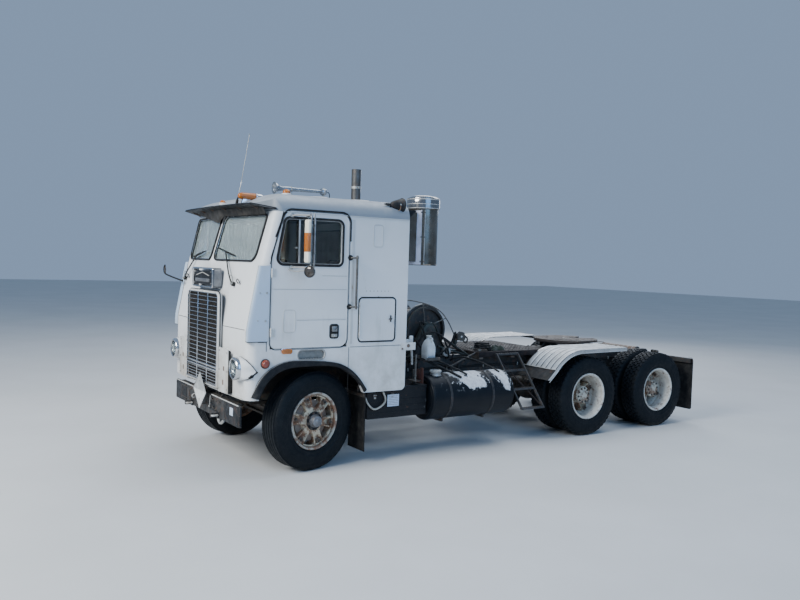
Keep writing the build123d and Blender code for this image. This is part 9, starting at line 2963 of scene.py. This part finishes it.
p.tube([(-0.296, 0.215, 1.420), (-0.305, 0.150, 1.415), (-0.318, 0.100, 1.370), (-0.322, 0.100, 1.240), (-0.318, 0.180, 1.120), (-0.300, 0.420, 1.020), (-0.275, 0.700, 0.965),
        (-0.262, 0.905, 0.950)], 0.042, "manifold_rust", k=16, smooth=3)
p.tube([(-0.296, 0.370, 1.385), (-0.290, 0.380, 1.200), (-0.250, 0.390, 1.060)], 0.010, "cast_steel", k=8, smooth=1)
# intake manifold on the left with a crossover to the cooler pipe
p.prism([(0.190, 1.250), (0.290, 1.235), (0.305, 1.265), (0.300, 1.320), (0.270, 1.338), (0.190, 1.330)], "y", -0.250, 0.720, "bare_alloy", 0.010, 3)
for i in range(6):
    y = -0.205 + i * 0.173
    p.box(0.163, 0.200, y - 0.048, y + 0.048, 1.248, 1.326, "bare_alloy", 0.006)
    p.bolt((0.250, y, 1.336), (0, 0, 1), "cast_steel", 0.007, 0.006)
p.tube([(0.250, 0.740, 1.380), (0.262, 0.700, 1.340), (0.262, 0.660, 1.320)], 0.044, "bare_alloy", k=16, smooth=1)
# injection pump with lines to each cylinder
p.prism([(0.245, 0.880), (0.325, 0.880), (0.330, 0.990), (0.300, 1.030), (0.250, 1.030)], "y", -0.060, 0.300, "cast_steel", 0.008, 3)
p.lathe([(-0.110, 0.040), (-0.105, 0.055), (-0.062, 0.058), (-0.060, 0.0)], (0.285, 0, 0.950), "y", "cast_steel", 28)
p.lathe([(0.300, 0.050), (0.350, 0.052), (0.372, 0.040), (0.375, 0.0)], (0.285, 0, 0.945), "y", "cast_steel", 28)
for i in range(6):
    y0, y1 = -0.035 + i * 0.062, -0.205 + i * 0.173
    p.cyl((0.285, y0, 1.028), (0.285, y0, 1.062), 0.009, "zinc", 8)
    p.tube([(0.285, y0, 1.060), (0.290, y0, 1.110), (0.318, (y0 + y1) / 2, 1.190), (0.316, y1 + 0.02, 1.330), (0.250, y1 + 0.03, 1.385), (0.168, y1 + 0.03, 1.372), (0.150, y1 + 0.03, 1.340)],
           0.0042, "zinc", k=6, smooth=2)
# filters, starter, oil cooler
for y in (0.420, 0.545):
    p.lathe([(0.750, 0.030), (0.756, 0.046), (0.764, 0.052), (0.960, 0.052), (0.966, 0.046), (0.968, 0.0)], (0.290, y, 0), "z", "engine_cover", 32)
    for k in range(18):
        a = 2 * math.pi * k / 18
        p.box(0.290 + 0.0520 * math.cos(a) - 0.003, 0.290 + 0.0520 * math.cos(a) + 0.003, y + 0.0520 * math.sin(a) - 0.003, y + 0.0520 * math.sin(a) + 0.003, 0.770, 0.800,
              "engine_cover", 0.0, 1)
p.box(0.235, 0.335, 0.360, 0.605, 0.966, 1.010, "cast_steel", 0.010, 3)
p.lathe([(0.470, 0.040), (0.478, 0.056), (0.640, 0.058), (0.648, 0.050), (0.700, 0.048), (0.742, 0.058)], (-0.282, 0, 0.800), "y", "black_paint", 32)
p.lathe([(0.560, 0.026), (0.640, 0.026), (0.648, 0.018), (0.650, 0.0)], (-0.282, 0, 0.878), "y", "black_paint", 24)
p.prism([(-0.262, 0.900), (-0.235, 0.880), (-0.235, 1.010), (-0.262, 1.000)], "y", -0.180, 0.360, EP, 0.006)
for i in range(8):
    p.bolt((-0.262, -0.150 + i * 0.068, 0.950), (-1, 0, 0), "cast_steel", 0.006, 0.005)
# flywheel housing and gearbox
p.lathe([(0.742, 0.200), (0.742, 0.255), (0.750, 0.262), (0.800, 0.268), (0.832, 0.250), (0.836, 0.228), (0.836, 0.0)], (0, 0, 0.862), "y", EP, 56)
for k in range(16):
    a = 2 * math.pi * k / 16
    p.bolt((0.240 * math.cos(a), 0.832, 0.862 + 0.240 * math.sin(a)), (0, 1, 0), "cast_steel", 0.008, 0.008)
gb = [(-0.150, 0.645), (0.150, 0.645), (0.186, 0.690), (0.186, 0.900), (0.150, 0.985), (-0.150, 0.985), (-0.186, 0.900), (-0.186, 0.690)]
p.prism([(x * 1.04, 0.835 + (z - 0.835) * 1.0) for x, z in gb], "y", 0.834, 1.020, "gear_grey", 0.010, 3)
p.prism(gb, "y", 1.018, 1.490, "gear_grey", 0.012, 3)
for y in (0.900, 1.018, 1.150, 1.280, 1.410):
    p.prism([(x * 1.045, 0.815 + (z - 0.815) * 1.045) for x, z in gb], "y", y - 0.007, y + 0.007, "gear_grey", 0.003)
p.box(-0.110, 0.110, 1.060, 1.420, 0.984, 0.998, "gear_grey", 0.004)
p.lathe([(0.996, 0.060), (1.020, 0.052), (1.040, 0.034), (1.085, 0.026), (1.087, 0.0)], (0.02, 1.17, 0), "z", "gear_grey", 32)
p.tube([(0.02, 1.17, 1.080), (0.03, 1.10, 1.095), (0.05, 0.60, 1.100)], 0.010, "cast_steel", k=8, smooth=1)
for y in (1.08, 1.19, 1.30, 1.40):
    for x in (-0.098, 0.098):
        p.bolt((x, y, 0.998), (0, 0, 1), "cast_steel", 0.007, 0.006)
for s in (1, -1):
    p.prism([(1.120, 0.740), (1.240, 0.740), (1.252, 0.760), (1.252, 0.860), (1.240, 0.880), (1.120, 0.880), (1.108, 0.860), (1.108, 0.760)], "x", s * 0.186, s * 0.198, "gear_grey", 0.003)
    for y, z in ((1.125, 0.756), (1.235, 0.756), (1.125, 0.865), (1.235, 0.865), (1.18, 0.748), (1.18, 0.873)):
        p.bolt((s * 0.198, y, z), (s, 0, 0), "cast_steel", 0.007, 0.006)
p.lathe([(1.486, 0.105), (1.500, 0.105), (1.506, 0.092), (1.545, 0.080), (1.560, 0.060), (1.600, 0.058), (1.602, 0.0)], (0, 0, 0.745), "y", "gear_grey", 36)
for k in range(8):
    a = 2 * math.pi * k / 8
    p.bolt((0.092 * math.cos(a), 1.500, 0.745 + 0.092 * math.sin(a)), (0, 1, 0), "cast_steel", 0.007, 0.006)
# engine mounts
for s in (1, -1):
    for y in (-0.250, 0.700):
        p.prism([(s * 0.225, 0.800), (s * 0.340, 0.790), (s * 0.340, 0.812), (s * 0.225, 0.870)], "y", y - 0.045, y + 0.045, "cast_steel", 0.004)
        p.box(min(s * 0.285, s * 0.340), max(s * 0.285, s * 0.340), y - 0.035, y + 0.035, 0.760, 0.791, "rubber", 0.006)
        p.bolt((s * 0.312, y, 0.812), (0, 0, 1), "cast_steel", 0.011, 0.012)


def propshaft(a, c, r, mat):
    """Tube with welded yokes, crosses and end flanges between two points."""
    a, c = Vector(a), Vector(c)
    d = (c - a).normalized()
    L = (c - a).length
    p.lathe([(0.100, r * 0.55), (0.112, r * 0.98), (0.118, r * 1.05), (0.126, r), (L * 0.5, r), (L - 0.126, r), (L - 0.118, r * 1.05), (L - 0.112, r * 0.98), (L - 0.100, r * 0.55)],
            a, d, mat, 28)
    side = d.orthogonal().normalized()
    up = d.cross(side)
    for base, sg in ((a, 1.0), (c, -1.0)):
        q = base + d * (0.050 * sg)
        p.lathe([(0.0, r * 1.25), (0.010 * sg, r * 1.25), (0.012 * sg, r * 0.7), (0.014 * sg, 0.0)], base, d, "cast_steel", 28)
        for v in (side, up):
            p.cyl(q - v * (r * 1.02), q + v * (r * 1.02), r * 0.30, "cast_steel", 16)
            for w in (-1, 1):
                p.lathe([(0.0, r * 0.40), (r * 0.16, r * 0.40), (r * 0.20, r * 0.30), (r * 0.20, 0.0)], q + v * (w * r * 0.95), v * w, "cast_steel", 16)
        for w in (-1, 1):
            e = q + side * (w * r * 0.90)
            p.tube([e - d * (0.006 * sg), e + d * (0.030 * sg) , base + d * (0.104 * sg) + side * (w * r * 0.45)], r * 0.30, "cast_steel", k=10, flat=(r * 0.30, r * 0.62))
            e = q + up * (w * r * 0.90)
            p.tube([e + d * (0.004 * sg), e - d * (0.024 * sg), base + up * (w * r * 0.70) + d * (0.008 * sg)], r * 0.28, "cast_steel", k=10, flat=(r * 0.30, r * 0.62))
    p.box((a.x - 0.012), (a.x + 0.012), (a + d * L * 0.3).y - 0.02, (a + d * L * 0.3).y + 0.02, (a + d * L * 0.3).z + r - 0.002, (a + d * L * 0.3).z + r + 0.003, mat, 0.001)


propshaft((0, 1.602, 0.745), (0, 3.745, 0.590), 0.048, "cast_steel")
propshaft((0, 4.280, 0.556), (0, 5.170, 0.566), 0.040, "cast_steel")

# radiator: fin core, tanks, side frames, cap and shroud
p.box(-0.405, 0.405, -0.622, -0.548, 1.455, 1.538, "black_paint", 0.016, 3)
p.box(-0.338, 0.338, -0.620, -0.548, 0.818, 0.880, "black_paint", 0.012, 3)
for s in (1, -1):
    p.box(min(s * 0.338, s * 0.408), max(s * 0.338, s * 0.408), -0.618, -0.550, 1.018, 1.462, "black_paint", 0.004)
    p.box(min(s * 0.318, s * 0.338), max(s * 0.318, s * 0.338), -0.618, -0.550, 0.870, 1.462, "black_paint", 0.003)
    for z in (1.08, 1.24, 1.40):
        p.bolt((s * 0.372, -0.618, z), (0, -1, 0), "cast_steel", 0.008, 0.006)
for i in range(64):
    x = -0.315 + i * 0.010
    p.box(x - 0.0011, x + 0.0011, -0.612, -0.556, 0.878, 1.456, "core_dark", 0.0, 1)
for i in range(36):
    z = 0.886 + i * 0.016
    p.box(-0.318, 0.318, -0.608, -0.560, z - 0.0010, z + 0.0010, "core_dark", 0.0, 1)
p.lathe([(1.536, 0.026), (1.546, 0.026), (1.548, 0.034), (1.560, 0.034), (1.564, 0.028), (1.564, 0.0)], (-0.24, -0.585, 0), "z", "bare_alloy", 28)
p.lathe([(-0.548, 0.352), (-0.520, 0.346), (-0.500, 0.334), (-0.430, 0.330), (-0.426, 0.334), (-0.498, 0.340), (-0.520, 0.352), (-0.546, 0.358)], (0, 0, 1.150), "y", "black_paint", 64, closed=True)
p.done(angle=38, replaces=["engine_and_driveline"])

# heads of the cab's hinge pins
p = Piece("tilt_parts", "chassis", "cast_steel")
for s in (1, -1):
    p.m = mirror_x(s)
    p.lathe([(0.300, 0.021), (0.306, 0.021), (0.310, 0.017), (0.310, 0.0)], (0, -0.700, 0.800), "x", "cast_steel", 24)
    p.cyl((0.3105, -0.700, 0.800), (0.3105 + 0.006, -0.700, 0.800), 0.006, "zinc", 10)
p.m = None
p.done()

p = Piece("cab_back_details", "cab", "white_paint")
# the back wall: seams, rivets, vents, and a glad hand bracket with its fittings
for x in (-0.62, 0.62):
    p.tube([(x, 1.1346, 0.86), (x, 1.1346, 2.60)], 0.003, "grimy_white", k=6, flat=(0.010, 0.004))
for z in (1.70, 2.62):
    p.tube([(-1.02, 1.1346, z), (1.02, 1.1346, z)], 0.003, "grimy_white", k=6, flat=(0.004, 0.010))
for i in range(26):
    for z in (1.725, 2.600):
        p.rivet((-0.975 + i * 0.078, 1.134, z), (0, 1, 0), "grimy_white", 0.0055, 0.0025)
for i in range(20):
    for x in (-1.060, -0.640, 0.640, 1.060):
        p.rivet((x, 1.134, 0.90 + i * 0.085), (0, 1, 0), "grimy_white", 0.0055, 0.0025)
for x in (-0.30, 0.30):
    p.prism([(x - 0.105, 2.300), (x - 0.095, 2.290), (x + 0.095, 2.290), (x + 0.105, 2.300), (x + 0.105, 2.440), (x + 0.095, 2.450), (x - 0.095, 2.450), (x - 0.105, 2.440)], "y",
            1.1342, 1.1395, "white_plastic", 0.002)
    for i in range(7):
        z = 2.308 + i * 0.021
        p.prism([(1.1390, z - 0.007), (1.1480, z - 0.009), (1.1485, z - 0.006), (1.1395, z + 0.007)], "x", x - 0.088, x + 0.088, "white_plastic", 0.001)
p.box(-0.36, -0.18, 1.1342, 1.1400, 1.770, 1.900, "bare_alloy", 0.003)
for x, m in ((-0.315, "red"), (-0.225, "zinc")):
    p.lathe([(1.140, 0.026), (1.165, 0.026), (1.172, 0.032), (1.190, 0.032), (1.194, 0.024), (1.194, 0.0)], (x, 0, 1.835), "y", "cast_steel", 24)
    p.torus((x, 1.193, 1.835), 0.017, 0.006, "y", "hose", 24, 8)
# edge trim round the tunnel's mouth and a stiffening channel beside it
p.tube([(-0.444, 1.1348, 0.86), (-0.444, 1.1348, 1.604), (0.444, 1.1348, 1.604), (0.444, 1.1348, 0.86)], 0.005, "seal", k=8, flat=(0.016, 0.008))
for s in (1, -1):
    p.box(min(s * 0.500, s * 0.560), max(s * 0.500, s * 0.560), 1.1342, 1.1520, 0.840, 1.640, "grimy_white", 0.003)
    for i in range(8):
        p.bolt((s * 0.530, 1.1520, 0.90 + i * 0.095), (0, 1, 0), "zinc", 0.007, 0.005, False)
p.done()

# rivets along the bunk front inside the cab, and ribs on the floor
p = Piece("bunk_trim", "cab", "interior_plastic")
for i in range(9):
    x = -0.96 + i * 0.24
    p.rivet((x, 0.4795, 1.80), (0, -1, 0), "zinc", 0.006, 0.003)
for x0, x1 in ((-1.08, -0.48), (0.48, 1.08)):
    for i in range(14):
        x = x0 + 0.03 + i * (x1 - x0 - 0.06) / 13
        p.tube([(x, -0.40, 1.1815), (x, 0.46, 1.1815)], 0.003, "rubber_mat", k=6, flat=(0.010, 0.003))
p.done()

# ----------------------------------------------------------------------------
# floor and light
# ----------------------------------------------------------------------------
def stage_floor():
    me = bpy.data.meshes.new("floor")
    R = 60
    me.from_pydata([(-R, -R, 0), (R, -R, 0), (R, R, 0), (-R, R, 0)], [], [(0, 1, 2, 3)])
    o = bpy.data.objects.new("floor", me)
    bpy.context.scene.collection.objects.link(o)
    n = Nodes("floor_pale")
    c = n.mix(n.ramp(n.noise(0.5, 4, 0.6), 0.3, 0.7), (0.60, 0.60, 0.59), (0.56, 0.56, 0.55))
    n.done(c, 0.85, 0.0, n.bump(n.noise(60, 3, 0.6), 0.001, 0.3))
    o.data.materials.append(n.mat)


stage_floor()

w = bpy.data.worlds.new("studio")
w.use_nodes = True
bg = w.node_tree.nodes["Background"]
bg.inputs[0].default_value = (0.47, 0.67, 1.0, 1)
bg.inputs[1].default_value = 0.50
bpy.context.scene.world = w


def area(name, loc, target, size, power, color=(1, 1, 1)):
    d = bpy.data.lights.new(name, "AREA")
    d.shape, d.size, d.energy, d.color = "SQUARE", size, power, color
    o = bpy.data.objects.new(name, d)
    o.location = loc
    o.rotation_euler = (Vector(target) - Vector(loc)).to_track_quat("-Z", "Y").to_euler()
    bpy.context.scene.collection.objects.link(o)


area("key", (2.5, -14.0, 9.0), (0, -1.5, 1.2), 6.0, 2650, (0.99, 1.0, 0.98))
area("left_fill", (14.0, -1.0, 7.0), (0, 0.5, 1.2), 8.0, 620, (0.24, 0.53, 1.0))
area("top", (0.0, 3.0, 13.0), (0, 0.5, 1.0), 9.0, 900, (0.88, 0.94, 1.0))
area("back", (-9.0, 9.0, 7.0), (0, 1.0, 1.5), 7.0, 500, (0.95, 0.97, 1.0))

print("TRIANGLES", sum(COUNT.values()), sorted(COUNT.items(), key=lambda t: -t[1])[:12])
